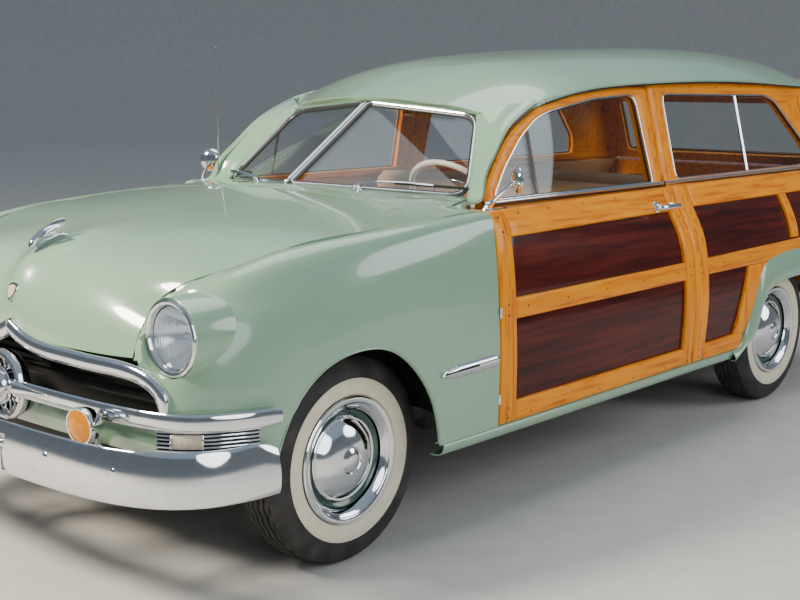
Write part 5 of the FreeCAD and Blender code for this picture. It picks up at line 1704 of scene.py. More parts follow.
@dataclass
class FrontWing(SidedAssembly):
    """A front wing with its wheel opening, headlamp hole, sill strip and side spear."""

    thickness: float = 9.0
    lamp_centre: Point = (2290.0, 716.0, 811.0)
    lamp_hole: float = 112.0
    lip_radius: float = 7.0
    collar_inside: float = 113.2
    collar_outside: float = 115.6
    house_middle: Flat = (8.0, 400.0)
    house_reach: Flat = (414.0, 352.0)

    def __post_init__(self) -> None:
        """Refine the wing's surface and the wheel opening's outline."""
        self.surface = smooth_grid(FENDER_ROWS, 6)
        arch = [(FRONT_X + along, z) for along, z in ARCH_FRONT]
        self.arch = smooth_line([(FRONT_X + 404, 250), *arch, (FRONT_X - 318, 250)], 6, (1, 9))

    def skin_y(self, x: float, z: float) -> float:
        """Return the wing's half width at a station and height."""
        loose = self.surface.reshape(-1, 3)
        apart = np.hypot(loose[:, 0] - x, loose[:, 2] - z)
        near = np.argsort(apart)[:6]
        weight = 1 / (apart[near] ** 2 + 1)
        return float(np.sum(loose[near, 1] * weight) / np.sum(weight))

    def build(self) -> None:
        """Make the wing's pieces."""
        wing = Shape().panel(self.surface, self.thickness, (1500, 0, 300), 0, 1)
        arch_tool = prism([tuple(point) for point in self.arch], 560, 1000)
        hole = ((-180, 0), (-180, self.lamp_hole), (160, self.lamp_hole), (160, 0))
        lamp_tool = Shape().turned(hole, self.lamp_centre, (1, 0, 0), 64)
        green = (BODY_GREEN, UNDERSEAL)
        fenders = self.shared("front_fenders")
        self.fit("front_wing", wing, green, "shell", "green_paint", fenders, (arch_tool, lamp_tool))
        trim = Shape().merged(self.arch_lip(), self.sill(), self.lamp_nacelle(), self.seam_gutter())
        self.fit("wing_edges", trim, (BODY_GREEN,), "shell", "green_paint")
        self.fit("spear", self.spear(), (PLATED, SHADOW), "shell", "bright_metal")
        self.fit("wheel_house", self.liner(), (UNDERSEAL,), "shell", "black_steel")

    def lamp_nacelle(self) -> Shape:
        """Return the painted rim that carries the wing forward to the headlamp."""
        x, y, z = self.lamp_centre
        profile = (
            (-300, 60), (-250, 90), (-200, 106), (-150, 115), (-100, 118.5), (-50, 117.5),
            (-8, 116.5), (3, 115.5), (4, 113.8), (-40, 113.2)
        )
        shape = Shape().turned(profile, (x, y, z), (1, 0, 0), 72, 0)
        ahead = np.linspace(x - 120, x + 120, 49)
        collar = []
        for angle in np.linspace(0, 2 * math.pi, 72, endpoint=False):
            across, up = math.cos(angle), math.sin(angle)
            skin = np.array([float(self.skin_y(at, z + 113 * up)) for at in ahead])
            lip = float(np.interp(-(y + 113 * across), -skin, ahead))
            front = min(max(lip - 1, x + 2), x + 60)
            walls = (self.collar_inside, self.collar_outside)
            corners = [(-44, walls[0]), *((front - x, wall) for wall in walls), (-44, walls[1])]
            collar.append([(x + out, y + reach * across, z + reach * up) for out, reach in corners])
        return shape.grid(np.array(collar), 0, True, True)

    def seam_gutter(self) -> Shape:
        """Return the flange that lies under the seam between wing and bonnet."""
        edge = [FENDER_ROWS[i][0] for i in (5, 4, 3, 2, 1)] + list(FENDER_ROWS[0])
        path = smooth_line(edge, 4)
        normal = np.linspace((0.9, 0.25, 0.3), (0.1, 0.3, 0.95), len(path))
        section = [(-13, -18), (-13, 6), (-17, 6), (-17, -18)]
        shape = Shape().swept(path, section, normal, 0)
        return shape.swept(path, [(a, -b) for a, b in section], normal, 0)

    def arch_lip(self) -> Shape:
        """Return the rolled edge of the wheel opening."""
        shape = Shape()
        edge = self.arch[(self.arch[:, 1] > 352)]
        path = np.array([(x, self.skin_y(x, z) - 4, z) for x, z in edge])
        middle = np.array([FRONT_X, 0, 380])
        inward = middle - path
        inward[:, 1] = 0
        shape.swept(path, oval(self.lip_radius * 0.7, self.lip_radius), inward, 0)
        return shape

    def sill(self) -> Shape:
        """Return the green strip along the foot of the door."""
        shape = Shape()
        rows = []
        for x in np.linspace(-646, 1338, 46):
            y = float(SIDE_FORM.half_width(np.array([x]), np.array([350.0]))[0])
            rows.append([
                (x, y - 40, 342), (x, y - 4, 341), (x, y + 1, 334), (x, y - 2, 318),
                (x, y - 14, 302), (x, y - 60, 298)
            ])
        shape.panel(smooth_grid(rows, 2), 4.0, (0, 0, 300), 0)
        return shape

    def spear(self) -> Shape:
        """Return the chrome spear on the flank: pointed in front and blank, with a dark line along
        it as a groove's painted shade.
        """
        shape = Shape()
        stations = np.linspace(1362, 1062, 25)
        height = np.interp(stations, (1062, 1070, 1270, 1340, 1362), (20, 24, 23, 14, 2.5))
        middle = np.interp(stations, (1062, 1362), (579, 573))
        rows = []
        for x, half, z in zip(stations, height, middle):
            y = self.skin_y(x, z) - 3
            line = [(x, y, z - half), (x, y + 8, z - half * 0.8), (x, y + 13, z - half * 0.3)]
            line += [(x, y + 15, z + half * 0.15), (x, y + 11, z + half * 0.75), (x, y, z + half)]
            rows.append(line)
        grid = smooth_grid(rows, 2)
        shape.grid(grid, 0)
        shape.grid(np.stack([grid[0], grid[0] - (0, 6, 0)]), 0)
        # Painted shade: a shadow-black rod sunk along the face stands for the groove's shade.
        groove = np.array(
            [(x, self.skin_y(x, z) + 12.0, z + 5) for x, z in zip(stations[1:16], middle[1:16])]
        )
        shape.swept(groove, oval(2.2, 3.5, 8), (0, 1, 0), 1)
        return shape

    def liner(self) -> Shape:
        """Return the dark inner housing over the wheel."""
        shape = Shape()
        rows = []
        for share in np.linspace(0, math.pi, 21):
            x = FRONT_X + self.house_middle[0] + math.cos(share) * self.house_reach[0]
            z = self.house_middle[1] + math.sin(share) * self.house_reach[1]
            y = self.skin_y(x, max(z, 360)) - 14
            rows.append([(x, y, z), (x, y - 60, z + 8), (x, 610, z + 12), (x, 560, z - 10)])
        shape.panel(smooth_grid(rows, 2), 4.0, (FRONT_X, 700, 300), 0)
        return shape


@dataclass
class Bonnet(Assembly):
    """The bonnet with its centre ridge, the blank crest on its nose and the ornament."""

    thickness: float = 8.0

    def surface(self) -> np.ndarray:
        """Return the bonnet's smooth outside."""
        rows = []
        for middle_x, middle_z, edge_x, edge_y, edge_z, plan_round, rise_round, ridge in HOOD_ROWS:
            left = []
            for share, peak in zip(HOOD_SHARES, HOOD_PEAK):
                x = middle_x + (edge_x - middle_x) * share**plan_round
                z = middle_z + (edge_z - middle_z) * share**rise_round + ridge * peak
                left.append((x, edge_y * share, z))
            rows.append(mirrored_row(left))
        return smooth_grid(rows, 5)

    def build(self) -> None:
        """Make the bonnet's pieces."""
        grid = self.surface()
        shell = Shape().panel(grid, self.thickness, (1800, 0, 700), 0, 1)
        piece("bonnet_panel", shell, (BODY_GREEN, UNDERSEAL), "bonnet", ("hood",))
        piece(
            "bonnet_ornament", self.ornament(), (PLATED, CREAM_LENS), "bonnet",
            ("hood_trim",)
        )

    def ornament(self) -> Shape:
        """Return the winged ornament and the small blank crest below it."""
        shape = Shape()
        spine = smooth_line(
            [(2272, 0, 1000), (2252, 0, 1019), (2222, 0, 1040), (2186, 0, 1055), (2140, 0, 1058)], 5
        )
        scales = np.interp(
            np.linspace(0, 1, len(spine)), (0, 0.15, 0.5, 0.85, 1), (0.35, 0.9, 1.0, 0.6, 0.15)
        )
        shape.swept(spine, oval(13, 15, 16), (0, 0, 1), 0, True, scales)
        fin = [(2232, 0, 1030), (2206, 0, 1052), (2176, 0, 1066), (2140, 0, 1070)]
        shape.swept(
            smooth_line(fin, 5), oval(13, 4, 12), (0, 0, 1), 0, True, np.linspace(0.4, 1.0, 16)
        )
        for sign in (1, -1):
            wing = smooth_line(
                [(2236, sign * 6, 1026), (2206, sign * 22, 1034), (2160, sign * 34, 1036)], 5
            )
            shape.swept(wing, oval(4, 14, 12), (0, 0, 1), 0, True, np.linspace(0.5, 0.9, 11))
        base = smooth_line([(2262, 0, 984), (2236, 0, 1002), (2196, 0, 1016), (2146, 0, 1028)], 5)
        shape.swept(base, oval(12, 11, 12), (0, 0, 1), 0, True, np.linspace(0.7, 1.0, 16))
        crest = [(0, 32), (24, 26), (25, 2), (15, -20), (0, -34), (-15, -20), (-25, 2), (-24, 26)]
        outline = rounded(crest, 9, 4)
        slant = Vector((0.93, 0, 0.37)).normalized()
        up = Vector((-slant.z, 0, slant.x))
        centre = Vector((2336, 0, 868))
        for shrink, lift, mark in ((1.0, 6.0, 0), (0.72, 9.0, 1)):
            rings = []
            for scale, out in (
                (1.0, -8.0), (1.0, lift - 3), (0.93, lift), (0.5, lift + 1.5), (0.01, lift + 2)
            ):
                ring = []
                for y, z in outline * shrink * scale:
                    point = centre + up * z + Vector((0, y, 0)) + slant * out
                    ring.append(tuple(point))
                rings.append(ring)
            shape.grid(np.array(rings), mark, closed_along=True)
        return shape


ROOF_ROWS = (
    # x, height at the middle, height of the edge, half width of the edge, roundness
    (350, 1562, 1460, 662, 2.8),
    (100, 1606, 1487, 664, 3.2),
    (-208, 1632, 1500, 666, 3.4),
    (-701, 1652, 1508, 667, 3.6),
    (-1150, 1656, 1502, 664, 3.6),
    (-1550, 1640, 1486, 656, 3.4),
    (-1740, 1620, 1480, 648, 3.2),
    (-1840, 1586, 1478, 640, 3.0),
    (-1882, 1545, 1477, 634, 3.0),
    (-1900, 1498, 1476, 630, 3.0),
)
PANE_FOOT = ((1163, 12, 1132), (890, 634, 1102))
PANE_HEAD = ((732, 12, 1421), (652, 484, 1378))
PANE_OUT = np.array((0.781, 0.0, 0.625))
POST_LINE = (
    # x and z along the door's window frame, share of the pane's side edge beside it
    (1062, 1072, -0.17),
    (1046, 1089, -0.12),
    (958, 1093, -0.06),
    (899, 1163, 0.19),
    (828, 1237, 0.43),
    (758, 1302, 0.66),
    (677, 1361, 0.88),
    (502, 1436, 1.05),
)


@dataclass
class UpperShell(Assembly):
    """Roof, windscreen posts, cowl, screen rubber, centre bar and wipers."""

    thickness: float = 12.0
    roof_shares: tuple[float, ...] = (1.0, 0.985, 0.95, 0.88, 0.78, 0.62, 0.42, 0.2, 0.0)

    def build(self) -> None:
        """Make the pieces above the belt."""
        piece("roof_skin", self.roof(), (BODY_GREEN, HEADLINING), "shell", ("roof",))
        frame_shape = Shape().merged(self.posts(), self.cowl())
        piece(
            "screen_frame", frame_shape, (BODY_GREEN, DASH_BROWN), "shell",
            ("windscreen_frame",)
        )
        piece("screen_seal", self.seal(), (BLACK_RUBBER, PLATED), "shell")
        piece("wipers", self.wipers(), (PLATED, BLACK_RUBBER), "shell")
        piece("aerial", self.aerial(), (PLATED,), "shell")
        piece("drip_rails", self.drip_rails(), (BODY_GREEN, SHADOW), "shell")
        dress_node("fixed_glass", CLEAR_PANE)

    def front_row(self) -> list[Point]:
        """Return the roof's front edge over the windscreen, from its left end to the middle."""
        points = []
        for y in (655, 645, 622, 580, 510, 410, 280, 135, 0):
            x = float(np.interp(y, (0, 240, 484, 600, 655), (744, 722, 664, 590, 470)))
            edge = float(np.interp(x, (470, 655, 770), (1440, 1366, 1330)))
            half = float(np.interp(x, (470, 655, 770), (657, 590, 560)))
            middle = float(np.interp(x, (470, 655, 770), (1532, 1478, 1434)))
            share = min(1.0, y / half)
            sunk = 7 * float(np.interp(y, (410, 500, 640, 655), (0, 1, 1, 0)))
            points.append((x, float(y), edge + (middle - edge) * (1 - share**2.1) - sunk))
        return points

    def roof(self) -> Shape:
        """Return the roof as one smooth sheet."""
        rows = [mirrored_row(self.front_row())]
        for x, middle_z, edge_z, half, roundness in ROOF_ROWS:
            left = [
                (x, half * share, edge_z + (middle_z - edge_z) * (1 - share**roundness))
                for share in self.roof_shares
            ]
            rows.append(mirrored_row(left))
        return Shape().panel(smooth_grid(rows, 5), self.thickness, (-600, 0, 900), 0, 1)

    def pane_point(self, share: float, lift: float) -> np.ndarray:
        """Return a point on the left pane's side edge, lifted off the glass."""
        foot, head = np.array(PANE_FOOT[1], float), np.array(PANE_HEAD[1], float)
        return foot + (head - foot) * share + PANE_OUT * lift

    def posts(self) -> Shape:
        """Return both windscreen posts."""
        rows = []
        inward = np.array((0.0, -math.cos(LEAN), -math.sin(LEAN)))
        bulge = np.array((0.42, 0.75, 0.4)) * 11
        for x, z, share in POST_LINE:
            edge = np.array((x, BELT_Y - (z - BELT_Z) * math.tan(LEAN), z))
            far = self.pane_point(share, 9)
            mid = (edge + far) / 2 + bulge
            near_edge = edge * 0.72 + mid * 0.28 + (2, 5, 2)
            near_pane = far * 0.75 + mid * 0.25 + (3, 1, 3)
            rows.append(
                [edge + inward * 26, edge, near_edge, mid, near_pane, far, far - PANE_OUT * 22]
            )
        grid = smooth_grid(rows, 5, (), (1, 5))
        left = Shape().panel(grid, 6.0, (400, 0, 1200), 0, 0)
        rows = []
        for x, y, z in self.front_row()[4:]:
            share = min(1.0, max(0.0, (y - 12) / 472))
            head = (
                np.array(PANE_HEAD[0], float) * (1 - share)
                + np.array(PANE_HEAD[1], float) * share
            )
            head[1] = min(y, 490.0)
            edge = np.array((x, y, z))
            low = head + PANE_OUT * 5 + (0, 0, 4)
            middle = (edge + low) / 2 + (4, 0, 2)
            rows.append([edge + (-10, 0, -5), edge + (3, 0, -3), middle, low, low - PANE_OUT * 16])
        header = Shape().panel(smooth_grid(rows, 4), 4.0, (300, 0, 1200), 0, 0)
        return left.doubled().merged(header.doubled())

    def cowl(self) -> Shape:
        """Return the cowl in front of the screen, out to the wings."""
        stations = (
            # y, x and z of the front edge, x and z of the rear edge
            (0, 1230, 1119, 1170, 1134),
            (160, 1230, 1117, 1102, 1127),
            (320, 1230, 1112, 1032, 1119),
            (480, 1230, 1103, 960, 1111),
            (600, 1230, 1094, 904, 1105),
            (640, 1230, 1090, 900, 1100),
            (684, 1230, 1085, 1046, 1088),
            (802, 1230, 1071, 1048, 1075),
        )
        rows = []
        crown = ((1.0, 0), (0.66, 3), (0.33, 3), (0.0, 0))
        for y, front_x, front_z, rear_x, rear_z in reversed(stations):
            run, rise = front_x - rear_x, front_z - rear_z
            rows.append([(rear_x + run * s, y, rear_z + rise * s + up) for s, up in crown])
        half = smooth_grid(rows, 4, (1, 2))
        left = Shape().panel(half, 10.0, (1000, 0, 800), 0, 1)
        return left.doubled()

    def seal(self) -> Shape:
        """Return the rubber round both panes with its bright bead, and the centre bar."""
        shape = Shape()
        foot = [np.array(p, float) for p in PANE_FOOT]
        head = [np.array(p, float) for p in PANE_HEAD]
        corners = [foot[0], foot[1], head[1], head[0]]
        outline = []
        for index, corner in enumerate(corners):
            before, after = corners[index - 1], corners[(index + 1) % 4]
            bend = (24, 84, 66, 24)[index]
            start = corner + (before - corner) / np.linalg.norm(before - corner) * bend
            stop = corner + (after - corner) / np.linalg.norm(after - corner) * bend
            for share in np.linspace(0, 1, 6):
                outline.append(
                    (1 - share) ** 2 * start + 2 * share * (1 - share) * corner + share**2 * stop
                )
        loop = np.array(outline + outline[:2])
        for section, lift, mark in ((oval(8, 15, 12), 2.0, 0), (oval(3.2, 3.4, 8), 9.8, 1)):
            half = Shape().swept(loop + PANE_OUT * lift, section, PANE_OUT, mark, caps=False)
            shape.merged(half.doubled())
        bar = np.linspace((1176, 0, 1124), (733, 0, 1422), 12)
        shape.swept(bar + PANE_OUT * 4, oval(8, 11, 14), PANE_OUT, 0)
        shape.swept(bar + PANE_OUT * 10, oval(3.6, 3.2, 12), PANE_OUT, 1)
        return shape

    def wipers(self) -> Shape:
        """Return both wipers, parked along the foot of the screen."""
        shape = Shape()
        for sign in (1, -1):
            pivot = np.array((1078, sign * 270, 1124))
            shape.turned(
                ((-14, 0), (-14, 17), (2, 16), (10, 11), (20, 9), (22, 0)), tuple(pivot),
                (0.5, 0, 0.86), 24, 0
            )
            elbow = pivot + (6, sign * 60, 26)
            tip = np.array((946, sign * 520, 1142))
            shape.swept(
                smooth_line([pivot + (10, 0, 16), elbow, tip], 6), oval(2.6, 4.5, 8), (0.6, 0, 0.8),
                0, True, np.linspace(1.3, 0.8, 13)
            )
            toward = np.array((0.40, sign * -0.90, 0.05))
            shape.swept(
                np.linspace(tip - toward * 130, tip + toward * 150, 8) + (-3, 0, -3), oval(7, 3, 8),
                (0.6, 0, 0.8), 1
            )
        return shape

    def aerial(self) -> Shape:
        """Return the thin aerial on the right of the cowl."""
        shape = Shape()
        foot = (912.0, -694.0, 1086.0)
        shape.turned(
            ((-4, 0), (-4, 14), (3, 13), (14, 7), (20, 4), (20, 0)), foot, (0, 0, 1), 20, 0
        )
        for low, high, radius in ((1100, 1300, 2.6), (1300, 1480, 1.9), (1480, 1640, 1.3)):
            shape.rod([(foot[0], foot[1], low), (foot[0], foot[1], high)], radius, 0, 8)
        return shape.turned(((-3, 0), (0, 3), (3, 0)), (foot[0], foot[1], 1641), (0, 0, 1), 12, 0)

    def drip_rails(self) -> Shape:
        """Return the gutters between the roof and the wooden sides, each with a shadow-black strip
        under it as a painted shadow line.
        """
        shape = Shape()
        line = [
            (470, 668, 1436), (350, 670, 1458), (100, 672, 1486), (-208, 673, 1499),
            (-701, 674, 1507), (-1150, 671, 1501)
        ]
        line += [(-1550, 663, 1486), (-1760, 654, 1479), (-1880, 640, 1476)]
        path = smooth_line(line, 5)
        # Painted shadow: the second, thinner strip sits under the gutter in shadow black.
        for section, shift, mark in (
            (oval(5, 5, 10), (0, 2, 0), 0), (oval(2.5, 4, 8), (0, -3, -7), 1)
        ):
            left = Shape().swept(path + shift, section, (0, 1, 0.2), mark)
            shape.merged(left.doubled())
        return shape


# Bright front

MOULDING_LINE = (
    # y, x and z of the middle of the moulding
    (0, 2352, 761),
    (58, 2352, 734),
    (164, 2352, 711),
    (300, 2351, 706),
    (443, 2350, 705),
    (590, 2342, 702),
    (668, 2334, 682),
    (712, 2330, 648),
    (722, 2330, 606),
)
BAR_PLAN = (
    (2392, 0), (2390, 300), (2376, 560), (2352, 700), (2312, 790), (2240, 852), (2150, 894),
    (2072, 911),
)
PARK_PLAN = ((2366, 640), (2345, 704), (2302, 776), (2232, 838), (2160, 876), (2128, 888))
APRON_PLAN = ((2350, 0), (2346, 300), (2334, 560), (2322, 700), (2316, 737))
BUMPER_PLAN = (
    (2497, 0), (2494, 300), (2464, 600), (2390, 780), (2290, 868), (2170, 906), (2072, 916)
)


def blade(
    plan: Sequence[Flat], profile: Sequence[Flat], steps: int = 6, tip: float = 1.0
) -> np.ndarray:
    """Return a grid that follows a plan line with an upright profile of (outward, z) points.

    Args:
        plan: The line in (x, y) that outward 0 follows.
        profile: The cross-section from its foot up.
        steps: New points for each stretch of the plan.
        tip: How much of the profile's height is left at the plan's end.
    Returns:
        The grid, one row for each place along the plan.
    """
    line = smooth_line([(plan[1][0], -plan[1][1]), *plan], steps)[steps:]
    tangent = np.gradient(line, axis=0)
    tangent[0] = (0.0, 1.0)
    tangent /= np.linalg.norm(tangent, axis=1)[:, None]
    middle = (profile[0][1] + profile[-1][1]) / 2
    ends = np.ones(len(line))
    reach = max(2, steps)
    ends[-reach:] = np.sqrt(np.maximum(0.0, 1 - (1 - tip**2) * np.linspace(0, 1, reach) ** 2))
    rows = []
    for (x, y), (along_x, along_y), scale in zip(line, tangent, ends):
        rows.append([
            (x + along_y * out, y - along_x * out, middle + (z - middle) * scale)
            for out, z in profile
        ])
    return np.array(rows)


def both_halves(grid: np.ndarray, mark: int = 0, closed: bool = False) -> Shape:
    """Return a grid made for the left half together with its mirror image."""
    left = Shape().grid(grid, mark, closed_along=closed)
    if closed:
        left.add(grid[-1], [tuple(range(len(grid[-1])))], mark)
    return left.doubled()


def oval_profile(low: float, high: float, out: float, back: float, count: int = 16) -> list[Flat]:
    """Return a rounded closed cross-section of (outward, z) points."""
    middle, half = (low + high) / 2, (high - low) / 2
    points = []
    for index in range(count):
        angle = 2 * math.pi * index / count
        reach = out if math.cos(angle) > 0 else back
        share = math.copysign(abs(math.cos(angle)) ** 0.8, math.cos(angle))
        points.append((share * reach, middle + math.sin(angle) * half))
    return points


@dataclass
class Grille(Assembly):
    """The mouth: arched upper moulding, wrap-round lower bar, centre boss, recess and apron."""

    moulding_half: float = 26.0
    bar_levels: Flat = (558.0, 610.0)
    boss: Point = (2366.0, 0.0, 585.0)

    def build(self) -> None:
        """Make the pieces of the front face."""
        piece(
            "grille_moulding", self.moulding(), (PLATED, SHADOW), "shell",
            ("grille_surround",)
        )
        piece(
            "grille_lower_bar", self.lower_bar(), (PLATED, SHADOW), "shell",
            ("grille_bar",)
        )
        piece("grille_boss", self.centre_boss(), (PLATED, SHADOW), "shell")
        piece(
            "front_valance", self.apron(), (BODY_GREEN, SHADOW), "shell",
            ("front_apron",)
        )

    def moulding(self) -> Shape:
        """Return the upper moulding, with a shadow-black tube behind and below it as its painted
        shadow.
        """
        line = smooth_line([(x, y, z + 3) for y, x, z in MOULDING_LINE], 6)
        scales = np.interp(np.linspace(0, 1, len(line)), (0, 0.06, 0.9, 1), (0.95, 1.0, 0.95, 0.7))
        section = oval(self.moulding_half * 0.62, self.moulding_half, 20)
        left = Shape().swept(line, section, (1, 0, 0), 0, True, scales)
        # Painted shadow: a shadow-black tube tucked under the moulding.
        inner = Shape().swept(line + (-14, -4, -20), oval(8, 5, 10), (1, 0, 0), 1)
        return left.doubled().merged(inner.doubled())

    def lower_bar(self) -> Shape:
        """Return the bar that runs round the corners, with a tapering swell on each side of the
        boss.
        """
        low, high = self.bar_levels
        profile = oval_profile(low, high, 10, 16, 18)
        shape = both_halves(blade([(x - 8, y) for x, y in BAR_PLAN], profile, 7, 0.8), 0, True)
        wing = smooth_line(
            [(2404, 96, 588), (2402, 140, 590), (2398, 196, 590), (2392, 258, 588)], 6
        )
        scales = np.interp(np.linspace(0, 1, len(wing)), (0, 0.3, 1), (1.0, 0.85, 0.08))
        left = Shape().swept(wing, oval(16, 25, 14), (1, 0, 0), 0, True, scales)
        return shape.merged(left.doubled())

    def centre_boss(self) -> Shape:
        """Return the bullet in its ring, the recessed dish behind it in painted shade, and the
        blades round it.
        """
        shape = Shape()
        ring = (
            (0, 82), (-10, 92), (-6, 106), (6, 112), (20, 111), (31, 104), (34, 95), (29, 86),
            (16, 80), (2, 79)
        )
        shape.turned(ring, self.boss, (1, 0, 0), 64, 0)
        # Painted shade: the dish behind the bullet is shadow black.
        dish = ((-14, 104), (-16, 60), (-14, 40), (-14, 0))
        shape.turned(dish, self.boss, (1, 0, 0), 48, 1)
        bullet = ((-14, 40), (12, 52), (30, 58), (46, 56), (62, 47), (76, 32), (84, 16), (87, 0))
        shape.turned(bullet, self.boss, (1, 0, 0), 56, 0)
        collar = ((24, 57), (26, 61), (31, 62), (35, 60), (36, 56))
        shape.turned(collar, self.boss, (1, 0, 0), 56, 0)
        for index in range(16):
            angle = 2 * math.pi * (index + 0.5) / 16
            way = Vector((0, math.cos(angle), math.sin(angle)))
            base = Vector(self.boss)
            shape.swept(
                np.array([
                    tuple(base + way * 50 + Vector((-2, 0, 0))),
                    tuple(base + way * 84 + Vector((2, 0, 0)))
                ]),
                oval(10, 3, 8), (1, 0, 0), 0, True,
            )
        return shape

    def apron(self) -> Shape:
        """Return the green panel under the bar, its inside in painted shade, and a shadow-black
        sheet with slats in painted shade that fills the mouth.
        """
        profile = [(-30, 456), (-12, 478), (-2, 510), (0, 540), (-6, 562)]
        grid = blade(APRON_PLAN, profile, 6)
        # The panel's inside face is shadow black: painted shade.
        left = Shape().panel(grid, 5.0, (1800, 300, 500), 0, 1)
        # Painted shade: a shadow-black sheet and slats stand in for the shade inside the grille
        # opening.
        mouth_shade_sheet = blade(
            [(2262, 0), (2258, 300), (2246, 520), (2240, 620)],
            [(0, 520), (6, 600), (0, 700), (-14, 770)], 4
        )
        back = Shape().panel(mouth_shade_sheet, 4.0, (1800, 200, 600), 1, 1)
        shape = left.doubled().merged(back.doubled())
        for z in (636, 662, 688):
            slat = blade(
                [(2272, 0), (2268, 300), (2256, 520), (2250, 610)],
                oval_profile(z - 3, z + 3, 9, 9, 8), 3
            )
            half = Shape().grid(slat, 1, closed_along=True)
            shape.merged(half.doubled())
        return shape


@dataclass
class Bumper(Assembly):
    """A broad wrap-round bumper with bolts and brackets."""

    front: bool
    lift: float = 0.0
    low: float = 352.0
    high: float = 512.0

    def build(self) -> None:
        """Make the bumper and its brackets."""
        name = "front" if self.front else "rear"
        shape = self.blade_shape()
        if not self.front:
            shape = self.turned_round(shape)
        piece(
            f"bumper_{name}", shape, (PLATED, CHASSIS_BLACK), "shell",
            (f"{name}_bumper",)
        )

    def blade_shape(self) -> Shape:
        """Return the bumper made for the front."""
        low, high = self.low + self.lift, self.high + self.lift
        height = high - low
        face = (
            (-5, 0.06), (-1, 0.17), (0.5, 0.30), (1, 0.38), (0, 0.5), (-3, 0.66), (-8, 0.82),
            (-15, 0.95)
        )
        outside = [
            (-20, low + 2), (-12, low), *((out, low + height * share) for out, share in face)
        ]
        outside += [(-21, high), (-27, high - 3)]
        back = ((-22, 0.8), (-15, 0.5), (-14, 0.25))
        inside = [
            (-29, high - 12), *((out, low + height * share) for out, share in back), (-24, low + 10)
        ]
        fine = smooth_line(outside, 3)
        profile = [tuple(p) for p in fine] + inside
        shape = both_halves(blade([(x - 1, y) for x, y in BUMPER_PLAN], profile, 8, 0.86), 0, True)
        for y in (150, 370, 640):
            x = float(np.interp(y, [b for _, b in BUMPER_PLAN], [a for a, _ in BUMPER_PLAN]))
            for sign in (1, -1):
                at = (x - 1, sign * y, low + height * 0.6)
                shape.turned(((-8, 0), (-8, 13), (1, 13), (5, 9), (7, 0)), at, (1, 0, 0), 20, 0)
        for sign in (1, -1):
            path = np.array(
                [(x, sign * 370.0, low + 86) for x in (2290.0 if self.front else 2330.0, 2478)]
            )
            shape.swept(path, [(-17, -24), (17, -24), (17, 24), (-17, 24)], (0, 0, 1), 1)
        return shape

    @staticmethod
    def turned_round(shape: Shape) -> Shape:
        """Return the shape carried over to the car's other end."""
        shape.points = [(-x, y, z) for x, y, z in shape.points]
        shape.faces = [tuple(reversed(face)) for face in shape.faces]
        return shape


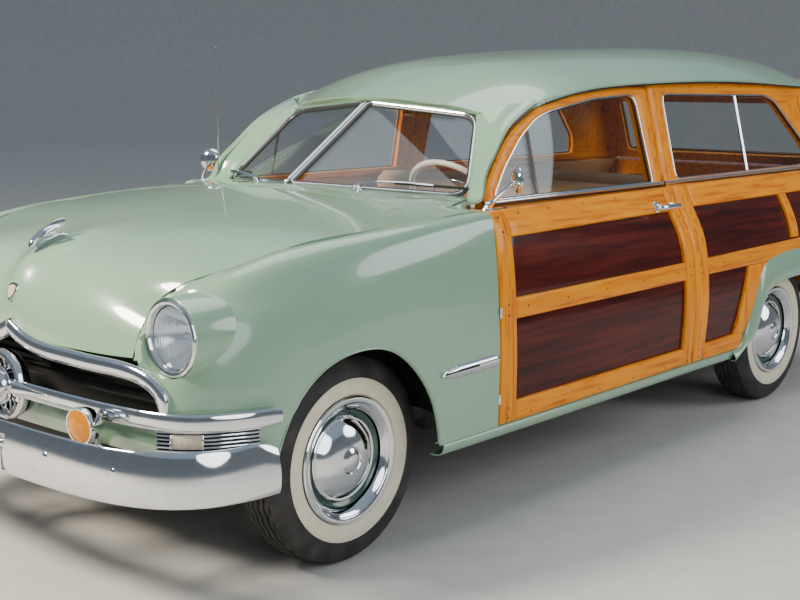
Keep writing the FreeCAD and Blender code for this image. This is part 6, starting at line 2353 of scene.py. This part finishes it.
@dataclass
class FrontLamp(SidedAssembly):
    """A headlamp, a parking lamp and a fog lamp on one side."""

    head: Point = (2290.0, 716.0, 811.0)
    lens_radius: float = 88.0
    fog: Point = (2400.0, 500.0, 558.0)

    def build(self) -> None:
        """Make the lamps of one side."""
        head_metals, parking_metals = (PLATED, MIRROR_SILVER, SHADOW), (PLATED, SHADOW, CREAM_LENS)
        head, parking, fog = map(self.shared, ("headlamps", "parking_lamps", "fog_lamps"))
        self.fit("headlamp", self.headlamp(), head_metals, "shell", "bright_metal", head)
        self.fit("headlamp_lens", self.head_lens(), (CLEAR_LENS,), "shell", "clear_glass")
        self.fit("parking_lamp", self.parking(), parking_metals, "shell", "bright_metal", parking)
        self.fit("fog_lamp", self.fog_lamp(), (PLATED, AMBER_LENS), "shell", "lamp_glass", fog)

    def headlamp(self) -> Shape:
        """Return the bezel, the reflector, and the bowl behind them in painted shade."""
        shape = Shape()
        bezel = (
            (-60, 97), (-34, 104), (-20, 111), (-10, 113), (0, 112.5), (7, 109), (10, 103), (8, 97),
            (1, 93), (-10, 90), (-14, 84), (-60, 84),
        )
        shape.turned(bezel, self.head, (1, 0, 0), 72, 0)
        reflector = tuple(
            (-100 + 88 * (radius / 86) ** 2, radius) for radius in (0, 14, 28, 42, 56, 70, 86)
        )
        shape.turned(reflector, self.head, (1, 0, 0), 48, 1)
        bulb = ((-98, 0), (-98, 14), (-70, 14), (-56, 10), (-50, 0))
        shape.turned(bulb, self.head, (1, 0, 0), 24, 0)
        # Painted shade: the bowl behind the reflector is shadow black.
        bowl = ((-150, 0), (-146, 50), (-120, 84), (-92, 97))
        shape.turned(bowl, self.head, (1, 0, 0), 48, 2)
        return shape

    def head_lens(self) -> Shape:
        """Return the domed lens."""
        shape = Shape()
        radii = np.linspace(0, self.lens_radius, 9)
        out = [(16 - 22 * (radius / self.lens_radius) ** 2, radius) for radius in radii]
        back = [(along - 4, radius) for along, radius in reversed(out)]
        shape.turned([*out, *back], self.head, (1, 0, 0), 64, 0)
        return shape

    def parking(self) -> Shape:
        """Return the ribbed housing with its lens; the housing's face between the bright ribs is
        shadow-black painted shade.
        """
        plan = PARK_PLAN[1:]
        profile = [(-20, 499), (-4, 499), (-1, 503), (-1, 552), (-4, 556), (-20, 556)]
        grid = blade([(x - 2, y) for x, y in plan], profile, 7)
        # Painted shade: the face behind the ribs is shadow black, so the gaps read as dark grooves.
        shape = Shape().capped(grid, 1, 0)
        for z in (501, 512, 523, 534, 545, 555):
            rib = blade([(x, y) for x, y in plan], oval_profile(z - 3.2, z + 3.2, 5, 4, 8), 7)
            shape.grid(rib, 0, closed_along=True)
        lens = blade(
            [(x + 3, y) for x, y in plan],
            [(-8, 507), (2, 508), (5, 514), (6, 528), (5, 542), (2, 548), (-8, 549)], 7
        )
        shape.panel(lens[4:12], 4.0, (2200, 600, 528), 2, 2)
        for upright in (lens[4], lens[11]):
            shape.swept(upright[1:-1] + (1, 0, 0), oval(3, 3, 8), (1, 0, 0), 0)
        return shape

    def fog_lamp(self) -> Shape:
        """Return the amber lamp in its bright shell."""
        shape = Shape()
        axis = (1.0, 0.09, -0.05)
        shell = (
            (-12, 0), (-10, 20), (4, 38), (22, 49), (42, 54), (56, 55), (62, 53), (62, 49), (56, 47)
        )
        shape.turned(shell, self.fog, axis, 48, 0)
        lens = [(60 + 12 * (1 - (radius / 49) ** 2), radius) for radius in np.linspace(0, 49, 8)]
        shape.turned(lens, self.fog, axis, 48, 1)
        shape.rod([(2392, 500, 470), (2404, 500, 516)], 9, 0, 12)
        return shape


@dataclass
class TailFittings(Assembly):
    """Round tail lamps and both blank plates."""

    lamp: Point = (-2276.0, 770.0, 640.0)
    plate_half: float = 152.0
    plate_height: float = 124.0

    def build(self) -> None:
        """Make the lamps and plates."""
        for side in Side:
            shape = self.tail_lamp().on_side(side)
            replaced = ("tail_lamps",) if side is Side.LEFT else ()
            piece(
                f"tail_lamp_{side.word}", shape, (PLATED, RED_LENS), "shell", replaced
            )
        piece(
            "blank_plates", self.plates(), (BLANK_PLATE, PLATED), "shell",
            ("number_plates",)
        )

    def tail_lamp(self) -> Shape:
        """Return one round lamp facing the back."""
        shape = Shape()
        shell = ((-70, 0), (-70, 30), (-30, 42), (-6, 47), (4, 48), (8, 45), (6, 41), (-4, 40))
        shape.turned(shell, self.lamp, (-1, 0, 0), 40, 0)
        lens = [(-2 + 12 * (1 - (radius / 41) ** 2), radius) for radius in np.linspace(0, 41, 8)]
        shape.turned(lens, self.lamp, (-1, 0, 0), 40, 1)
        shape.turned(((9, 12), (12, 11), (12, 0)), self.lamp, (-1, 0, 0), 24, 0)
        return shape

    def plates(self) -> Shape:
        """Return the plates with a pressed rim and two bolts each."""
        shape = Shape()
        for x, way, z_low in ((2497.0, 1, 352.0), (-2497.0, -1, 312.0)):
            corners = upright_box(
                -self.plate_half, self.plate_half, z_low, z_low + self.plate_height
            )
            loop = rounded(corners, 12, 5)
            centre = loop.mean(axis=0)
            rings = []
            for scale, out in (
                (1.0, 0.2), (1.0, 3.2), (0.97, 4.2), (0.945, 2.6), (0.5, 2.6), (0.01, 2.6)
            ):
                flat_ring = centre + (loop - centre) * (
                    scale, 1 - (1 - scale) * 1.8 if scale > 0.9 else scale
                )
                rings.append([(x + way * out, y, z) for y, z in flat_ring])
            shape.grid(np.array(rings), 0, closed_along=True)
            shape.add(rings[0], [tuple(range(len(loop)))], 0)
            for y in (-90, 90):
                at = (x + way * 2.6, y, z_low + self.plate_height - 14)
                shape.turned(((0, 0), (0, 7), (2.5, 5.5), (3.5, 0)), at, (way, 0, 0), 16, 1)
        return shape


# Wheels


@dataclass
class RoadWheel(SidedAssembly):
    """A wheel with a whitewall tyre, bright trim ring and hub cap."""

    end: End
    tread_radius: float = 338.0
    half_width: float = 88.0
    rim_radius: float = 202.0
    track_half: float = 711.0
    ribs: tuple[int, ...] = (-46, -23, 0, 23, 46)
    groove_depth: float = 7.0

    def build(self) -> None:
        """Make the tyre and the wheel."""
        place = f"{self.end.name.lower()}_{self.side.word}"
        body = f"wheel_{place}_body"
        finishes = (TYRE_RUBBER, CREAM_RUBBER)
        piece(
            f"tyre_{place}_dressed", self.tyre(), finishes, body, (f"tyre_{place}",),
            30
        )
        metals = (PLATED, WHEEL_GREEN, CHASSIS_BLACK)
        piece(
            f"wheel_{place}_dressed", self.wheel(), metals, body,
            (f"wheel_{place}",), 30
        )

    @property
    def centre(self) -> Point:
        """The wheel's middle."""
        return self.end.value, self.side.value * self.track_half, self.tread_radius

    @property
    def axis(self) -> Point:
        """The wheel's axle direction, outward."""
        return 0.0, float(self.side.value), 0.0

    def tyre(self) -> Shape:
        """Return the tyre: a ribbed tread with cross grooves, shoulders and the white band."""
        shape = Shape()
        side_wall = [
            (66, self.rim_radius - 8), (68, self.rim_radius + 1), (76, 206), (83, 212),
            (86.5, 224), (88, 240), (87.5, 254), (85.5, 262),
        ]
        black_wall = [
            (85.5, 262), (87, 264), (86.5, 276), (84, 290), (80, 303), (75, 314), (70, 323),
            (65, 329.5)
        ]
        for wall, sign, mark in (
            (side_wall, 1, 1), (black_wall, 1, 0), (side_wall, -1, 0), (black_wall, -1, 0)
        ):
            shape.turned([(sign * a, r) for a, r in wall], self.centre, self.axis, 96, mark)
        self.tread(shape)
        inner = [(66, 8), (60, 6), (0, 4), (-60, 6), (-66, 8)]
        shape.turned(
            [(a, self.rim_radius - drop) for a, drop in inner], self.centre, self.axis, 96, 0
        )
        return shape

    def tread(self, shape: Shape) -> None:
        """Add the tread's five zigzag ribs and the grooves between them."""
        segments = 144
        centre_x, centre_y, centre_z = self.centre
        grid = []
        for index in range(segments):
            angle = 2 * math.pi * index / segments
            sway = 2.6 * (1 if index % 4 < 2 else -1)
            row = [(-65, 329.5), (-58, 333.0)]
            for rib in self.ribs:
                crown = self.tread_radius - 0.0016 * rib * rib - 0.4
                notch = 4.0 if index % 4 == 0 and abs(rib) == self.ribs[-1] else 0.0
                top, foot = crown - notch, crown - self.groove_depth
                row += [(rib - 8.6 + sway, foot), (rib - 8.0 + sway, top)]
                row += [(rib + 8.0 + sway, top), (rib + 8.6 + sway, foot)]
            row += [(58, 333.0), (65, 329.5)]
            sine, cosine, sign = math.sin(angle), math.cos(angle), self.side.value
            grid.append(
                [(centre_x + r * sine, centre_y + sign * a, centre_z + r * cosine) for a, r in row]
            )
        shape.grid(np.array(grid), 0, closed_down=True)

    def wheel(self) -> Shape:
        """Return the rim, disc, ring, cap, drum and valve."""
        shape = Shape()
        centre, axis = self.centre, self.axis
        ring = (
            (60, 168), (58, 165), (62, 161), (68, 165), (75, 173), (82, 184), (86, 194), (86, 200),
            (83, 204), (79, 204), (74, 198),
        )
        shape.turned(ring, centre, axis, 96, 0)
        for radius, along in ((172, 74.0), (184, 82.0)):
            shape.turned(
                ((along, radius - 2.2), (along + 2.0, radius), (along, radius + 2.2)), centre, axis,
                96, 0
            )
        disc = (
            (30, 60), (36, 100), (44, 124), (46, 134), (44, 142), (48, 150), (60, 168), (66, 186),
            (70, 198), (64, 203)
        )
        shape.turned(disc, centre, axis, 96, 1)
        cap = (
            (46, 137), (52, 138), (55, 134), (54, 128), (58, 122), (66, 112), (76, 96), (84, 74),
            (88, 50), (89, 44), (86, 40), (87, 36), (92, 28), (94, 14), (95, 0),
        )
        shape.turned(cap, centre, axis, 96, 0)
        well = (
            (64, 203), (60, 192), (40, 178), (-30, 176), (-58, 188), (-70, 192), (-76, 202),
            (-72, 204), (-66, 194),
        )
        shape.turned(well, centre, axis, 72, 1)
        drum = (
            (28, 60), (26, 142), (14, 146), (-56, 146), (-60, 140), (-56, 132), (0, 130), (2, 62)
        )
        shape.turned(drum, centre, axis, 72, 2)
        valve = Vector(centre) + Vector((0, 0, 1)) * 168 + Vector(axis) * 62
        shape.rod([tuple(valve), tuple(valve + Vector(axis) * 20 - Vector((0, 0, 6)))], 4, 2, 8)
        return shape


# Inside


@dataclass
class Cabin(Assembly):
    """Benches, dashboard, steering wheel and floor coverings."""

    wheel_centre: Point = (621.0, 380.0, 1043.0)
    wheel_radius: float = 216.0
    rise: float = math.radians(40)

    def build(self) -> None:
        """Make the inside."""
        self.bench("front_bench", "front_seat", ((-92, 512, 640, 690), (-126, 1085)), 640)
        self.bench("rear_bench", "rear_seat", ((-840, -368, 640, 738), (-952, 1060)), 540)
        piece(
            "dash", self.dashboard(), (DASH_BROWN, PLATED, IVORY), "shell",
            ("dashboard",)
        )
        piece(
            "column", self.column(), (IVORY, CHASSIS_BLACK), "shell",
            ("steering_column",)
        )
        piece(
            "hand_wheel", self.hand_wheel(), (IVORY, PLATED), "steering_wheel_body",
            ("steering_wheel",)
        )
        piece(
            "floor_covering", self.floor(), (FLOOR_MAT, MAPLE_ALONG, PLATED), "shell"
        )

    def bench(self, name: str, node: str, sizes: tuple, half: float) -> None:
        """Make one bench: a padded cushion and back on a base.

        Args:
            name: The bench's name.
            node: The CAD node that it replaces.
            sizes: The cushion's rear, front, underside and top, then the back's rear and top.
            half: Half its width.
        """
        (rear, front, low, top), (back_rear, back_top) = sizes
        cushion = self.cushion((rear + 66, front, low - 90, top), half, 5, False)
        rest = self.cushion((back_rear, rear + 150, low + 10, back_top), half, 5, True)
        both = Shape().merged(cushion, rest)
        pads = piece(
            f"{name}_pads", both, (TAN_HIDE, DARK_HIDE), "shell", (node,), 50
        )
        floor = 405.0
        base = Shape()
        rails = [(rear + 40, floor + 12), (front - 70, floor + 12)]
        for sign in (1, -1):
            y = sign * (half - 60)
            base.swept(
                np.array([(rails[0][0], y, floor + 14), (rails[1][0], y, floor + 14)]),
                oval(12, 16, 10), (0, 0, 1), 1
            )
            for x in (rails[0][0] + 30, rails[1][0] - 30):
                base.rod([(x, y, floor), (x, y, low - 84)], 13, 1, 10)
        pan = [
            (rear + 20, low - 120), (front - 30, low - 120), (front - 6, low - 84),
            (rear + 20, low - 84)
        ]
        pan_grid = np.array([
            [(x, y, z) for x, z in rounded(pan, 14, 4)] for y in np.linspace(-half + 8, half - 8, 5)
        ])
        base.capped(pan_grid)
        piece(f"{name}_base", base, (DARK_HIDE, CHASSIS_BLACK), "shell")

    @staticmethod
    def cushion(
        limits: tuple[float, float, float, float], half: float, channels: int, upright: bool
    ) -> Shape:
        """Return a plump pad with channels sewn across and rounded edges.

        Args:
            limits: Its lowest and highest x, then z.
            half: Half its width.
            channels: How many channels the face has.
            upright: Whether it is a back that leans rearward.
        Returns:
            The pad, closed.
        """
        x_low, x_high, z_low, z_high = limits
        depth = x_high - x_low
        height = z_high - z_low
        columns = 61
        rows = []
        for index in range(columns):
            y = -half + 2 * half * index / (columns - 1)
            edge = min(1.0, (half - abs(y)) / 46)
            round_off = math.sqrt(max(0.0, 1 - (1 - edge) ** 2))
            swell = 1 - 0.35 * (y / half) ** 2
            line = []
            if upright:
                for share in np.linspace(0, 1, 25):
                    groove = abs(math.sin(math.pi * share * (channels + 2))) ** 0.5
                    z = z_low + height * share
                    lean_x = -(z - z_low) * 0.10
                    tip = math.sqrt(max(0.0, 1 - max(0.0, (share - 0.86) / 0.14) ** 2))
                    face = (
                        x_low + 60 + (depth - 96) * (0.35 + 0.65 * tip * round_off)
                        + 16 * groove * swell * round_off
                    )
                    line.append((face + lean_x * (1 - share * 0.2) + 24, y, z))
                back = [
                    (x_low + 26 * (1 - share) + 12, y, z_low + height * share)
                    for share in np.linspace(1, 0, 8)
                ]
                line += back
            else:
                front_drop = 0.5 * height
                for share in np.linspace(0, 1, 25):
                    groove = abs(math.sin(math.pi * share * (channels + 1))) ** 0.5
                    x = x_low + depth * share
                    fall = max(0.0, (share - 0.8) / 0.2) ** 2 * front_drop
                    rise = (
                        (height * 0.72) * (0.55 + 0.45 * round_off)
                        + 18 * groove * swell * round_off
                    )
                    line.append((x, y, min(z_high + 6, z_low + rise + 26 - fall)))
                line += [
                    (x_high - 8, y, z_low), (x_low + depth * 0.5, y, z_low), (x_low + 8, y, z_low)
                ]
            rows.append(line)
        return Shape().capped(np.array(rows), 0, 1)

    def dashboard(self) -> Shape:
        """Return the dash with its instrument dial, glove box, grille and knobs."""
        shape = Shape()
        outline = rounded(
            [
                (1090, 1050), (906, 1060), (862, 1036), (852, 1004), (860, 880), (900, 850),
                (1090, 930)
            ],
            22, 6
        )
        stations = np.linspace(-668, 668, 29)
        grid = []
        for y in stations:
            edge = max(0.0, (abs(y) - 600) / 68)
            grid.append(
                [(x + 22 * edge**2 * (1 if x < 950 else 0), y, z - 6 * edge**2) for x, z in outline]
            )
        shape.capped(np.array(grid))
        shape.turned(
            ((-6, 92), (4, 96), (9, 90), (5, 82), (-8, 80)), (852, 380, 950), (-1, 0, 0), 56, 1
        )
        shape.turned(((-2, 81), (-1, 40), (-1, 0)), (852, 380, 950), (-1, 0, 0), 40, 2)
        for y in (110, 150, 190, -110, -150, 240):
            shape.turned(
                ((-4, 6), (14, 6), (16, 14), (26, 13), (30, 0)), (856, y, 902), (-1, 0, 0), 18, 2
            )
        for z in np.linspace(912, 992, 8):
            shape.swept(np.array([(853, -80, z), (853, 80, z)]), oval(3, 4, 8), (-1, 0, 0), 1)
        door = rounded([(-560, 900), (-260, 900), (-260, 996), (-560, 996)], 16, 5)
        loop = np.array([(853.0, y, z) for y, z in np.vstack([door, door[:2]])])
        shape.swept(loop, oval(2.5, 3, 8), (-1, 0, 0), 1, caps=False)
        shape.turned(((-2, 12), (8, 12), (11, 0)), (853, -410, 984), (-1, 0, 0), 20, 1)
        return shape

    def column(self) -> Shape:
        """Return the steering column with its shift lever and indicator lever."""
        shape = Shape()
        axis = Vector((-math.cos(self.rise), 0, math.sin(self.rise)))
        centre = Vector(self.wheel_centre)
        profile = (
            (-636, 0), (-636, 23), (-240, 23), (-200, 26), (-96, 27), (-84, 33), (-56, 36),
            (-52, 30), (-52, 0)
        )
        shape.turned(profile, tuple(centre), tuple(axis), 32, 0)
        root = centre - axis * 100
        for sign, reach, drop in ((-1, 190, 20), (1, 120, -10)):
            tip = root + Vector((-24, sign * reach, drop))
            shape.rod([tuple(root), tuple(tip)], 4.5, 1, 10)
            way = tip - root
            shape.turned(
                ((-14, 0), (-12, 8), (0, 12), (12, 9), (16, 0)), tuple(tip), tuple(way), 18, 0
            )
        return shape

    def hand_wheel(self) -> Shape:
        """Return the steering wheel with its grip bumps, spokes and horn ring."""
        shape = Shape()
        axis = Vector((-math.cos(self.rise), 0, math.sin(self.rise)))
        centre = Vector(self.wheel_centre)
        side = Vector((0, 1, 0))
        up = axis.cross(side)

        def ring(
            radius: float, thickness: float, lift: float, start: float, stop: float, mark: int,
            knurl: float = 0.0
        ) -> None:
            """Add a round bar bent to an arc in the wheel's plane."""
            angles = np.linspace(start, stop, 97)
            path = np.array([
                tuple(
                    centre + axis * lift + side * radius * math.cos(a) + up * radius * math.sin(a)
                )
                for a in angles
            ])
            scales = 1 + knurl * np.abs(np.sin(angles * 16))
            closed = abs(stop - start - 2 * math.pi) < 1e-6
            shape.swept(path, circle(thickness, 12), tuple(axis), mark, not closed, scales)

        ring(self.wheel_radius - 1, 11, 0, 0, 2 * math.pi, 0, 0.10)
        ring(118, 4.5, 10, math.radians(200), math.radians(340), 1)
        hub = ((-48, 0), (-48, 40), (-30, 44), (-14, 46), (2, 42), (10, 34), (14, 32))
        shape.turned(hub, tuple(centre), tuple(axis), 40, 0)
        shape.turned(((14, 33), (18, 31), (22, 22), (24, 0)), tuple(centre), tuple(axis), 40, 1)
        for sign in (1, -1):
            path = np.array([
                tuple(centre + side * sign * r + axis * lift)
                for r, lift in ((30, -8), (90, -10), (150, -7), (207, -1))
            ])
            shape.swept(
                smooth_line(path, 4), oval(5, 11, 12), tuple(axis), 0, True,
                np.linspace(1.3, 0.8, 13)
            )
            shape.rod(
                [
                    tuple(centre + side * sign * 112 + axis * 10 - up * 38),
                    tuple(centre + side * sign * 40 + axis * 8)
                ],
                3.5, 1, 8
            )
        return shape

    def floor(self) -> Shape:
        """Return the mats, the slatted load floor with its bright strips, and the pedals."""
        shape = Shape()
        levels = ((1, 405.2), (0.995, 410), (0.5, 410), (0.01, 410))
        for sign in (1, -1):
            loop = rounded(upright_box(-380, 780, *sorted((sign * 110, sign * 770))), 30, 5)
            middle = loop.mean(0)
            rings = [[(x, y, z) for x, y in (loop - middle) * k + middle] for k, z in levels]
            shape.grid(np.array(rings), 0, closed_along=True)
        count = 9
        for index in range(count):
            y = -536 + 1072 * (index + 0.5) / count
            half = 1072 / count / 2
            corners = upright_box(y - half, y + half, -2168, -987)
            Plank(corners, Grain.ALONG, 6.5, 2, 0, 240).lay(shape, load_floor_plane, 1)
            if index:
                edge = y - half
                shape.swept(
                    np.array([(-2160, edge, 587.5), (-995, edge, 587.5)]), oval(2, 7, 8), (0, 0, 1),
                    2
                )
        for y, z_top in ((430, 560), (330, 560), (240, 540)):
            shape.rod([(1094, y, 700), (1020, y, 640), (960, y, z_top)], 7, 2, 8)
            pad = rounded([(-26, -20), (26, -20), (26, 20), (-26, 20)], 8, 4)
            steps = ((1, 0), (1, -8), (0.9, -11), (0.02, -11))
            rings = [
                [(956 + b * 0.5 + out, y + a, z_top + b * 0.85 + out * 0.5) for a, b in pad * scale]
                for scale, out in steps
            ]
            shape.grid(np.array(rings), 0, closed_along=True)
        return shape


def load_floor_plane(points: np.ndarray, drop: np.ndarray) -> np.ndarray:
    """Put (y, x) points on top of the load floor."""
    return np.column_stack([points[:, 1], points[:, 0], 587.2 - np.asarray(drop)])


@dataclass
class Underside(Assembly):
    """What carries the car: CAD nodes that stay, with worn finishes of their own."""

    finishes: tuple[tuple[str, Finish], ...] = (
        ("chassis_frame", CHASSIS_BLACK),
        ("front_suspension", CHASSIS_BLACK),
        ("rear_axle", CHASSIS_BLACK),
        ("leaf_springs", CHASSIS_BLACK),
        ("driveshaft", CHASSIS_BLACK),
        ("knuckle_left", CHASSIS_BLACK),
        ("knuckle_right", CHASSIS_BLACK),
        ("fuel_tank", UNDERSEAL),
        ("body_tub", UNDERSEAL),
        ("engine_block", CAST_IRON),
        ("radiator", CAST_IRON),
        ("exhaust", PIPE_STEEL),
    )

    def build(self) -> None:
        """Dress each node."""
        for node, finish in self.finishes:
            dress_node(node, finish)


# Studio


@dataclass
class Studio:
    """Pale floor, soft lights and the camera at the photograph's angle."""

    camera_at: Point = (4521.4, 3556.9, 1530.2)
    yaw: float = math.radians(-138.206)
    pitch: float = math.radians(-9.735)
    roll: float = math.radians(0.08)
    lens: float = 59.04
    backdrop: tuple[Flat, ...] = (
        # radius and height of each ring of the floor
        (60, 0), (3000, 0), (12000, 0), (26000, 0), (29000, 700), (31000, 2600), (32200, 5600),
        (32800, 14000),
    )

    def build(self) -> None:
        """Set up the floor, the world, the lights and the camera."""
        self.floor()
        self.world()
        self.light("key", (5400, -1600, 4200), (900, 0, 700), 1500, 620, (1.0, 0.90, 0.74))
        self.light("front", (3200, 5600, 2600), (700, 600, 700), 3600, 105, (0.92, 0.96, 1.0))
        self.light("side", (-3600, 5200, 3000), (-800, 700, 700), 3600, 130, (0.96, 0.97, 1.0))
        self.light("top", (-300, 0, 5200), (0, 0, 900), 4600, 120, (0.97, 0.98, 1.0))
        self.camera()

    def floor(self) -> None:
        """Make the floor, which curves up behind the car."""
        shape = Shape()
        angles = np.linspace(0, 2 * math.pi, 64, endpoint=False)
        rings = [
            [(radius * math.cos(a), radius * math.sin(a), FLOOR_Z + height) for a in angles]
            for radius, height in self.backdrop
        ]
        shape.grid(np.array(rings), 0, closed_along=True)
        shape.add(rings[0], [tuple(range(64))], 0)
        floor = plain_object("studio_floor", shape.mesh("studio_floor", 80))
        floor.data.materials.append(
            SatinMetal(
                "studio_paper", (0.60, 0.58, 0.54), (0.55, 0.53, 0.50), 0.75, 0.0, 40
            ).material()
        )

    @staticmethod
    def world() -> None:
        """Light the room with a soft gradient, paler above."""
        world = bpy.data.worlds.new("studio_air")
        bpy.context.scene.world = world
        world.use_nodes = True
        tree = world.node_tree
        tree.nodes.clear()
        output = tree.nodes.new("ShaderNodeOutputWorld")
        background = tree.nodes.new("ShaderNodeBackground")
        background.inputs[1].default_value = 0.42
        place = tree.nodes.new("ShaderNodeTexCoord")
        split = tree.nodes.new("ShaderNodeSeparateXYZ")
        shade = tree.nodes.new("ShaderNodeValToRGB")
        tree.links.new(place.outputs["Generated"], split.inputs[0])
        remap = tree.nodes.new("ShaderNodeMapRange")
        for key, value in (("From Min", -1.0), ("From Max", 1.0)):
            remap.inputs[key].default_value = value
        tree.links.new(split.outputs[2], remap.inputs["Value"])
        tree.links.new(remap.outputs[0], shade.inputs[0])
        stops = (
            (0.0, (0.26, 0.23, 0.20)), (0.49, (0.50, 0.50, 0.50)), (0.54, (0.50, 0.66, 0.94)),
            (1.0, (0.74, 0.87, 1.0))
        )
        elements = shade.color_ramp.elements
        while len(elements) < len(stops):
            elements.new(0.5)
        for element, (at, colour) in zip(elements, stops):
            element.position = at
            element.color = (*colour, 1.0)
        tree.links.new(shade.outputs[0], background.inputs[0])
        tree.links.new(background.outputs[0], output.inputs[0])

    @staticmethod
    def light(name: str, at: Point, aim: Point, size: float, watts: float, colour: Colour) -> None:
        """Hang one soft area light that looks at a point."""
        lamp = bpy.data.lights.new(f"{name}_light", "AREA")
        lamp.shape = "DISK"
        lamp.size = size * MM
        lamp.energy = watts
        lamp.color = colour
        holder = bpy.data.objects.new(f"{name}_light", lamp)
        bpy.context.scene.collection.objects.link(holder)
        start = Vector(at) * MM
        way = Vector(aim) * MM - start
        turn = way.to_track_quat("-Z", "Y").to_matrix().to_4x4()
        holder.matrix_world = Matrix.Translation(start) @ turn

    def camera(self) -> None:
        """Set the camera as the photograph was taken."""
        data = bpy.data.cameras.new("photo_camera")
        data.lens = self.lens
        data.sensor_width = 36.0
        data.clip_end = 200.0
        data.dof.use_dof = False
        holder = bpy.data.objects.new("photo_camera", data)
        bpy.context.scene.collection.objects.link(holder)
        look = Vector((
            math.cos(self.yaw) * math.cos(self.pitch), math.sin(self.yaw) * math.cos(self.pitch),
            math.sin(self.pitch)
        ))
        turn = look.to_track_quat("-Z", "Y").to_matrix().to_4x4()
        holder.matrix_world = (
            Matrix.Translation(Vector(self.camera_at) * MM)
            @ turn
            @ Matrix.Rotation(self.roll, 4, "Z")
        )
        bpy.context.scene.camera = holder


def main() -> None:
    """Build and dress the whole car, then the studio round it."""
    logging.basicConfig(level=logging.INFO, format="%(message)s")
    assemblies: list[Assembly] = []
    for side in Side:
        assemblies += [
            WoodDoor(side), WoodSide(side), RearWing(side), FrontWing(side), FrontLamp(side)
        ]
        assemblies += [RoadWheel(side, end) for end in End]
    assemblies += [
        Tail(), Bonnet(), UpperShell(), Grille(), Bumper(True), Bumper(False, -40.0), TailFittings()
    ]
    assemblies += [Cabin(), Underside()]
    for assembly in assemblies:
        assembly.build()
    Studio().build()


if __name__ == "__main__":
    main()
